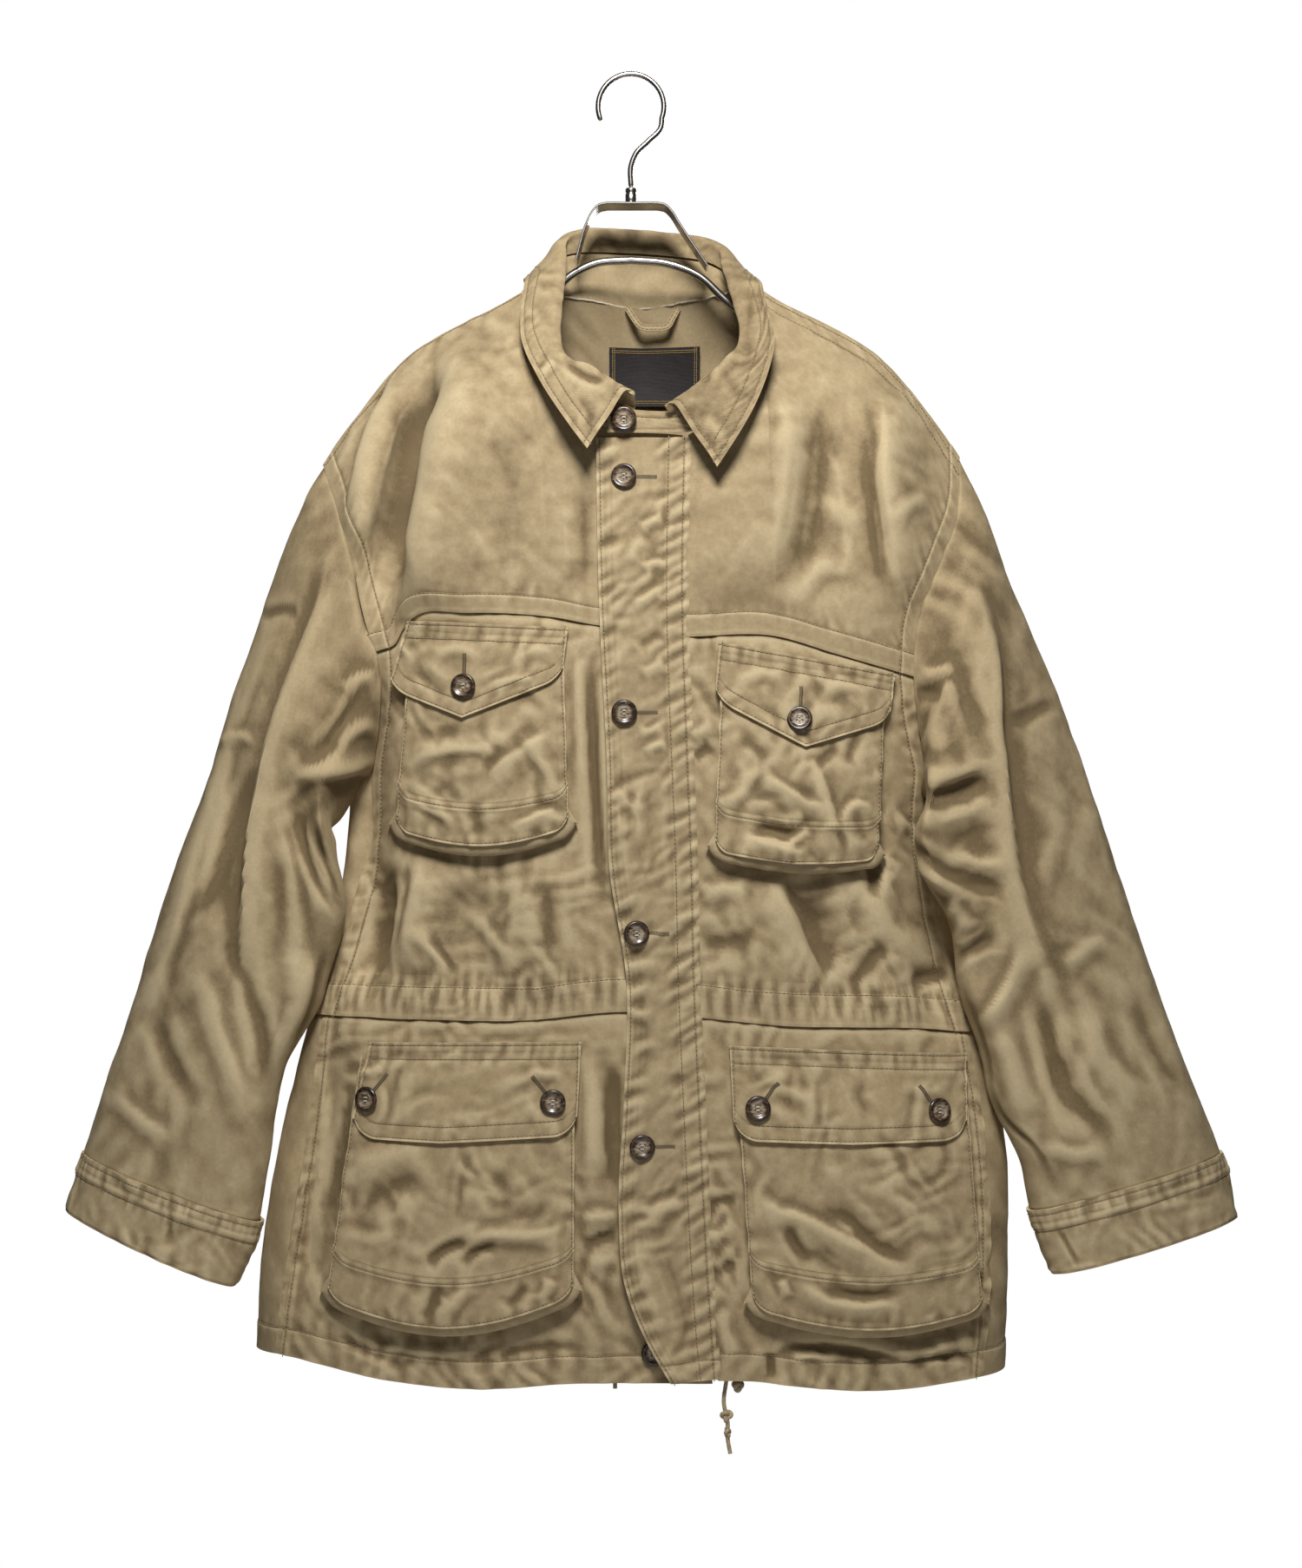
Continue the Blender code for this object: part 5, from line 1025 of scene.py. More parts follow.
def makeBack():
    left, right, at, grain = frontCut["left"], frontCut["right"], backCut["atWaist"], backCut["grain"]
    first, last, share = backCut["shoulderShare"], 1 - backCut["shoulderShare"], backCut["holeShare"]
    count = backCut["shoulderPoints"]
    leftTop = [turned(*tipOf(x), 1) for x in np.linspace(left["tip"], left["neck"][0][0], count)]
    rightTop = [turned(*tipOf(x), 1) for x in np.linspace(right["neck"][0][0], right["tip"], count)]
    neck = [turned(x, z, 1) for x, z in (left["neck"][0], *backCut["neck"], right["neck"][0])]

    def top(t):
        start = twoLines(leftTop, neck, first / last)(np.clip(t / last, 0, 1))
        end = curve(rightTop, np.clip((t - last) / first, 0, 1))
        return np.where((t < last)[:, None], start, end)

    upperSides = [turnedSide((cut["pit"], *cut["side"][:at + 1])) for cut in (left, right)]
    lowSides = [line(turnedSide((*cut["side"][at:], cut["hem"][-1]))) for cut in (left, right)]
    holes = [twoLines(backArmhole(cut), edge, share) for cut, edge in zip((left, right), upperSides)]
    waist = (upperSides[0][-1], (0.5, backCut["waist"]), upperSides[1][-1])
    hem = (turned(*left["hem"][-1], -1), (0.5, backCut["hem"]), turned(*right["hem"][-1], -1))
    shoulderAt, neckAt = steps(backCut["shoulderRun"], grain), steps(backCut["neckRun"], grain)
    across = [first * shoulderAt, first + (last - first) * neckAt[1:], last + first * shoulderAt[1:]]
    upper = patch(top, line(waist), *holes, np.concatenate(across), steps(backCut["upperRun"], grain, last=0.028))
    rumple, sides = {"long": 0.085, "wide": 0.022}, {"start": {"lap": 0.002}, "end": {"lap": 0.002}}
    dress("back", onBody(upper), {
        "stands": ["back", "side_left", "side_right"], "rumple": {**rumple, "seed": 14, "lift": 0.0008},
        "edges": {"foot": {**waistSeam, "pucker": 0.0018}, **sides},
    })
    low = patch(line(waist), line(hem), *lowSides, steps(backCut["hemRun"], grain),
                steps(backCut["lowRun"], grain, first=0.004, last=0.026))
    dress("back_skirt", onBody(low), {
        "rumple": {**rumple, "seed": 15, "lift": 0.0009},
        "edges": {"top": tuckedEdge, **sides, "foot": {**hemEdge, "rise": 0.0009, "pucker": 0.0010, "reach": 0.012}},
    })


makeBack()
print("back dressed")


# The placket
placketLook = {"rows": 0.0018, "columns": 0.0012, "wide": 0.068, "clear": 0.0003}
placketCreases = drawnFolds(
    ((700, 860, 716, 960, 728, 1060), 8, 12, 2.0),
    ((735, 1120, 745, 1200, 735, 1290), 10, 10, -1.2),
    ((770, 880, 765, 980, 775, 1050), 10, 8, 1.2),
    ((722, 1400, 745, 1480, 775, 1560), 10, 16, 2.6),
    ((760, 1420, 785, 1500, 800, 1575), 10, 10, -1.8),
    ((740, 1408, 764, 1394, 792, 1386), 7, 8, 2.4),
    ((738, 1392, 762, 1378, 790, 1370), 6, 6, -1.8),
    ((742, 600, 756, 650, 748, 700), 9, 9, -1.2),
    ((706, 905, 722, 925, 742, 934), 6, 7, 1.6),
    ((716, 1150, 732, 1168, 756, 1176), 6, 7, 1.6),
    ((736, 611, 749, 603, 768, 599), 5, 6, 2.2),
    ((725, 652, 731, 630, 746, 616), 7, 7, 1.5),
    ((740, 657, 752, 649, 768, 647), 5, 5, 2.2),
    ((728, 698, 743, 690, 753, 682, 768, 679), 6, 5, 2.3),
    ((733, 747, 746, 737, 767, 726), 7, 8, -2.2),
    ((737, 778, 750, 771, 768, 761), 8, 6, 2.0),
    ((735, 844, 749, 842, 764, 835), 5, 5, 1.8),
    ((743, 869, 752, 861, 770, 856), 5, 5, 2.2),
    ((735, 990, 735, 940, 738, 905, 749, 886), 8, 7, 2.2),
)


placketEdges = {
    "start": {"rise": 0.0005, "stitch": (0.0028, 0.011), "groove": 0.0002, "pucker": 0.0023, "wave": 0.010,
              "slant": 0.5, "reach": 0.008, "rub": 0.28},
    "end": {"lap": 0.003, "rise": 0.0007, "wide": 0.017, "stitch": (0.0025, 0.0145), "pucker": 0.0027, "slant": -0.55,
            "reach": 0.0075, "rub": 0.12},
    "foot": {"rise": 0.0006, "wide": 0.0165, "stitch": (0.016,), "rub": 0.2},
}


def makePlacket():
    z = np.arange(placketFit["top"], placketFit["foot"], -placketLook["rows"])
    u, z = np.meshgrid(steps(placketLook["wide"], placketLook["columns"]), z)
    seam, free = placketAt("seam", z), placketAt("free", z)
    x = np.minimum(mix(free, seam, u), seam - placketLook["clear"])
    lift = placketFit["lap"] + placketAt("lift", z) * ease((seam - x) / (seam - free))
    dress("placket", onFront(np.stack([x, z], axis=-1), lift), {
        "thick": doubleThick, "creases": placketCreases, "on": ["front_right"], "edges": placketEdges,
        "rumple": {"seed": 16, "ways": (20, 34, 58), "long": 0.030, "wide": 0.009, "lift": 0.0013},
    })


makePlacket()
print("placket dressed")


# Sleeves and cuffs
sleeveCut = {
    "left": table(
        "s outer_x outer_z inner_x inner_y inner_z front back",
        (0.00, -0.246, -0.300, -0.204, -0.020, -0.560, 0.040, 0.044),
        (0.08, -0.268, -0.358, -0.218, -0.036, -0.572, 0.044, 0.044),
        (0.19, -0.295, -0.428, -0.232, -0.050, -0.590, 0.042, 0.040),
        (0.30, -0.320, -0.498, -0.232, -0.055, -0.619, 0.040, 0.038),
        (0.41, -0.341, -0.568, -0.232, -0.054, -0.652, 0.040, 0.040),
        (0.52, -0.368, -0.638, -0.237, -0.049, -0.680, 0.041, 0.042),
        (0.64, -0.390, -0.708, -0.247, -0.043, -0.713, 0.042, 0.046),
        (0.73, -0.407, -0.764, -0.264, -0.038, -0.767, 0.042, 0.044),
        (0.81, -0.423, -0.810, -0.280, -0.034, -0.820, 0.040, 0.042),
        (0.89, -0.442, -0.868, -0.294, -0.032, -0.918, 0.036, 0.038),
        (1.00, -0.456, -0.912, -0.314, -0.032, -0.968, 0.034, 0.036),
    ),
    "right": table(
        "s outer_x outer_z inner_x inner_y inner_z front back",
        (0.00, 0.262, -0.300, 0.232, -0.024, -0.561, 0.040, 0.044),
        (0.08, 0.294, -0.365, 0.233, -0.046, -0.573, 0.044, 0.042),
        (0.19, 0.316, -0.428, 0.231, -0.066, -0.590, 0.040, 0.038),
        (0.30, 0.344, -0.498, 0.229, -0.071, -0.619, 0.038, 0.036),
        (0.41, 0.368, -0.568, 0.238, -0.068, -0.653, 0.038, 0.038),
        (0.52, 0.392, -0.638, 0.253, -0.060, -0.686, 0.040, 0.042),
        (0.64, 0.415, -0.708, 0.272, -0.050, -0.728, 0.042, 0.046),
        (0.73, 0.440, -0.778, 0.292, -0.044, -0.783, 0.042, 0.044),
        (0.81, 0.461, -0.831, 0.304, -0.040, -0.840, 0.040, 0.042),
        (0.89, 0.476, -0.868, 0.316, -0.038, -0.908, 0.036, 0.038),
        (1.00, 0.489, -0.918, 0.333, -0.038, -0.957, 0.034, 0.036),
    ),
}
sleeveFolds = {
    "left": records(
        "s0 turn0 s1 turn1 wide lift", (0.02, 0.36, 0.80, 0.42, 0.13, 0.008), (0.30, 0.16, 0.85, 0.14, 0.10, 0.006),
        (0.16, 0.62, 0.80, 0.66, 0.10, -0.010), (0.05, 0.72, 0.36, 0.82, 0.08, 0.010),
        (0.10, 1.40, 0.80, 1.45, 0.12, 0.008), (0.20, 1.65, 0.80, 1.60, 0.10, -0.007),
        (0.60, 0.80, 0.90, 0.80, 0.10, 0.007),
    ),
    "right": records(
        "s0 turn0 s1 turn1 wide lift", (0.02, 0.34, 0.70, 0.52, 0.13, 0.008), (0.35, 0.18, 0.88, 0.16, 0.10, 0.006),
        (0.20, 0.62, 0.85, 0.70, 0.10, -0.010), (0.05, 0.74, 0.50, 0.88, 0.08, 0.009),
        (0.10, 1.40, 0.80, 1.45, 0.12, 0.008), (0.20, 1.65, 0.80, 1.60, 0.10, -0.007),
        (0.60, 0.82, 0.90, 0.82, 0.10, 0.007),
    ),
}
# The sleeves' paintedLight values colour the upper sleeve darker as painted shade and the cuffs paler as painted light.
sleeveFit = {
    "outerY": 0.004, "square": 2.2, "cap": 0.30, "pitClear": 0.009, "pitFirst": 0.45, "pitOver": 0.05, "pitTurn": 1.25,
    "pitWide": 0.30, "run": 0.60, "grain": 0.0028, "columns": 153, "paintedLight": (-0.22, 0.06), "paintedLightRun": (-0.1, 1.2),
    "cuffAt": 0.89, "cuffOut": 0.0008, "cuffRun": 0.062, "cuffGrain": 0.0017, "cuffColumns": 210, "cuffPaintedLight": 0.10,
    "ways": {"left": (74, 40, 108), "right": (106, 140, 72)},
}
sleeveCreases = {
    "left": drawnFolds(
        ((392, 613, 382, 640, 370, 691, 343, 760, 319, 835, 305, 895, 296, 940, 290, 985, 286, 1040,
          283, 1102, 282, 1205), 6, 36, 10, 4),
        ((376, 632, 355, 710, 328, 788, 305, 858, 289, 930, 277, 1000, 266, 1080), 24, 7, -11),
        ((330, 640, 305, 720, 280, 790, 262, 860, 240, 930, 222, 991, 206, 1053, 178, 1140, 140, 1252),
         13, 8, 5, -1.5),
        ((288, 870, 264, 935, 247, 1000, 228, 1070), 8, 20, -8),
        ((339, 915, 347, 960, 358, 1010, 377, 1058), 5, 5, -3),
        ((363, 940, 367, 975, 377, 1005, 385, 1052), 5, 5, -2.6),
        ((325, 900, 360, 893, 394, 886, 418, 879, 440, 872), 9, 20, 8, 2),
        ((347, 892, 376, 860, 405, 820, 426, 790), 8, 8, -5),
        ((382, 864, 412, 840, 438, 836), 7, 9, 4),
        ((398, 800, 418, 782, 436, 784), 6, 8, 3.4),
        ((338, 958, 345, 985, 355, 1015, 365, 1045, 380, 1080), 18, 10, 4),
        ((318, 905, 325, 955, 337, 1015, 337, 1090, 326, 1150), 9, 8, 3),
        ((352, 1088, 338, 1150, 322, 1220, 312, 1290), 10, 9, 3.4),
        ((366, 1080, 352, 1140, 334, 1210), 6, 6, -3.6),
        ((262, 1060, 284, 1130, 300, 1200, 306, 1270), 9, 11, -3.4),
        ((232, 1100, 244, 1170, 268, 1240, 290, 1300), 12, 11, 3),
        ((176, 1150, 196, 1220, 232, 1280), 12, 10, -3),
        ((122, 1250, 160, 1290, 206, 1318), 9, 9, 2.6),
        ((197, 1362, 196, 1400, 193, 1440), 2.5, 3.5, -1.8),
        ((300, 715, 318, 703, 342, 702), 5, 6, -2.4),
        ((256, 862, 272, 850, 288, 846), 5, 6, 2.4),
        ((412, 650, 420, 700, 428, 740), 6, 8, -4.6),
        ((214, 860, 190, 960, 168, 1050), 14, 14, -2),
    ),
    "right": drawnFolds(
        ((1109, 606, 1127, 700, 1140, 748, 1148, 843, 1156, 923, 1166, 1006, 1185, 1076, 1204, 1137,
          1212, 1192), 24, 8, 7, -2.5),
        ((1150, 720, 1163, 840, 1173, 930, 1186, 1010, 1206, 1090), 8, 30, -4.5),
        ((1108, 764, 1089, 802, 1080, 853, 1076, 880), 10, 14, 5),
        ((1050, 800, 1070, 798, 1092, 800), 9, 8, -3.4),
        ((1058, 781, 1078, 778, 1104, 768), 5, 8, 3.4),
        ((1106, 760, 1114, 805, 1140, 850), 10, 9, -3.6),
        ((1076, 930, 1105, 914, 1144, 892), 12, 9, -4.4),
        ((1068, 910, 1105, 894, 1146, 874), 9, 18, 5, 1),
        ((1076, 956, 1110, 940, 1150, 918), 16, 10, 4.6),
        ((1056, 968, 1086, 992, 1116, 1020), 10, 9, -4.6),
        ((1058, 990, 1086, 1012, 1120, 1040), 11, 8, 4, 1),
        ((1096, 984, 1128, 996, 1164, 996), 9, 11, 3.6),
        ((1100, 1012, 1130, 1020, 1166, 1022), 10, 9, -3.4),
        ((1088, 1036, 1105, 1056, 1122, 1078), 10, 10, 4),
        ((1102, 1106, 1128, 1092, 1158, 1072), 9, 9, -3.6),
        ((1115, 1098, 1140, 1162, 1156, 1212, 1169, 1278, 1199, 1331, 1222, 1388), 3.5, 3.5, -2.6),
        ((1186, 1080, 1178, 1105, 1160, 1158, 1152, 1190), 6, 12, 5),
        ((1160, 1165, 1180, 1225, 1196, 1290), 10, 9, 3.6),
        ((1196, 1140, 1206, 1190, 1222, 1250, 1250, 1310), 7, 10, -4.4),
        ((1168, 838, 1194, 820, 1222, 802), 9, 10, -2.2),
        ((1218, 1120, 1248, 1098, 1280, 1072), 10, 11, 2.4),
        ((1240, 1150, 1268, 1215, 1320, 1285), 14, 13, 3.4),
        ((1216, 1200, 1244, 1268, 1292, 1318), 11, 11, -3.4),
        ((1302, 1130, 1332, 1210, 1382, 1280), 13, 13, -2.8),
        ((1200, 1312, 1232, 1330, 1282, 1325), 8, 9, 2.6),
        ((1230, 820, 1252, 900, 1270, 990), 16, 16, 2),
        ((1217, 1410, 1230, 1436, 1246, 1463), 2.5, 3.5, -1.8),
    ),
}
# The sleeves are drawn in against the body at the elbows.
sleeveCreases["left"] += drawnFolds(
    ((404, 965, 394, 1040, 374, 1110, 348, 1205, 338, 1235), 40, 16, 0, -12, True),
)
sleeveCreases["right"] += drawnFolds(
    ((1092, 800, 1082, 900, 1074, 950, 1080, 1060), 14, 40, 0, 12, True),
    ((1098, 1050, 1118, 1130, 1140, 1200, 1158, 1270, 1174, 1350), 16, 45, 0, 17, True),
)


def sleeveRings(side, s, turn):
    cut, body, fit = sleeveCut[side], frontCut[side], sleeveFit
    front = onFront(curve((tipOf(body["tip"]), *body["armhole"], body["pit"]), turn[turn <= 1]))
    hole = np.concatenate([front, onBody(curve(backArmhole(body), 2 - turn[turn > 1]))])[None]
    at = {name: read(cut["s"], value, s)[:, None] for name, value in cut.items() if name != "s"}
    outer = np.stack([at["outer_x"], np.full_like(at["outer_x"], fit["outerY"]), at["outer_z"]], axis=-1)
    inner = np.stack([at["inner_x"], at["inner_y"], at["inner_z"]], axis=-1)
    cos, sin = np.cos(np.pi * turn)[None], np.sin(np.pi * turn)[None]
    along, out = np.sign(cos) * np.abs(cos) ** (2 / fit["square"]), np.abs(sin) ** (2 / fit["square"])
    deep = np.where(sin >= 0, -at["front"], at["back"])
    rings = (outer + inner) / 2 + (outer - inner) / 2 * along[..., None]
    lift = np.zeros(np.broadcast(at["front"], cos).shape)
    for fold in sleeveFolds[side]:
        t = (s[:, None] - fold["s0"]) / (fold["s1"] - fold["s0"])
        aside = turn[None] - mix(fold["turn0"], fold["turn1"], np.clip(t, 0, 1))
        lift += fold["lift"] * ease(t / foldEnds) * ease((1 - t) / foldEnds) * np.exp(-((aside / fold["wide"]) ** 2))
    rings[..., 1] += deep * out + np.sign(deep) * lift * np.minimum(1, 2 * out)
    centre = (outer + inner) / 2
    first = hole + (centre - centre[:1])
    share = ease(s / fit["cap"])[:, None, None]
    clear = fit["pitClear"] * (mix(fit["pitFirst"], 1, ease(s / fit["pitOver"])) * (1 - ease(s / fit["cap"])))[:, None]
    first[..., 0] += clear * np.exp(-(((turn - fit["pitTurn"]) / fit["pitWide"]) ** 2))[None] * np.sign(first[..., 0])
    return mix(first, rings, share)


sleeveEdges = {
    "top": {"lap": 0.005, "rise": -0.0016, "wide": 0.005, "soft": 0.005},
    "foot": {"lap": 0.004, "rise": -0.0010, "wide": 0.004, "soft": 0.004},
}
cuffEdges = {
    "top": {"lap": 0.002, "rise": 0.0009, "wide": 0.0155, "stitch": (0.0018, 0.0085, 0.0150), "pucker": 0.0014,
            "wave": 0.0055, "rub": 0.12},
    "foot": {"rise": -0.0006, "wide": 0.003, "stitch": (0.0045,), "groove": 0.0, "pucker": 0.0011, "wave": 0.010,
             "reach": 0.009},
}


def makeSleeve(side):
    fit = sleeveFit
    s = fit["cuffAt"] * steps(fit["run"], fit["grain"], first=0.004, last=0.008)
    rings = sleeveRings(side, s, np.linspace(0, 2, fit["columns"], endpoint=False))
    # Painted shade: the sleeve's colour darkens towards the shoulder and lightens a little towards the cuff.
    down = np.linspace(*fit["paintedLightRun"], len(rings) + 2 * lapRows)
    dress(f"sleeve_{side}", rings, {
        "around": True, "inside": rings.mean(axis=(0, 1)), "creases": sleeveCreases[side], "edges": sleeveEdges,
        "rumple": {"seed": 17, "ways": fit["ways"][side], "long": 0.080, "wide": 0.017, "lift": 0.0013},
        "paintedLight": mix(*fit["paintedLight"], ease(down))[:, None],
    })
    s = fit["cuffAt"] + (1 - fit["cuffAt"]) * steps(fit["cuffRun"], fit["cuffGrain"], first=0.008, last=0.006)
    rings = sleeveRings(side, s, np.linspace(0, 2, fit["cuffColumns"], endpoint=False))
    rings = rings + fit["cuffOut"] * unit(rings - rings.mean(axis=1)[:, None])
    # Painted light: the cuffs are coloured a little paler.
    dress(f"cuff_{side}", rings, {
        "around": True, "inside": rings.mean(axis=(0, 1)), "thick": doubleThick, "creases": sleeveCreases[side],
        "rumple": {"seed": 18, "lift": 0.0019}, "on": [f"sleeve_{side}"], "paintedLight": fit["cuffPaintedLight"], "edges": cuffEdges,
    })


for side in ("left", "right"):
    makeSleeve(side)
print("sleeves dressed")


# Collar
collarRows = table(
    "turn top_x top_y top_z roll_x roll_y roll_z edge_x edge_y edge_z",
    (0.00, 0.004, -0.0735, -0.276, 0.003, -0.084, -0.268, -0.033, -0.099, -0.312),
    (0.08, -0.020, -0.0715, -0.262, -0.026, -0.080, -0.250, -0.052, -0.093, -0.286),
    (0.18, -0.052, -0.0620, -0.243, -0.051, -0.066, -0.234, -0.075, -0.080, -0.248),
    (0.32, -0.064, -0.0220, -0.186, -0.053, -0.018, -0.172, -0.087, -0.036, -0.198),
    (0.37, -0.063, -0.0020, -0.165, -0.052, 0.002, -0.148, -0.085, -0.006, -0.1655),
    (0.42, -0.060, 0.0180, -0.144, -0.049, 0.022, -0.124, -0.081, 0.032, -0.166),
    (0.50, 0.012, 0.0385, -0.138, 0.012, 0.040, -0.118, 0.012, 0.066, -0.192),
    (0.58, 0.072, 0.0180, -0.152, 0.068, 0.022, -0.132, 0.098, 0.031, -0.168),
    (0.63, 0.079, -0.0020, -0.171, 0.073, 0.002, -0.152, 0.104, -0.005, -0.1665),
    (0.68, 0.084, -0.0220, -0.190, 0.077, -0.018, -0.172, 0.109, -0.034, -0.194),
    (0.82, 0.082, -0.0640, -0.240, 0.083, -0.064, -0.229, 0.110, -0.074, -0.240),
    (0.92, 0.054, -0.0760, -0.268, 0.050, -0.080, -0.261, 0.092, -0.090, -0.286),
    (1.00, 0.030, -0.0800, -0.282, 0.027, -0.085, -0.278, 0.067, -0.097, -0.326),
)
standTab = {
    "top": ((0.030, -0.0785, -0.2805), (-0.018, -0.0785, -0.2780)),
    "foot": ((0.034, -0.0775, -0.2970), (-0.018, -0.0785, -0.2970)),
}
leafRows = records(
    "to_top to_edge out up", (0.88, 0.00, 0.000, 0.0000), (0.40, 0.00, 0.000, 0.0000), (0.00, 0.00, 0.000, 0.0010),
    (0.00, 0.00, 0.005, 0.0025), (0.00, 0.00, 0.010, -0.0005), (0.00, 0.45, 0.004, 0.0012), (0.00, 0.75, 0.002, 0.0012),
    (0.00, 1.00, 0.000, 0.0000),
)
# The collar's paintedLight values colour the leaf darker as painted shade, most on the right leaf.
collarFit = {
    "footGap": -0.0024, "left": 0.37, "right": 0.63, "endLeft": -0.004, "endRight": 0.040,
    "inside": (0.012, -0.020, -0.240), "sidePoints": 9, "backPoints": 8, "standRows": 4,
    "standGrid": (26, 280), "leafGrid": (64, 320), "paintedLight": (-0.10, -0.26), "paintedLightRun": (-1, 2),
}
collarCreases = drawnFolds(
    ((646, 405, 660, 423, 690, 437, 706, 433), 6, 5, -3.0),
    ((650, 398, 672, 414, 700, 428), 5, 8, 2.4),
    ((640, 412, 630, 424, 618, 432), 5, 6, 2.0),
    ((662, 452, 676, 470, 684, 496), 8, 8, -1.4),
    ((848, 400, 838, 414, 812, 436), 6, 7, 2.6),
    ((836, 402, 824, 420, 800, 442), 6, 6, -2.0),
    ((868, 330, 862, 380, 866, 430), 8, 8, -1.6),
    ((806, 480, 826, 496, 836, 516), 8, 8, 1.2),
)


def collarLine(kind, turn):
    return np.stack([read(collarRows["turn"], collarRows[f"{kind}_{axis}"], turn) for axis in "xyz"], axis=-1)


def neckFoot(turn):
    first, last, neckZ = collarFit["left"], collarFit["right"], frontShape["neckZ"]
    left = curve((*frontCut["left"]["neck"], (collarFit["endLeft"], neckZ)), np.clip(1 - turn / first, 0, 1))
    right = curve((*frontCut["right"]["neck"], (collarFit["endRight"], neckZ)),
                  np.clip((turn - last) / (1 - last), 0, 1))
    behind = (frontCut["left"]["neck"][0], *backCut["neck"], frontCut["right"]["neck"][0])
    x, z = curve(behind, np.clip((turn - first) / (last - first), 0, 1)).T
    front = np.where((turn < first)[:, None], onFront(left), onFront(right, placketFit["lap"]))
    return np.where(((turn >= first) & (turn < last))[:, None], np.stack([x, backY(x, z), z], axis=-1), front)


standEdges = {"foot": {"stitch": (0.003,), "pucker": 0.0006}, "top": {"stitch": (0.005,), "pucker": 0.0004}}
leafEdge = {"rise": 0.0005, "stitch": (0.0048,), "groove": 0.0003, "rub": 0.2}


def makeCollar():
    first, last, count = collarFit["left"], collarFit["right"], collarFit["sidePoints"]
    behind = np.linspace(first, last, collarFit["backPoints"])[1:]
    turn = np.concatenate([np.linspace(0, first, count), behind, np.linspace(last, 1, count)[1:]])
    top, roll, edge, foot = collarLine("top", turn), collarLine("roll", turn), collarLine("edge", turn), neckFoot(turn)
    foot = foot + collarFit["footGap"] * unit(top - foot)
    standTop = np.concatenate([top[:-1], np.array(standTab["top"])])
    standFoot = np.concatenate([foot[:-1], np.array(standTab["foot"])])
    stand = mix(standTop[None], standFoot[None], shares(collarFit["standRows"])[:, None, None])
    dress("collar_stand", refine(stand, *collarFit["standGrid"]), {
        "inside": collarFit["inside"], "thick": doubleThick, "on": ["yoke_left", "yoke_right", "back"],
        "rumple": {"seed": 24, "lift": 0.0006}, "edges": standEdges,
    })
    flat, rows = unit((edge - roll) * (1, 1, 0)), []
    for row in leafRows:
        spot = roll + (top - roll) * row["to_top"] + (edge - roll) * row["to_edge"]
        rows.append(spot + flat * row["out"] + np.array((0, 0, row["up"])))
    leaf = refine(np.stack(rows), *collarFit["leafGrid"])
    # Painted shade: the collar leaf is coloured darker, more so towards the right leaf.
    across = np.linspace(*collarFit["paintedLightRun"], leaf.shape[1])
    dress("collar_leaf", leaf, {
        "inside": leaf.mean(axis=(0, 1)), "thick": doubleThick, "on": ["collar_stand"], "creases": collarCreases,
        "paintedLight": mix(*collarFit["paintedLight"], ease(across))[None],
        "rumple": {"seed": 19, "long": 0.028, "wide": 0.010, "lift": 0.0009},
        "edges": {
            "foot": {**leafEdge, "stitch": (0.0048, 0.0148), "pucker": 0.0007}, "start": leafEdge, "end": leafEdge,
        },
    })


makeCollar()
print("collar dressed")


# Pockets, each a bag with a lower band, a gusset round it and a flap
def rounded(u, share):  # how far a rounded corner has come in, from 0 to 1 at the end
    t = np.clip((np.abs(2 * u - 1) - 1 + share) / share, 0, pocketFit["cornerLimit"])
    return 1 - np.sqrt(1 - t**2)


def bagEnds(pocket, u):  # the heights of its top and foot
    foot = mix(pocket["foot_left"], pocket["foot_right"], u) - pocket["sag"] * np.sin(np.pi * u)
    return mix(pocket["top_left"], pocket["top_right"], u), foot


def bagPoint(pocket, u, v):
    x = mix(mix(pocket["left_top"], pocket["left_foot"], v), mix(pocket["right_top"], pocket["right_foot"], v), u)
    top, foot = bagEnds(pocket, u)
    return np.stack([x, mix(top, foot + pocketFit["bagCorner"] * rounded(u, pocketFit["bagShare"]), v)], axis=-1)


def bagLift(pocket, u, v):
    over = np.sqrt(np.maximum(np.sin(np.pi * u), 0)) * np.sin(np.pi * pocketFit["low"] * v ** pocketFit["high"])
    return pocketFit["lift"] + pocket["deep"] * (pocketFit["rim"] * v + (1 - pocketFit["rim"]) * over)


def flapPoint(flap, u, v):
    x = mix(mix(flap["left_top"], flap["left_foot"], v), mix(flap["right_top"], flap["right_foot"], v), u)
    side = np.where(u < flap["tip_at"], u / flap["tip_at"], (1 - u) / (1 - flap["tip_at"]))
    foot = mix(flap["foot_left"], flap["foot_right"], u) - flap["tip"] * side
    foot = foot + flap["corner"] * rounded(u, pocketFit["corner"])
    return np.stack([x, mix(mix(flap["top_left"], flap["top_right"], u), foot, v)], axis=-1)


def flapLift(pocket, xz):
    x, z = xz[..., 0], xz[..., 1]
    u = np.clip((x - pocket["left_top"]) / (pocket["right_top"] - pocket["left_top"]), 0, 1)
    top, foot = bagEnds(pocket, u)
    return bagLift(pocket, u, np.clip((top - z) / (top - foot), 0, 1)) + pocketFit["flap"]


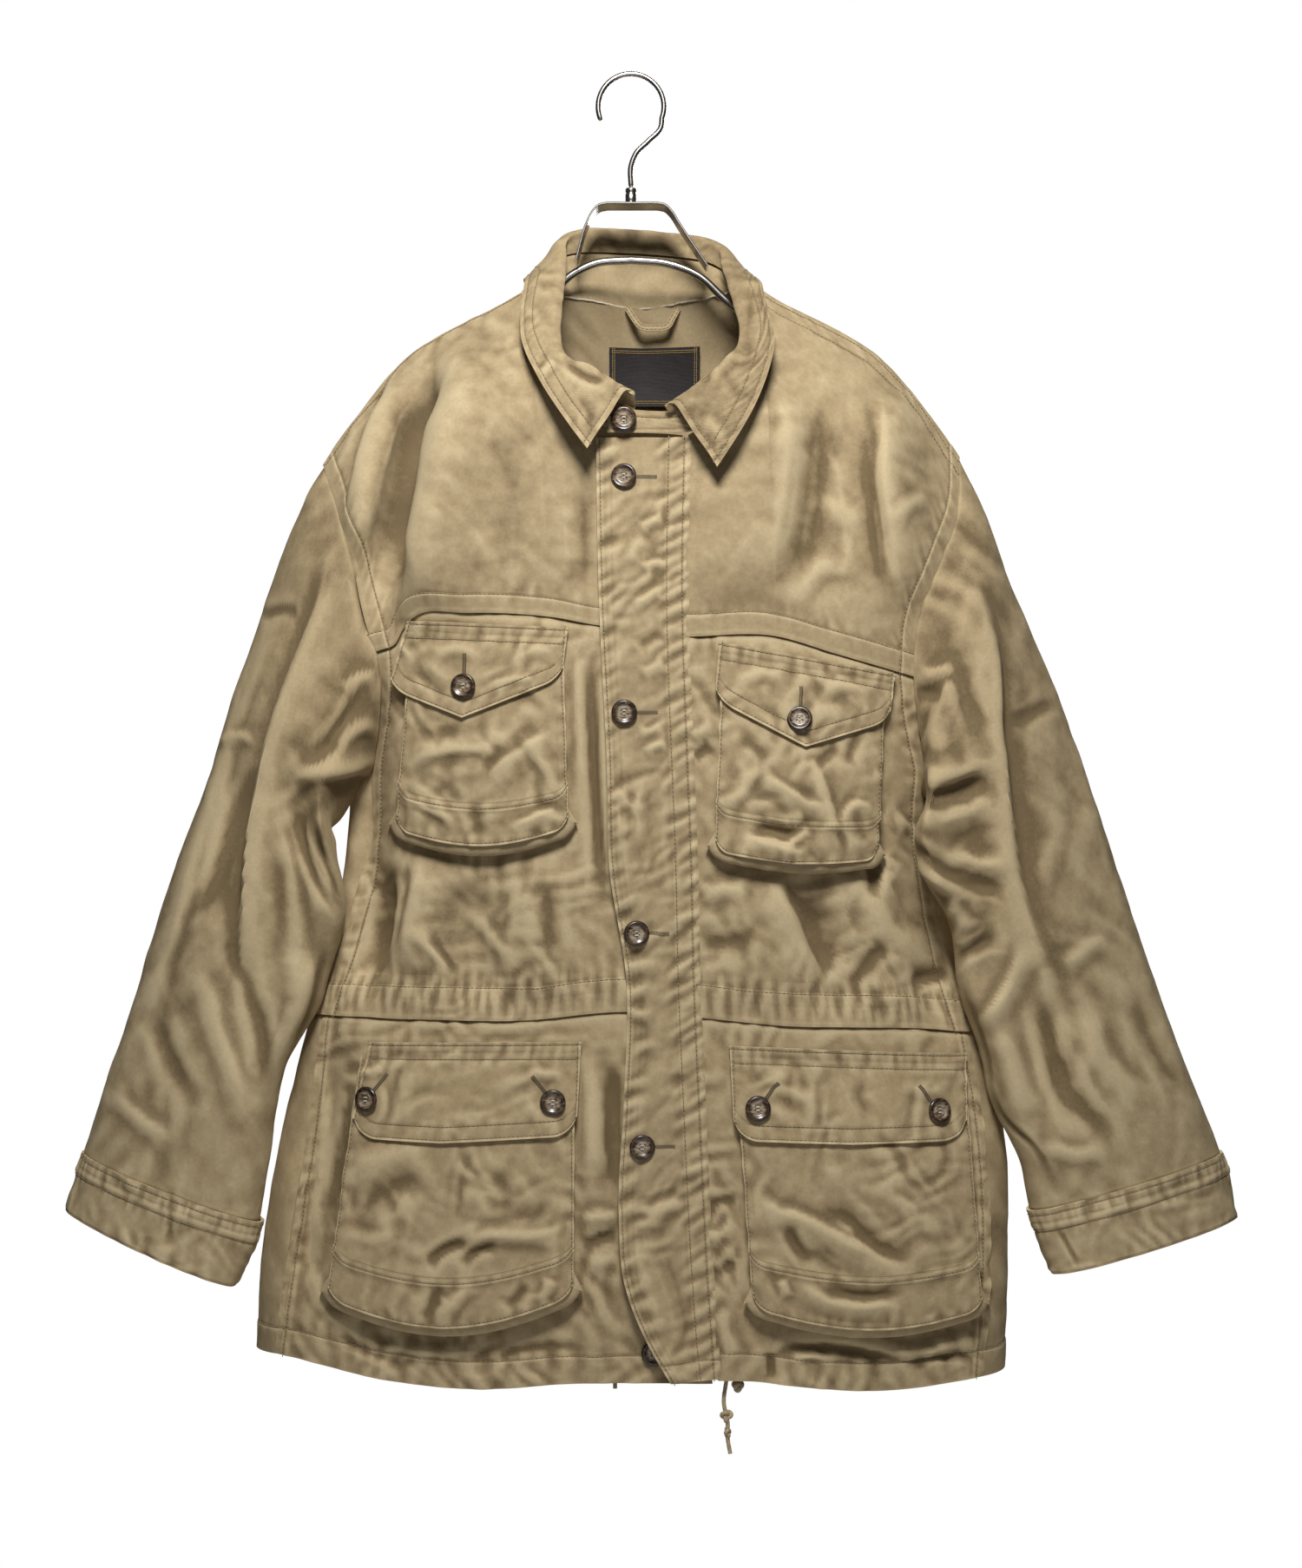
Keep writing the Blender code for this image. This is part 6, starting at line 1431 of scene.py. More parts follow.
pocketCreases = drawnFolds(
    # left chest
    ((458, 882, 500, 868, 545, 862, 592, 874), 6, 17, 3.4, 1),
    ((540, 908, 580, 880, 625, 850, 652, 836), 15, 6, 2.8),
    ((598, 838, 615, 870, 645, 902), 5, 13, 2.2),
    ((556, 910, 566, 880, 580, 846), 8, 8, -2.0),
    ((470, 836, 500, 846, 540, 842), 9, 9, -1.8),
    ((458, 914, 490, 930, 534, 953), 5, 13, 3.0),
    ((656, 924, 620, 940, 580, 958), 5, 13, 3.4),
    ((540, 918, 548, 944, 552, 968), 9, 9, -2.4),
    ((612, 918, 636, 930, 656, 928), 8, 8, -2.6),
    ((490, 762, 522, 748, 560, 758), 6, 9, 1.8),
    ((582, 768, 612, 750, 648, 752), 7, 10, 1.8),
    ((462, 768, 490, 782, 520, 806), 7, 9, -1.6),
    ((560, 800, 590, 784, 630, 782), 6, 9, 1.4),
    # right chest
    ((928, 868, 945, 901, 954, 925, 960, 952, 964, 990), 14, 5, 3.8),
    ((868, 884, 890, 899, 920, 918, 962, 940), 14, 5, 3.4, 1),
    ((828, 938, 858, 910, 876, 872), 6, 12, 3.2),
    ((936, 882, 952, 872, 970, 858), 6, 6, -3),
    ((974, 884, 983, 862, 990, 840), 6, 8, -2.6),
    ((964, 952, 984, 928, 1010, 934), 10, 6, 2.8),
    ((846, 846, 872, 862, 890, 880), 7, 9, -2),
    ((862, 950, 890, 957, 912, 962, 930, 948), 6, 9, -6),
    ((846, 962, 880, 970, 905, 976, 938, 988), 14, 5, 4.6, 1.5),
    ((906, 974, 920, 964, 936, 953), 5, 6, 3),
    ((956, 942, 976, 962, 988, 988), 6, 11, 3),
    ((840, 790, 880, 776, 914, 784), 7, 10, 2),
    ((942, 802, 976, 790, 1012, 808), 7, 10, 2),
    ((858, 802, 890, 820, 914, 844), 7, 9, -1.6),
    # left hip
    ((394, 1354, 440, 1335, 504, 1322), 20, 16, 3),
    ((394, 1402, 440, 1376, 492, 1344), 18, 18, -3.4),
    ((512, 1430, 560, 1422, 610, 1424, 658, 1419), 9, 11, 3.8, 1),
    ((485, 1463, 512, 1440, 546, 1428), 7, 7, -5),
    ((528, 1458, 550, 1441, 577, 1433), 6, 6, -3.4),
    ((508, 1478, 500, 1500, 489, 1525), 7, 7, -3),
    ((546, 1472, 524, 1500, 500, 1527), 8, 8, 3.2),
    ((636, 1470, 630, 1486, 620, 1502), 6, 7, 3),
    ((610, 1476, 596, 1494, 580, 1508), 7, 7, -2.4),
    ((560, 1350, 580, 1376, 586, 1404), 16, 18, -2),
    ((412, 1230, 428, 1236, 440, 1226), 5, 6, 2),
    ((606, 1230, 630, 1238, 652, 1234), 6, 7, 2),
    ((460, 1250, 520, 1262, 590, 1252), 16, 16, -1.6),
    # right hip
    ((857, 1356, 879, 1386, 927, 1404, 977, 1431, 1028, 1454, 1066, 1462), 20, 7, 5, 1),
    ((938, 1384, 981, 1407, 1014, 1440, 1064, 1456), 7, 14, -4.4),
    ((985, 1338, 1028, 1373, 1087, 1429), 18, 18, 2.8),
    ((904, 1400, 920, 1440, 942, 1459), 8, 8, -3.6),
    ((911, 1466, 943, 1494, 994, 1506, 1047, 1492), 12, 7, 3.6),
    ((945, 1480, 994, 1494, 1050, 1487), 7, 8, -4),
    ((898, 1472, 903, 1484, 907, 1497), 5, 6, 3),
    ((868, 1230, 920, 1262, 960, 1290), 9, 10, 1.8),
    ((1000, 1238, 990, 1262, 1006, 1290), 8, 9, -1.6),
    ((1040, 1240, 1060, 1256, 1098, 1250), 8, 9, 1.6),
)


pocketRun = {
    "chest": {"wide": 0.13, "tall": 0.15, "flap": 0.062, "panel": "front"},
    "hip": {"wide": 0.18, "tall": 0.19, "flap": 0.075, "panel": "skirt"},
}
pocketGrain = {"bag": 0.0020, "band": (0.0017, 0.0014), "flap": (0.0016, 0.0015), "gusset": (9, 150), "side": 9,
               "under": 25}
bagEdge = {"rise": 0.0003, "wide": 0.004, "stitch": (0.0024,), "groove": 0.0003, "pucker": 0.0008, "rub": 0.24}
bagFoot = {"lap": 0.004, "rise": -0.0014, "wide": 0.003, "soft": 0.003}
bandTop = {"lap": 0.002, "rise": 0.0007, "stitch": (0.002,), "pucker": 0.0008, "rub": 0.15}
flapEdge = {"rise": 0.0004, "wide": 0.004, "stitch": (0.0024,), "groove": 0.0003, "pucker": 0.0007, "rub": 0.28}
flapTop = {"stitch": (0.002, 0.0075, 0.013), "groove": 0.0003, "pucker": 0.0008, "wave": 0.007, "rub": 0.2}
bagSides, flapSides = {"start": bagEdge, "end": bagEdge}, {"start": flapEdge, "end": flapEdge}


def makePocket(pocket, flap):
    name, grain, fit = pocket["name"], pocketGrain, pocketFit
    kind, side = name.split("_")
    run = pocketRun[kind]
    wide, tall = run["wide"], run["tall"]
    seam = (pocket["seam_left"] - pocket["top_left"]) / (pocket["foot_left"] - pocket["top_left"])
    common = {
        "creases": pocketCreases, "rumple": {"seed": 20, "long": 0.034, "wide": 0.011, "lift": 0.0017},
        "on": [f"{run['panel']}_{side}"],
    }

    def onBag(u, v):
        return onFront(bagPoint(pocket, u, v), bagLift(pocket, u, v))

    down = seam * steps(tall * seam, grain["bag"], last=0.003)
    u, v = np.meshgrid(steps(wide, grain["bag"], first=0.006, last=0.006), down)
    dress(f"{name}_bag", onBag(u, v), {**common, "edges": {**bagSides, "foot": bagFoot}})
    down = steps(tall * (1 - seam), grain["band"][1], first=0.005, last=0.006)
    u, v = np.meshgrid(steps(wide, grain["band"][0], first=0.006, last=0.006), seam + (1 - seam) * down)
    dress(f"{name}_band", onBag(u, v), {
        **common, "edges": {"top": bandTop, **bagSides, "foot": {**bagEdge, "pucker": 0.0012}},
    })
    down, over = np.linspace(fit["gussetFrom"], 1, grain["side"]), ease(shares(grain["under"]))[1:-1]
    u = np.concatenate([np.zeros_like(down), over, np.ones_like(down)])
    v = np.concatenate([down, np.ones_like(over), down[::-1]])
    middle, rim = bagPoint(pocket, *map(np.array, fit["middle"])), bagPoint(pocket, u, v)
    reach = bagLift(pocket, u, v) - clothThick - fit["gussetGap"]
    low, rows = ease((v - fit["gussetLow"]) / (1 - fit["gussetLow"]))[:, None], []
    for row in gussetRows:
        spot = rim + unit(middle - rim) * mix(row["side"], row["low"], low)
        rows.append(onFront(spot, mix(fit["gussetOff"], reach, row["share"])))
    # Painted light: the bellows are coloured paler.
    dress(f"{name}_gusset", refine(np.stack(rows), *grain["gusset"]), {
        "rumple": {"lift": 0.0003}, "paintedLight": 0.15, "thick": 0.0007, "inside": onFront(middle, pocket["deep"] / 2),
        "on": common["on"],
    })
    down = steps(run["flap"], grain["flap"][1], first=0.004, last=0.008)
    u, v = np.meshgrid(steps(wide, grain["flap"][0], first=0.008, last=0.008), down)
    xz = flapPoint(flap, u, v)
    dress(f"{name}_flap", onFront(xz, flapLift(pocket, xz)), {
        **common, "thick": doubleThick,
        "edges": {"top": flapTop, **flapSides, "foot": {**flapEdge, "stitch": (0.0024, 0.0125)}},
    })


for pocket, flap in zip(pockets, flaps):
    makePocket(pocket, flap)
print("pockets dressed")


# Label and loop inside the neck
labelCut = {"left": -0.018, "right": 0.056, "top": -0.212, "foot": -0.259, "thick": 0.0008, "gap": 0.0066,
            "grid": (60, 40)}
loopCut = {
    "path": ((-0.003, -0.1815), (0.0035, -0.1915), (0.0065, -0.1953), (0.0100, -0.1968), (0.019, -0.1972),
             (0.027, -0.1968), (0.0305, -0.1953), (0.0325, -0.1915), (0.038, -0.1815)),
    "y": 0.0292, "wide": 0.005, "grid": (9, 60),
}
neckTrimInside = (0, 0.5, -0.2)


def makeNeckTrim():
    across = np.linspace(labelCut["left"], labelCut["right"], labelCut["grid"][0])
    x, z = np.meshgrid(across, np.linspace(labelCut["top"], labelCut["foot"], labelCut["grid"][1]))
    label = np.stack([x, backY(x, z) - clothThick - labelCut["gap"] - labelCut["thick"], z], axis=-1)
    dress("neck_label", label, {
        "inside": neckTrimInside, "thick": labelCut["thick"], "material": damask, "slot": "label", "on": ["back"],
    })
    rows, columns = loopCut["grid"]
    path = curve(loopCut["path"], shares(columns))
    along = unit(np.gradient(path, axis=0))
    aside = np.column_stack([-along[:, 1], along[:, 0]]) * loopCut["wide"] / 2
    strap = np.stack([np.insert(path + aside * k, 1, loopCut["y"], axis=1) for k in np.linspace(-1, 1, rows)])
    rule = {"stitch": (0.0012,), "groove": 0.0003, "pucker": 0.0001}
    dress("neck_loop", strap, {"inside": neckTrimInside, "edges": {"top": rule, "foot": rule}, "narrow": True})


makeNeckTrim()
print("neck trim made")


# Threads: stitches along the seams, and the bars of buttonholes and buttons
def addMesh(name, points, faces, material):
    mesh = bpy.data.meshes.new(name)
    mesh.from_pydata([tuple(p) for p in points], [], [tuple(int(i) for i in face) for face in faces])
    mesh.materials.append(material)
    mesh.shade_smooth()
    return putIn(name, mesh)


def ringFaces(rows, sides):
    spot = np.arange(rows * sides).reshape(rows, sides)
    after = np.roll(spot, -1, axis=1)
    faces = np.stack([spot[:-1], after[:-1], after[1:], spot[1:]], axis=-1).reshape(-1, 4).tolist()
    return faces + [spot[0, ::-1].tolist(), spot[-1].tolist()]


tubeStart = (0.3, 0.9, 0.2)  # no path runs along it


def tube(path, radius, sides):  # rings of points along a path, seen from outside
    path = np.array(path, float)
    along = unit(np.gradient(path, axis=0))
    aside = unit(np.cross(along[0], tubeStart))
    angle = circle(sides)[:, None]
    rings = []
    for spot, way, wide in zip(path, along, np.broadcast_to(radius, len(path))):
        aside = unit(aside - way * np.dot(aside, way))
        rings.append(spot + wide * (np.cos(angle) * aside + np.sin(angle) * np.cross(way, aside)))
    return np.concatenate(rings), ringFaces(len(path), sides)


def socketId(tree, name):
    return next(item.identifier for item in tree.interface.items_tree if item.name == name)


def treeWith(name, inputs):
    tree = bpy.data.node_groups.new(name, "GeometryNodeTree")
    tree.interface.new_socket("Geometry", in_out="INPUT", socket_type="NodeSocketGeometry")
    for key, kind in inputs.items():
        tree.interface.new_socket(key, in_out="INPUT", socket_type=f"NodeSocket{kind}")
    tree.interface.new_socket("Geometry", in_out="OUTPUT", socket_type="NodeSocketGeometry")
    return tree, tree.nodes.new("NodeGroupInput"), tree.nodes.new("NodeGroupOutput")


def finishTree(tree, shape, given, result):  # plain mesh with its thread's material
    real = addNode(tree, "GeometryNodeRealizeInstances", None, Geometry=shape.outputs[0])
    done = addNode(tree, "GeometryNodeSetMaterial", None, Geometry=real.outputs[0], Material=given.outputs["Thread"])
    tree.links.new(done.outputs[0], result.inputs[0])
    return tree


def stitchTree():  # short threads one after another along each line
    sizes = {"Pitch": "Float", "Length": "Float", "Radius": "Float", "Thread": "Material"}
    tree, given, result = treeWith("seam_stitches", sizes)
    at = addNode(tree, "GeometryNodeResampleCurve", {"mode": "LENGTH"}, Curve=given.outputs["Geometry"],
                 Length=given.outputs["Pitch"])
    way = addNode(tree, "GeometryNodeInputTangent")
    turn = addNode(tree, "FunctionNodeAlignRotationToVector", {"axis": "Z"}, Vector=way.outputs[0])
    thread = addNode(tree, "GeometryNodeMeshCylinder", {"fill_type": "NGON"}, Vertices=5, Side_Segments=1,
                     Radius=given.outputs["Radius"], Depth=given.outputs["Length"])
    rows = addNode(tree, "GeometryNodeInstanceOnPoints", None, Points=at.outputs[0], Instance=thread.outputs["Mesh"],
                   Rotation=turn.outputs[0])
    return finishTree(tree, rows, given, result)


def barTree():  # one round thread along each line
    tree, given, result = treeWith("thread_bars", {"Radius": "Float", "Thread": "Material"})
    ring = addNode(tree, "GeometryNodeCurvePrimitiveCircle", None, Resolution=6, Radius=given.outputs["Radius"])
    body = addNode(tree, "GeometryNodeCurveToMesh", None, Curve=given.outputs["Geometry"],
                   Profile_Curve=ring.outputs[0], Fill_Caps=True)
    return finishTree(tree, body, given, result)


def sewn(name, tree, lines, sizes, thread, slot):  # runs a tree over the lines and keeps its plain mesh
    shape = bpy.data.curves.new(name, "CURVE")
    shape.dimensions = "3D"
    for points in lines:
        spline = shape.splines.new("POLY")
        spline.points.add(len(points) - 1)
        flat = np.column_stack([points, np.ones(len(points))]).astype(np.float32).reshape(-1)
        spline.points.foreach_set("co", flat)
    source = putIn(name, shape)
    modifier = source.modifiers.new("threads", "NODES")
    modifier.node_group = tree
    for key, value in sizes.items():
        modifier[socketId(tree, key)] = value
    modifier[socketId(tree, "Thread")] = thread
    mesh = bpy.data.meshes.new_from_object(source.evaluated_get(bpy.context.evaluated_depsgraph_get()))
    bpy.data.objects.remove(source)
    mesh.name = name
    if not mesh.materials:
        mesh.materials.append(thread)
    mesh.shade_smooth()
    return declare(putIn(name, mesh), slot)


# Real stitches are about 0.5 mm thick; they are drawn 0.7 mm so that they show.
stitchSize = {"Pitch": 0.0034, "Length": 0.0027, "Radius": 0.00034}
seamStitches = stitchTree()
threadBars = barTree()


def seamLines(*wanted):
    return [lineAt(sheets[name], edge, inset, low, high) for name, edge, inset, low, high in wanted]


def sew(name, seams):
    sewn(name, seamStitches, seamLines(*seams), stitchSize, twillThread, "twill")


bodySeams, pocketSeams, trimSeams = [], [], []
for side, cut in frontCut.items():
    bodySeams += [(f"yoke_{side}", "foot", inset, 0, 1) for inset in cut["yokeStitch"]]
    bodySeams += [(f"yoke_{side}", "top", inset, frontShape["neckShare"], 0.98) for inset in cut["shoulderStitch"]]
    bodySeams += [
        (f"yoke_{side}", "end", stitchIn["armhole"], 0.02, 1), (f"front_{side}", "end", stitchIn["armhole"], 0.03, 1),
        (f"front_{side}", "foot", stitchIn["waist"], 0, 1), (f"skirt_{side}", "foot", stitchIn["hem"], 0, 1),
        (f"skirt_{side}", "end", stitchIn["side"], 0, 1),
    ]
    trimSeams += [(f"cuff_{side}", "top", 0.0018, 0, 1), (f"cuff_{side}", "top", 0.0150, 0, 1)]
bodySeams += [("back", "foot", stitchIn["waist"], 0, 1), ("back_skirt", "foot", stitchIn["hem"], 0, 1)]
trimSeams += [
    ("placket", "start", 0.0028, 0, 1), ("placket", "end", 0.0025, 0, 1), ("placket", "end", 0.0145, 0, 1),
    ("placket", "foot", 0.016, 0, 1), ("collar_leaf", "foot", 0.0048, 0, 1),
    ("collar_leaf", "foot", 0.0148, 0.02, 0.98), ("collar_leaf", "start", 0.0048, 0.3, 1),
    ("collar_leaf", "end", 0.0048, 0.3, 1), ("collar_stand", "top", 0.005, 0, 1),
    ("neck_loop", "top", 0.0012, 0, 1), ("neck_loop", "foot", 0.0012, 0, 1),
]
for pocket in pockets:
    name = pocket["name"]
    for piece in ("bag", "band", "flap"):
        pocketSeams += [(f"{name}_{piece}", edge, 0.0024, 0.02, 0.98) for edge in ("start", "end")]
    pocketSeams += [
        (f"{name}_band", "top", 0.002, 0, 1), (f"{name}_band", "foot", 0.0024, 0, 1),
        (f"{name}_flap", "top", 0.002, 0, 1), (f"{name}_flap", "top", 0.013, 0.03, 0.97),
        (f"{name}_flap", "foot", 0.0024, 0.02, 0.98), (f"{name}_flap", "foot", 0.0125, 0.1, 0.9),
    ]
sew("body_stitches", bodySeams)
sew("pocket_stitches", pocketSeams)
sew("trim_stitches", trimSeams)
pipingSize = {"Pitch": 0.0020, "Length": 0.0024, "Radius": 0.0009}
piping = [lineAt(sheets["collar_stand"], "foot", 0.0006, low=0.36, high=0.64, proud=-0.0030)]
sewn("neck_piping", seamStitches, piping, pipingSize, paleThread, "twill")
borderSize = {"Pitch": 0.0016, "Length": 0.0015, "Radius": 0.0003}
border = []
for edge in ("top", "foot", "start", "end"):
    border += [("neck_label", edge, inset, 0.04, 0.96) for inset in (0.0025, 0.0042)]
sewn("label_border", seamStitches, seamLines(*border), borderSize, goldThread, "label")
print("seams stitched")


# Buttons and buttonholes
buttonCut = {
    "radius": 0.0100, "sides": 48, "hole": 0.0010, "holeOut": 0.0021, "holeDeep": 0.0014, "holeSoft": 0.0004,
    "gap": 0.0006, "dish": 0.5, "dishSoft": 0.3, "standOff": 0.0012,
}
buttonProfile = table(
    "share height", (0.00, 0.0017), (0.30, 0.0017), (0.52, 0.0018), (0.66, 0.0026), (0.80, 0.0031), (0.93, 0.0027),
    (1.00, 0.0017),
)
buttonShares = np.concatenate([np.linspace(0.02, 0.5, 17), np.linspace(0.53, 1, 12)])
buttonUnder = records("share rise", (0.97, 0.0008), (0.7, 0.0002), (0.2, 0.0))
buttonThread = {
    "radius": 0.00038, "out": 0.75, "high": 0.0019, "bow": 0.0004, "ways": ((1, 1), (1, -1), (1, 0.8), (1, -0.8)),
}
buttons = records(
    "name x z seat holeTurn",
    ("button_collar", -0.005, -0.287, "collar_stand", None),
    ("button_front_1", -0.005, -0.331, "placket", 0),
    ("button_front_2", -0.005, -0.514, "placket", 0),
    ("button_front_3", 0.005, -0.685, "placket", 0),
    ("button_front_4", 0.009, -0.852, "placket", 0),
    ("button_front_5", 0.018, -1.013, "skirt_left", None),
    ("button_chest_left", -0.129, -0.494, "chest_left_flap", 90),
    ("button_chest_right", 0.132, -0.520, "chest_right_flap", 90),
    ("button_hip_1", -0.206, -0.816, "hip_left_flap", 52),
    ("button_hip_2", -0.060, -0.817, "hip_left_flap", 128),
    ("button_hip_3", 0.098, -0.822, "hip_right_flap", 52),
    ("button_hip_4", 0.241, -0.825, "hip_right_flap", 128),
)
slitCut = {
    "long": 0.0222, "start": 0.004, "half": 0.0008, "pitch": 0.0007, "radius": 0.00028, "lift": 0.0003, "from": 0.00025,
    "bow": 0.0002, "past": 0.0006,
}


def facingAxes(facing):
    side = unit(np.cross((0, 0, 1), facing))
    side = side if side[0] > 0 else -side
    return side, np.cross(side, facing) * (1 if np.cross(side, facing)[2] > 0 else -1)


def slitBars(sheet, seat, side, up, turn):  # the threads along a buttonhole's two lips
    way, across = side * math.cos(turn) + up * math.sin(turn), up * math.cos(turn) - side * math.sin(turn)
    bars, cut = [], slitCut
    for k in np.arange(0, cut["long"], cut["pitch"]):
        for half in (-1, 1):
            at = seat + way * (cut["start"] + k)
            spot, normal = spotOn(sheet, at[0], at[2])
            spot = at + normal * np.dot(spot - at, normal) + normal * cut["lift"]
            bars.append(np.stack([
                spot + across * half * cut["from"], spot + across * half * cut["half"] + normal * cut["bow"],
                spot + across * half * (cut["half"] + cut["past"]) - normal * cut["bow"],
            ]))
    return bars


def makeButton(row):
    cut, sheet = buttonCut, sheets[row["seat"]]
    seat, facing = spotOn(sheet, row["x"], row["z"])
    if row["seat"] == "collar_stand":
        facing = np.array((0.0, -1.0, 0.0))
        seat = np.array((row["x"], standTab["top"][0][1] - cut["standOff"], row["z"]))
    side, up = facingAxes(facing)
    angle = circle(cut["sides"])
    r, a = np.meshgrid(buttonShares * cut["radius"], angle, indexing="ij")
    high = read(buttonProfile["share"], buttonProfile["height"], r / cut["radius"])
    for k in range(4):
        turn = math.pi / 4 + k * math.pi / 2
        away = np.hypot(r * np.cos(a) - cut["holeOut"] * math.cos(turn),
                        r * np.sin(a) - cut["holeOut"] * math.sin(turn))
        high = high - cut["holeDeep"] * ease((cut["hole"] - away) / cut["holeSoft"])
    base = seat + facing * cut["gap"]
    rings = [*(base + (r * np.cos(a))[..., None] * side + (r * np.sin(a))[..., None] * up + high[..., None] * facing)]
    for under in buttonUnder:
        spoke = under["share"] * cut["radius"] * (np.cos(angle)[:, None] * side + np.sin(angle)[:, None] * up)
        rings.append(base + spoke + under["rise"] * facing)
    faces, points = ringFaces(len(rings), cut["sides"]), np.concatenate(rings)
    drawn = np.cross(points[faces[0][1]] - points[faces[0][0]], points[faces[0][2]] - points[faces[0][0]])
    if np.dot(drawn, facing) < 0:
        faces = [face[::-1] for face in faces]
    made = declare(addMesh(f"{row['name']}_turned", points, faces, horn), "horn", row["name"])
    dish = 1 - ease((r / cut["radius"] - cut["dish"]) / cut["dishSoft"])
    dish = np.concatenate([dish, np.zeros((len(buttonUnder), cut["sides"]))])
    made.data.attributes.new("dish", "FLOAT", "POINT").data.foreach_set("value", dish.astype(np.float32).reshape(-1))
    out, top = cut["holeOut"] * buttonThread["out"], base + facing * buttonThread["high"]
    threads = []
    for a, b in buttonThread["ways"]:
        bow = top + facing * buttonThread["bow"] + up * out * b
        threads.append(np.stack([top + side * out * a + up * out * b, bow, top + side * -out * a + up * out * b]))
    bars = [] if row["holeTurn"] is None else slitBars(sheet, seat, side, up, math.radians(row["holeTurn"]))
    return threads, bars


buttonThreads, holeBars = [], []
for row in buttons:
    threads, bars = makeButton(row)
    buttonThreads += threads
    holeBars += bars
sewn("button_threads", threadBars, buttonThreads, {"Radius": buttonThread["radius"]}, paleThread, "twill")
sewn("buttonhole_threads", threadBars, holeBars, {"Radius": slitCut["radius"]}, darkThread, "twill")
print("buttons sewn")


# Hanger
hangerCut = {
    "wire": 0.0021, "turn": 0.0265, "end": 205, "start": -20, "sides": 20, "deep": 0.027, "thick": 0.0018,
    "bevel": 0.0005, "sharp": 30, "bar": 0.0032, "ferruleSides": 32, "inside": (0, 0, -0.3),
    "points": {"hook": 70, "stem": 40, "bracket": 24, "bar": 60},
    "stem": ((0.024, -0.041), (0.014, -0.052), (0.004, -0.062), (0.000, -0.072), (0.000, -0.0895)),
    "left": ((-0.019, -0.1036), (-0.026, -0.1052), (-0.031, -0.110), (-0.036, -0.1195), (-0.045, -0.150)),
    "right": ((0.021, -0.1036), (0.028, -0.1052), (0.033, -0.110), (0.039, -0.1195), (0.062, -0.154)),
    "barLeft": ((0.000, -0.148), (-0.030, -0.151), (-0.048, -0.160), (-0.066, -0.177), (-0.085, -0.192),
                (-0.113, -0.207), (-0.184, -0.247)),
    "barRight": ((0.000, -0.148), (0.030, -0.151), (0.055, -0.161), (0.076, -0.180), (0.090, -0.191), (0.113, -0.203),
                 (0.184, -0.245)),
}
ferruleProfile = records(
    "z radius", (-0.0900, 0.0030), (-0.0903, 0.0040), (-0.0912, 0.0045), (-0.0930, 0.0045), (-0.0936, 0.0040),
    (-0.0946, 0.0040), (-0.0952, 0.0045), (-0.1006, 0.0045), (-0.1018, 0.0042), (-0.1026, 0.0036), (-0.1030, 0.0028),
)


def hangerPiece(name, points, faces, node):
    return declare(addMesh(name, points, faces, steel), "steel", node)


def ringPiece(name, rings, node):
    faces = [face[::-1] for face in ringFaces(*rings.shape[:2])]
    return hangerPiece(name, rings.reshape(-1, 3), faces, node)


def roundEnds(path, radius, count=5, tip=0.02):  # domes a rod's two ends
    path, t = np.array(path), np.linspace(0, np.pi / 2, count)[::-1]
    first, last = unit(path[0] - path[1]), unit(path[-1] - path[-2])
    start = [path[0] + first * radius * (math.sin(a) - 1) for a in t]
    end = [path[-1] + last * radius * (math.sin(a) - 1) for a in t[::-1]]
    fromStart, fromEnd = (np.linalg.norm(path - path[k], axis=1) for k in (0, -1))
    inner = path[(fromStart > radius) & (fromEnd > radius)]
    wide = [radius * max(math.cos(a), tip) for a in t]
    return np.concatenate([start, inner, end]), np.concatenate([wide, np.full(len(inner), radius), wide[::-1]])


def makeHanger():
    cut, count = hangerCut, hangerCut["points"]
    middle, angle = cut["wire"] - cut["turn"], np.radians(np.linspace(cut["end"], cut["start"], count["hook"]))
    arc = [(cut["turn"] * math.cos(a), 0, middle + cut["turn"] * math.sin(a)) for a in angle]
    stem = curve((arc[-1], *((x, 0, z) for x, z in cut["stem"])), shares(count["stem"]))
    path, wide = roundEnds(np.concatenate([arc, stem[1:]]), cut["wire"])
    hangerPiece("hanger_hook_wire", *tube(path, wide, cut["sides"]), "hanger_hook")
    angle, rings = circle(cut["ferruleSides"]), []
    for row in ferruleProfile:
        rings.append([(row["radius"] * math.cos(a), row["radius"] * math.sin(a), row["z"]) for a in angle])
    ringPiece("hanger_ferrule_turned", np.array(rings), "hanger_ferrule")
    t = shares(count["bracket"])
    path = np.insert(np.concatenate([curve(cut["left"], t)[::-1], curve(cut["right"], t)]), 1, 0, axis=1)
    out = np.cross(unit(np.gradient(path, axis=0)), (0, 1, 0))
    out = out * np.sign((out * (path - np.array(cut["inside"]))).sum(axis=1, keepdims=True))
    half, thick, bevel = cut["deep"] / 2, cut["thick"], cut["bevel"]
    section = (
        (-half + bevel, 0), (half - bevel, 0), (half, -bevel), (half, bevel - thick), (half - bevel, -thick),
        (bevel - half, -thick), (-half, bevel - thick), (-half, -bevel),
    )
    rings = np.stack([path + np.array((0, y, 0)) + out * n for y, n in section], axis=1)
    strip = ringPiece("hanger_bracket_strip", rings, "hanger_bracket")
    strip.data.set_sharp_from_angle(angle=math.radians(cut["sharp"]))
    t = shares(count["bar"])
    bar = np.concatenate([curve(cut["barLeft"], t)[:0:-1], curve(cut["barRight"], t)])
    path, wide = roundEnds(np.insert(bar, 1, 0, axis=1), cut["bar"])
    hangerPiece("hanger_bar_rod", *tube(path, wide, cut["sides"]), "hanger_bar")


makeHanger()
print("hanger made")


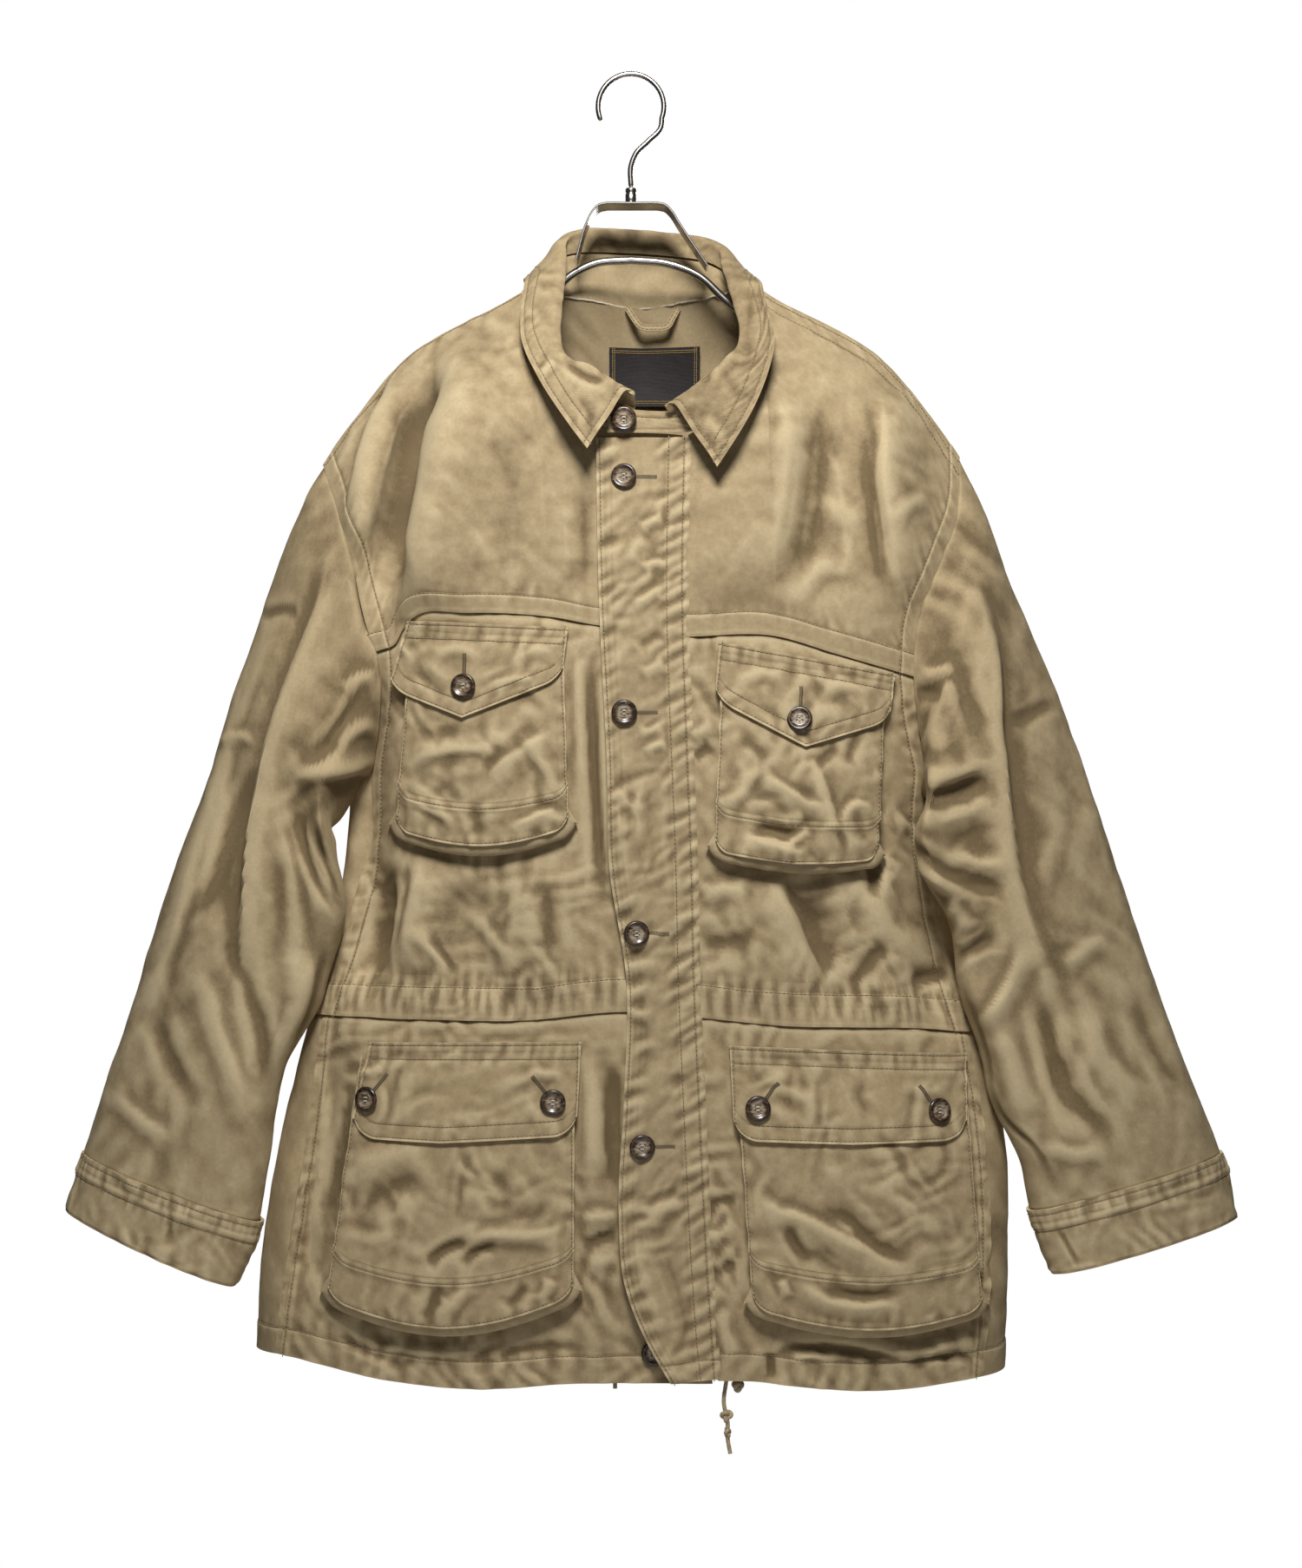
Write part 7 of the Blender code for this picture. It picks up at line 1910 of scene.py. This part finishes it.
# Drawstring ends at the hem
cordCut = {
    "radius": 0.0016, "strands": 4, "pitch": 0.006, "sides": 24, "weave": 0.10, "weaveMiddle": 0.6,
    "leftPoints": 60, "rightPoints": 130, "knotPoints": 90, "knotSides": 12,
    "left": ((-0.012, -0.0620, -1.005), (-0.012, -0.0625, -1.022), (-0.012, -0.0640, -1.0425)),
    "right": ((0.077, -0.0640, -1.011), (0.075, -0.0645, -1.036), (0.073, -0.0650, -1.053), (0.076, -0.0650, -1.069),
              (0.076, -0.0650, -1.081), (0.078, -0.0655, -1.093)),
    "knots": records("z reach turn", (-1.0635, 0.0042, 0.5), (-1.0765, 0.0032, 1.4)),
    "bead": (0.084, -0.0640, -1.0405), "beadRadius": 0.0034, "beadThick": 1.25, "beadTurns": (0.0, 1.2),
}


def braided(path, radius):  # a tube whose strands cross as a braid's do
    sides, strands = cordCut["sides"], cordCut["strands"]
    points, faces = tube(path, radius, sides)
    rings = points.reshape(len(path), sides, 3)
    run = np.concatenate([[0], np.cumsum(lengthsOf(path))])[:, None]
    angle = circle(sides)[None]
    way = 2 * np.pi * run / cordCut["pitch"]
    weave = np.maximum(np.cos(strands * angle + way), np.cos(strands * angle - way))
    out = rings - path[:, None]
    swell = 1 + cordCut["weave"] * (weave[..., None] - cordCut["weaveMiddle"])
    return (path[:, None] + out * swell).reshape(-1, 3), faces


def joined(parts):
    points, faces, count = [], [], 0
    for spots, made in parts:
        points.append(spots)
        faces += [[i + count for i in face] for face in made]
        count += len(spots)
    return np.concatenate(points), faces


def tied(centre, reach, thick, turn):  # an overhand knot drawn tight
    t = np.linspace(0, 2 * np.pi, cordCut["knotPoints"])
    x, y, z = np.sin(t) + 2 * np.sin(2 * t), np.cos(t) - 2 * np.cos(2 * t), -np.sin(3 * t)
    cos, sin = math.cos(turn), math.sin(turn)
    path = np.column_stack([x * cos - z * sin, x * sin + z * cos, y]) / 3
    return tube(np.array(centre) + reach * path, thick, cordCut["knotSides"])


def makeCords():
    radius = cordCut["radius"]

    def cordPiece(name, shape, *nodes):
        return declare(addMesh(name, *shape, cordCotton), "cord", *nodes)

    left = curve(cordCut["left"], shares(cordCut["leftPoints"]))
    made = cordPiece("hem_cord_left_braid", braided(left, radius), "hem_cord_left")
    right = curve(cordCut["right"], shares(cordCut["rightPoints"]))
    made = cordPiece("hem_cord_right_braid", braided(right, radius), "hem_cord_right")
    knots = []
    for row in cordCut["knots"]:
        spot = right[np.argmin(np.abs(right[:, 2] - row["z"]))]
        knots.append(tied(spot, row["reach"], radius, row["turn"]))
    knots = cordPiece("hem_cord_knots", joined(knots))
    thick = radius * cordCut["beadThick"]
    bead = joined([tied(cordCut["bead"], cordCut["beadRadius"], thick, turn) for turn in cordCut["beadTurns"]])
    bead = cordPiece("hem_knot_tied", bead, "hem_knot")


makeCords()
print("drawstring made")
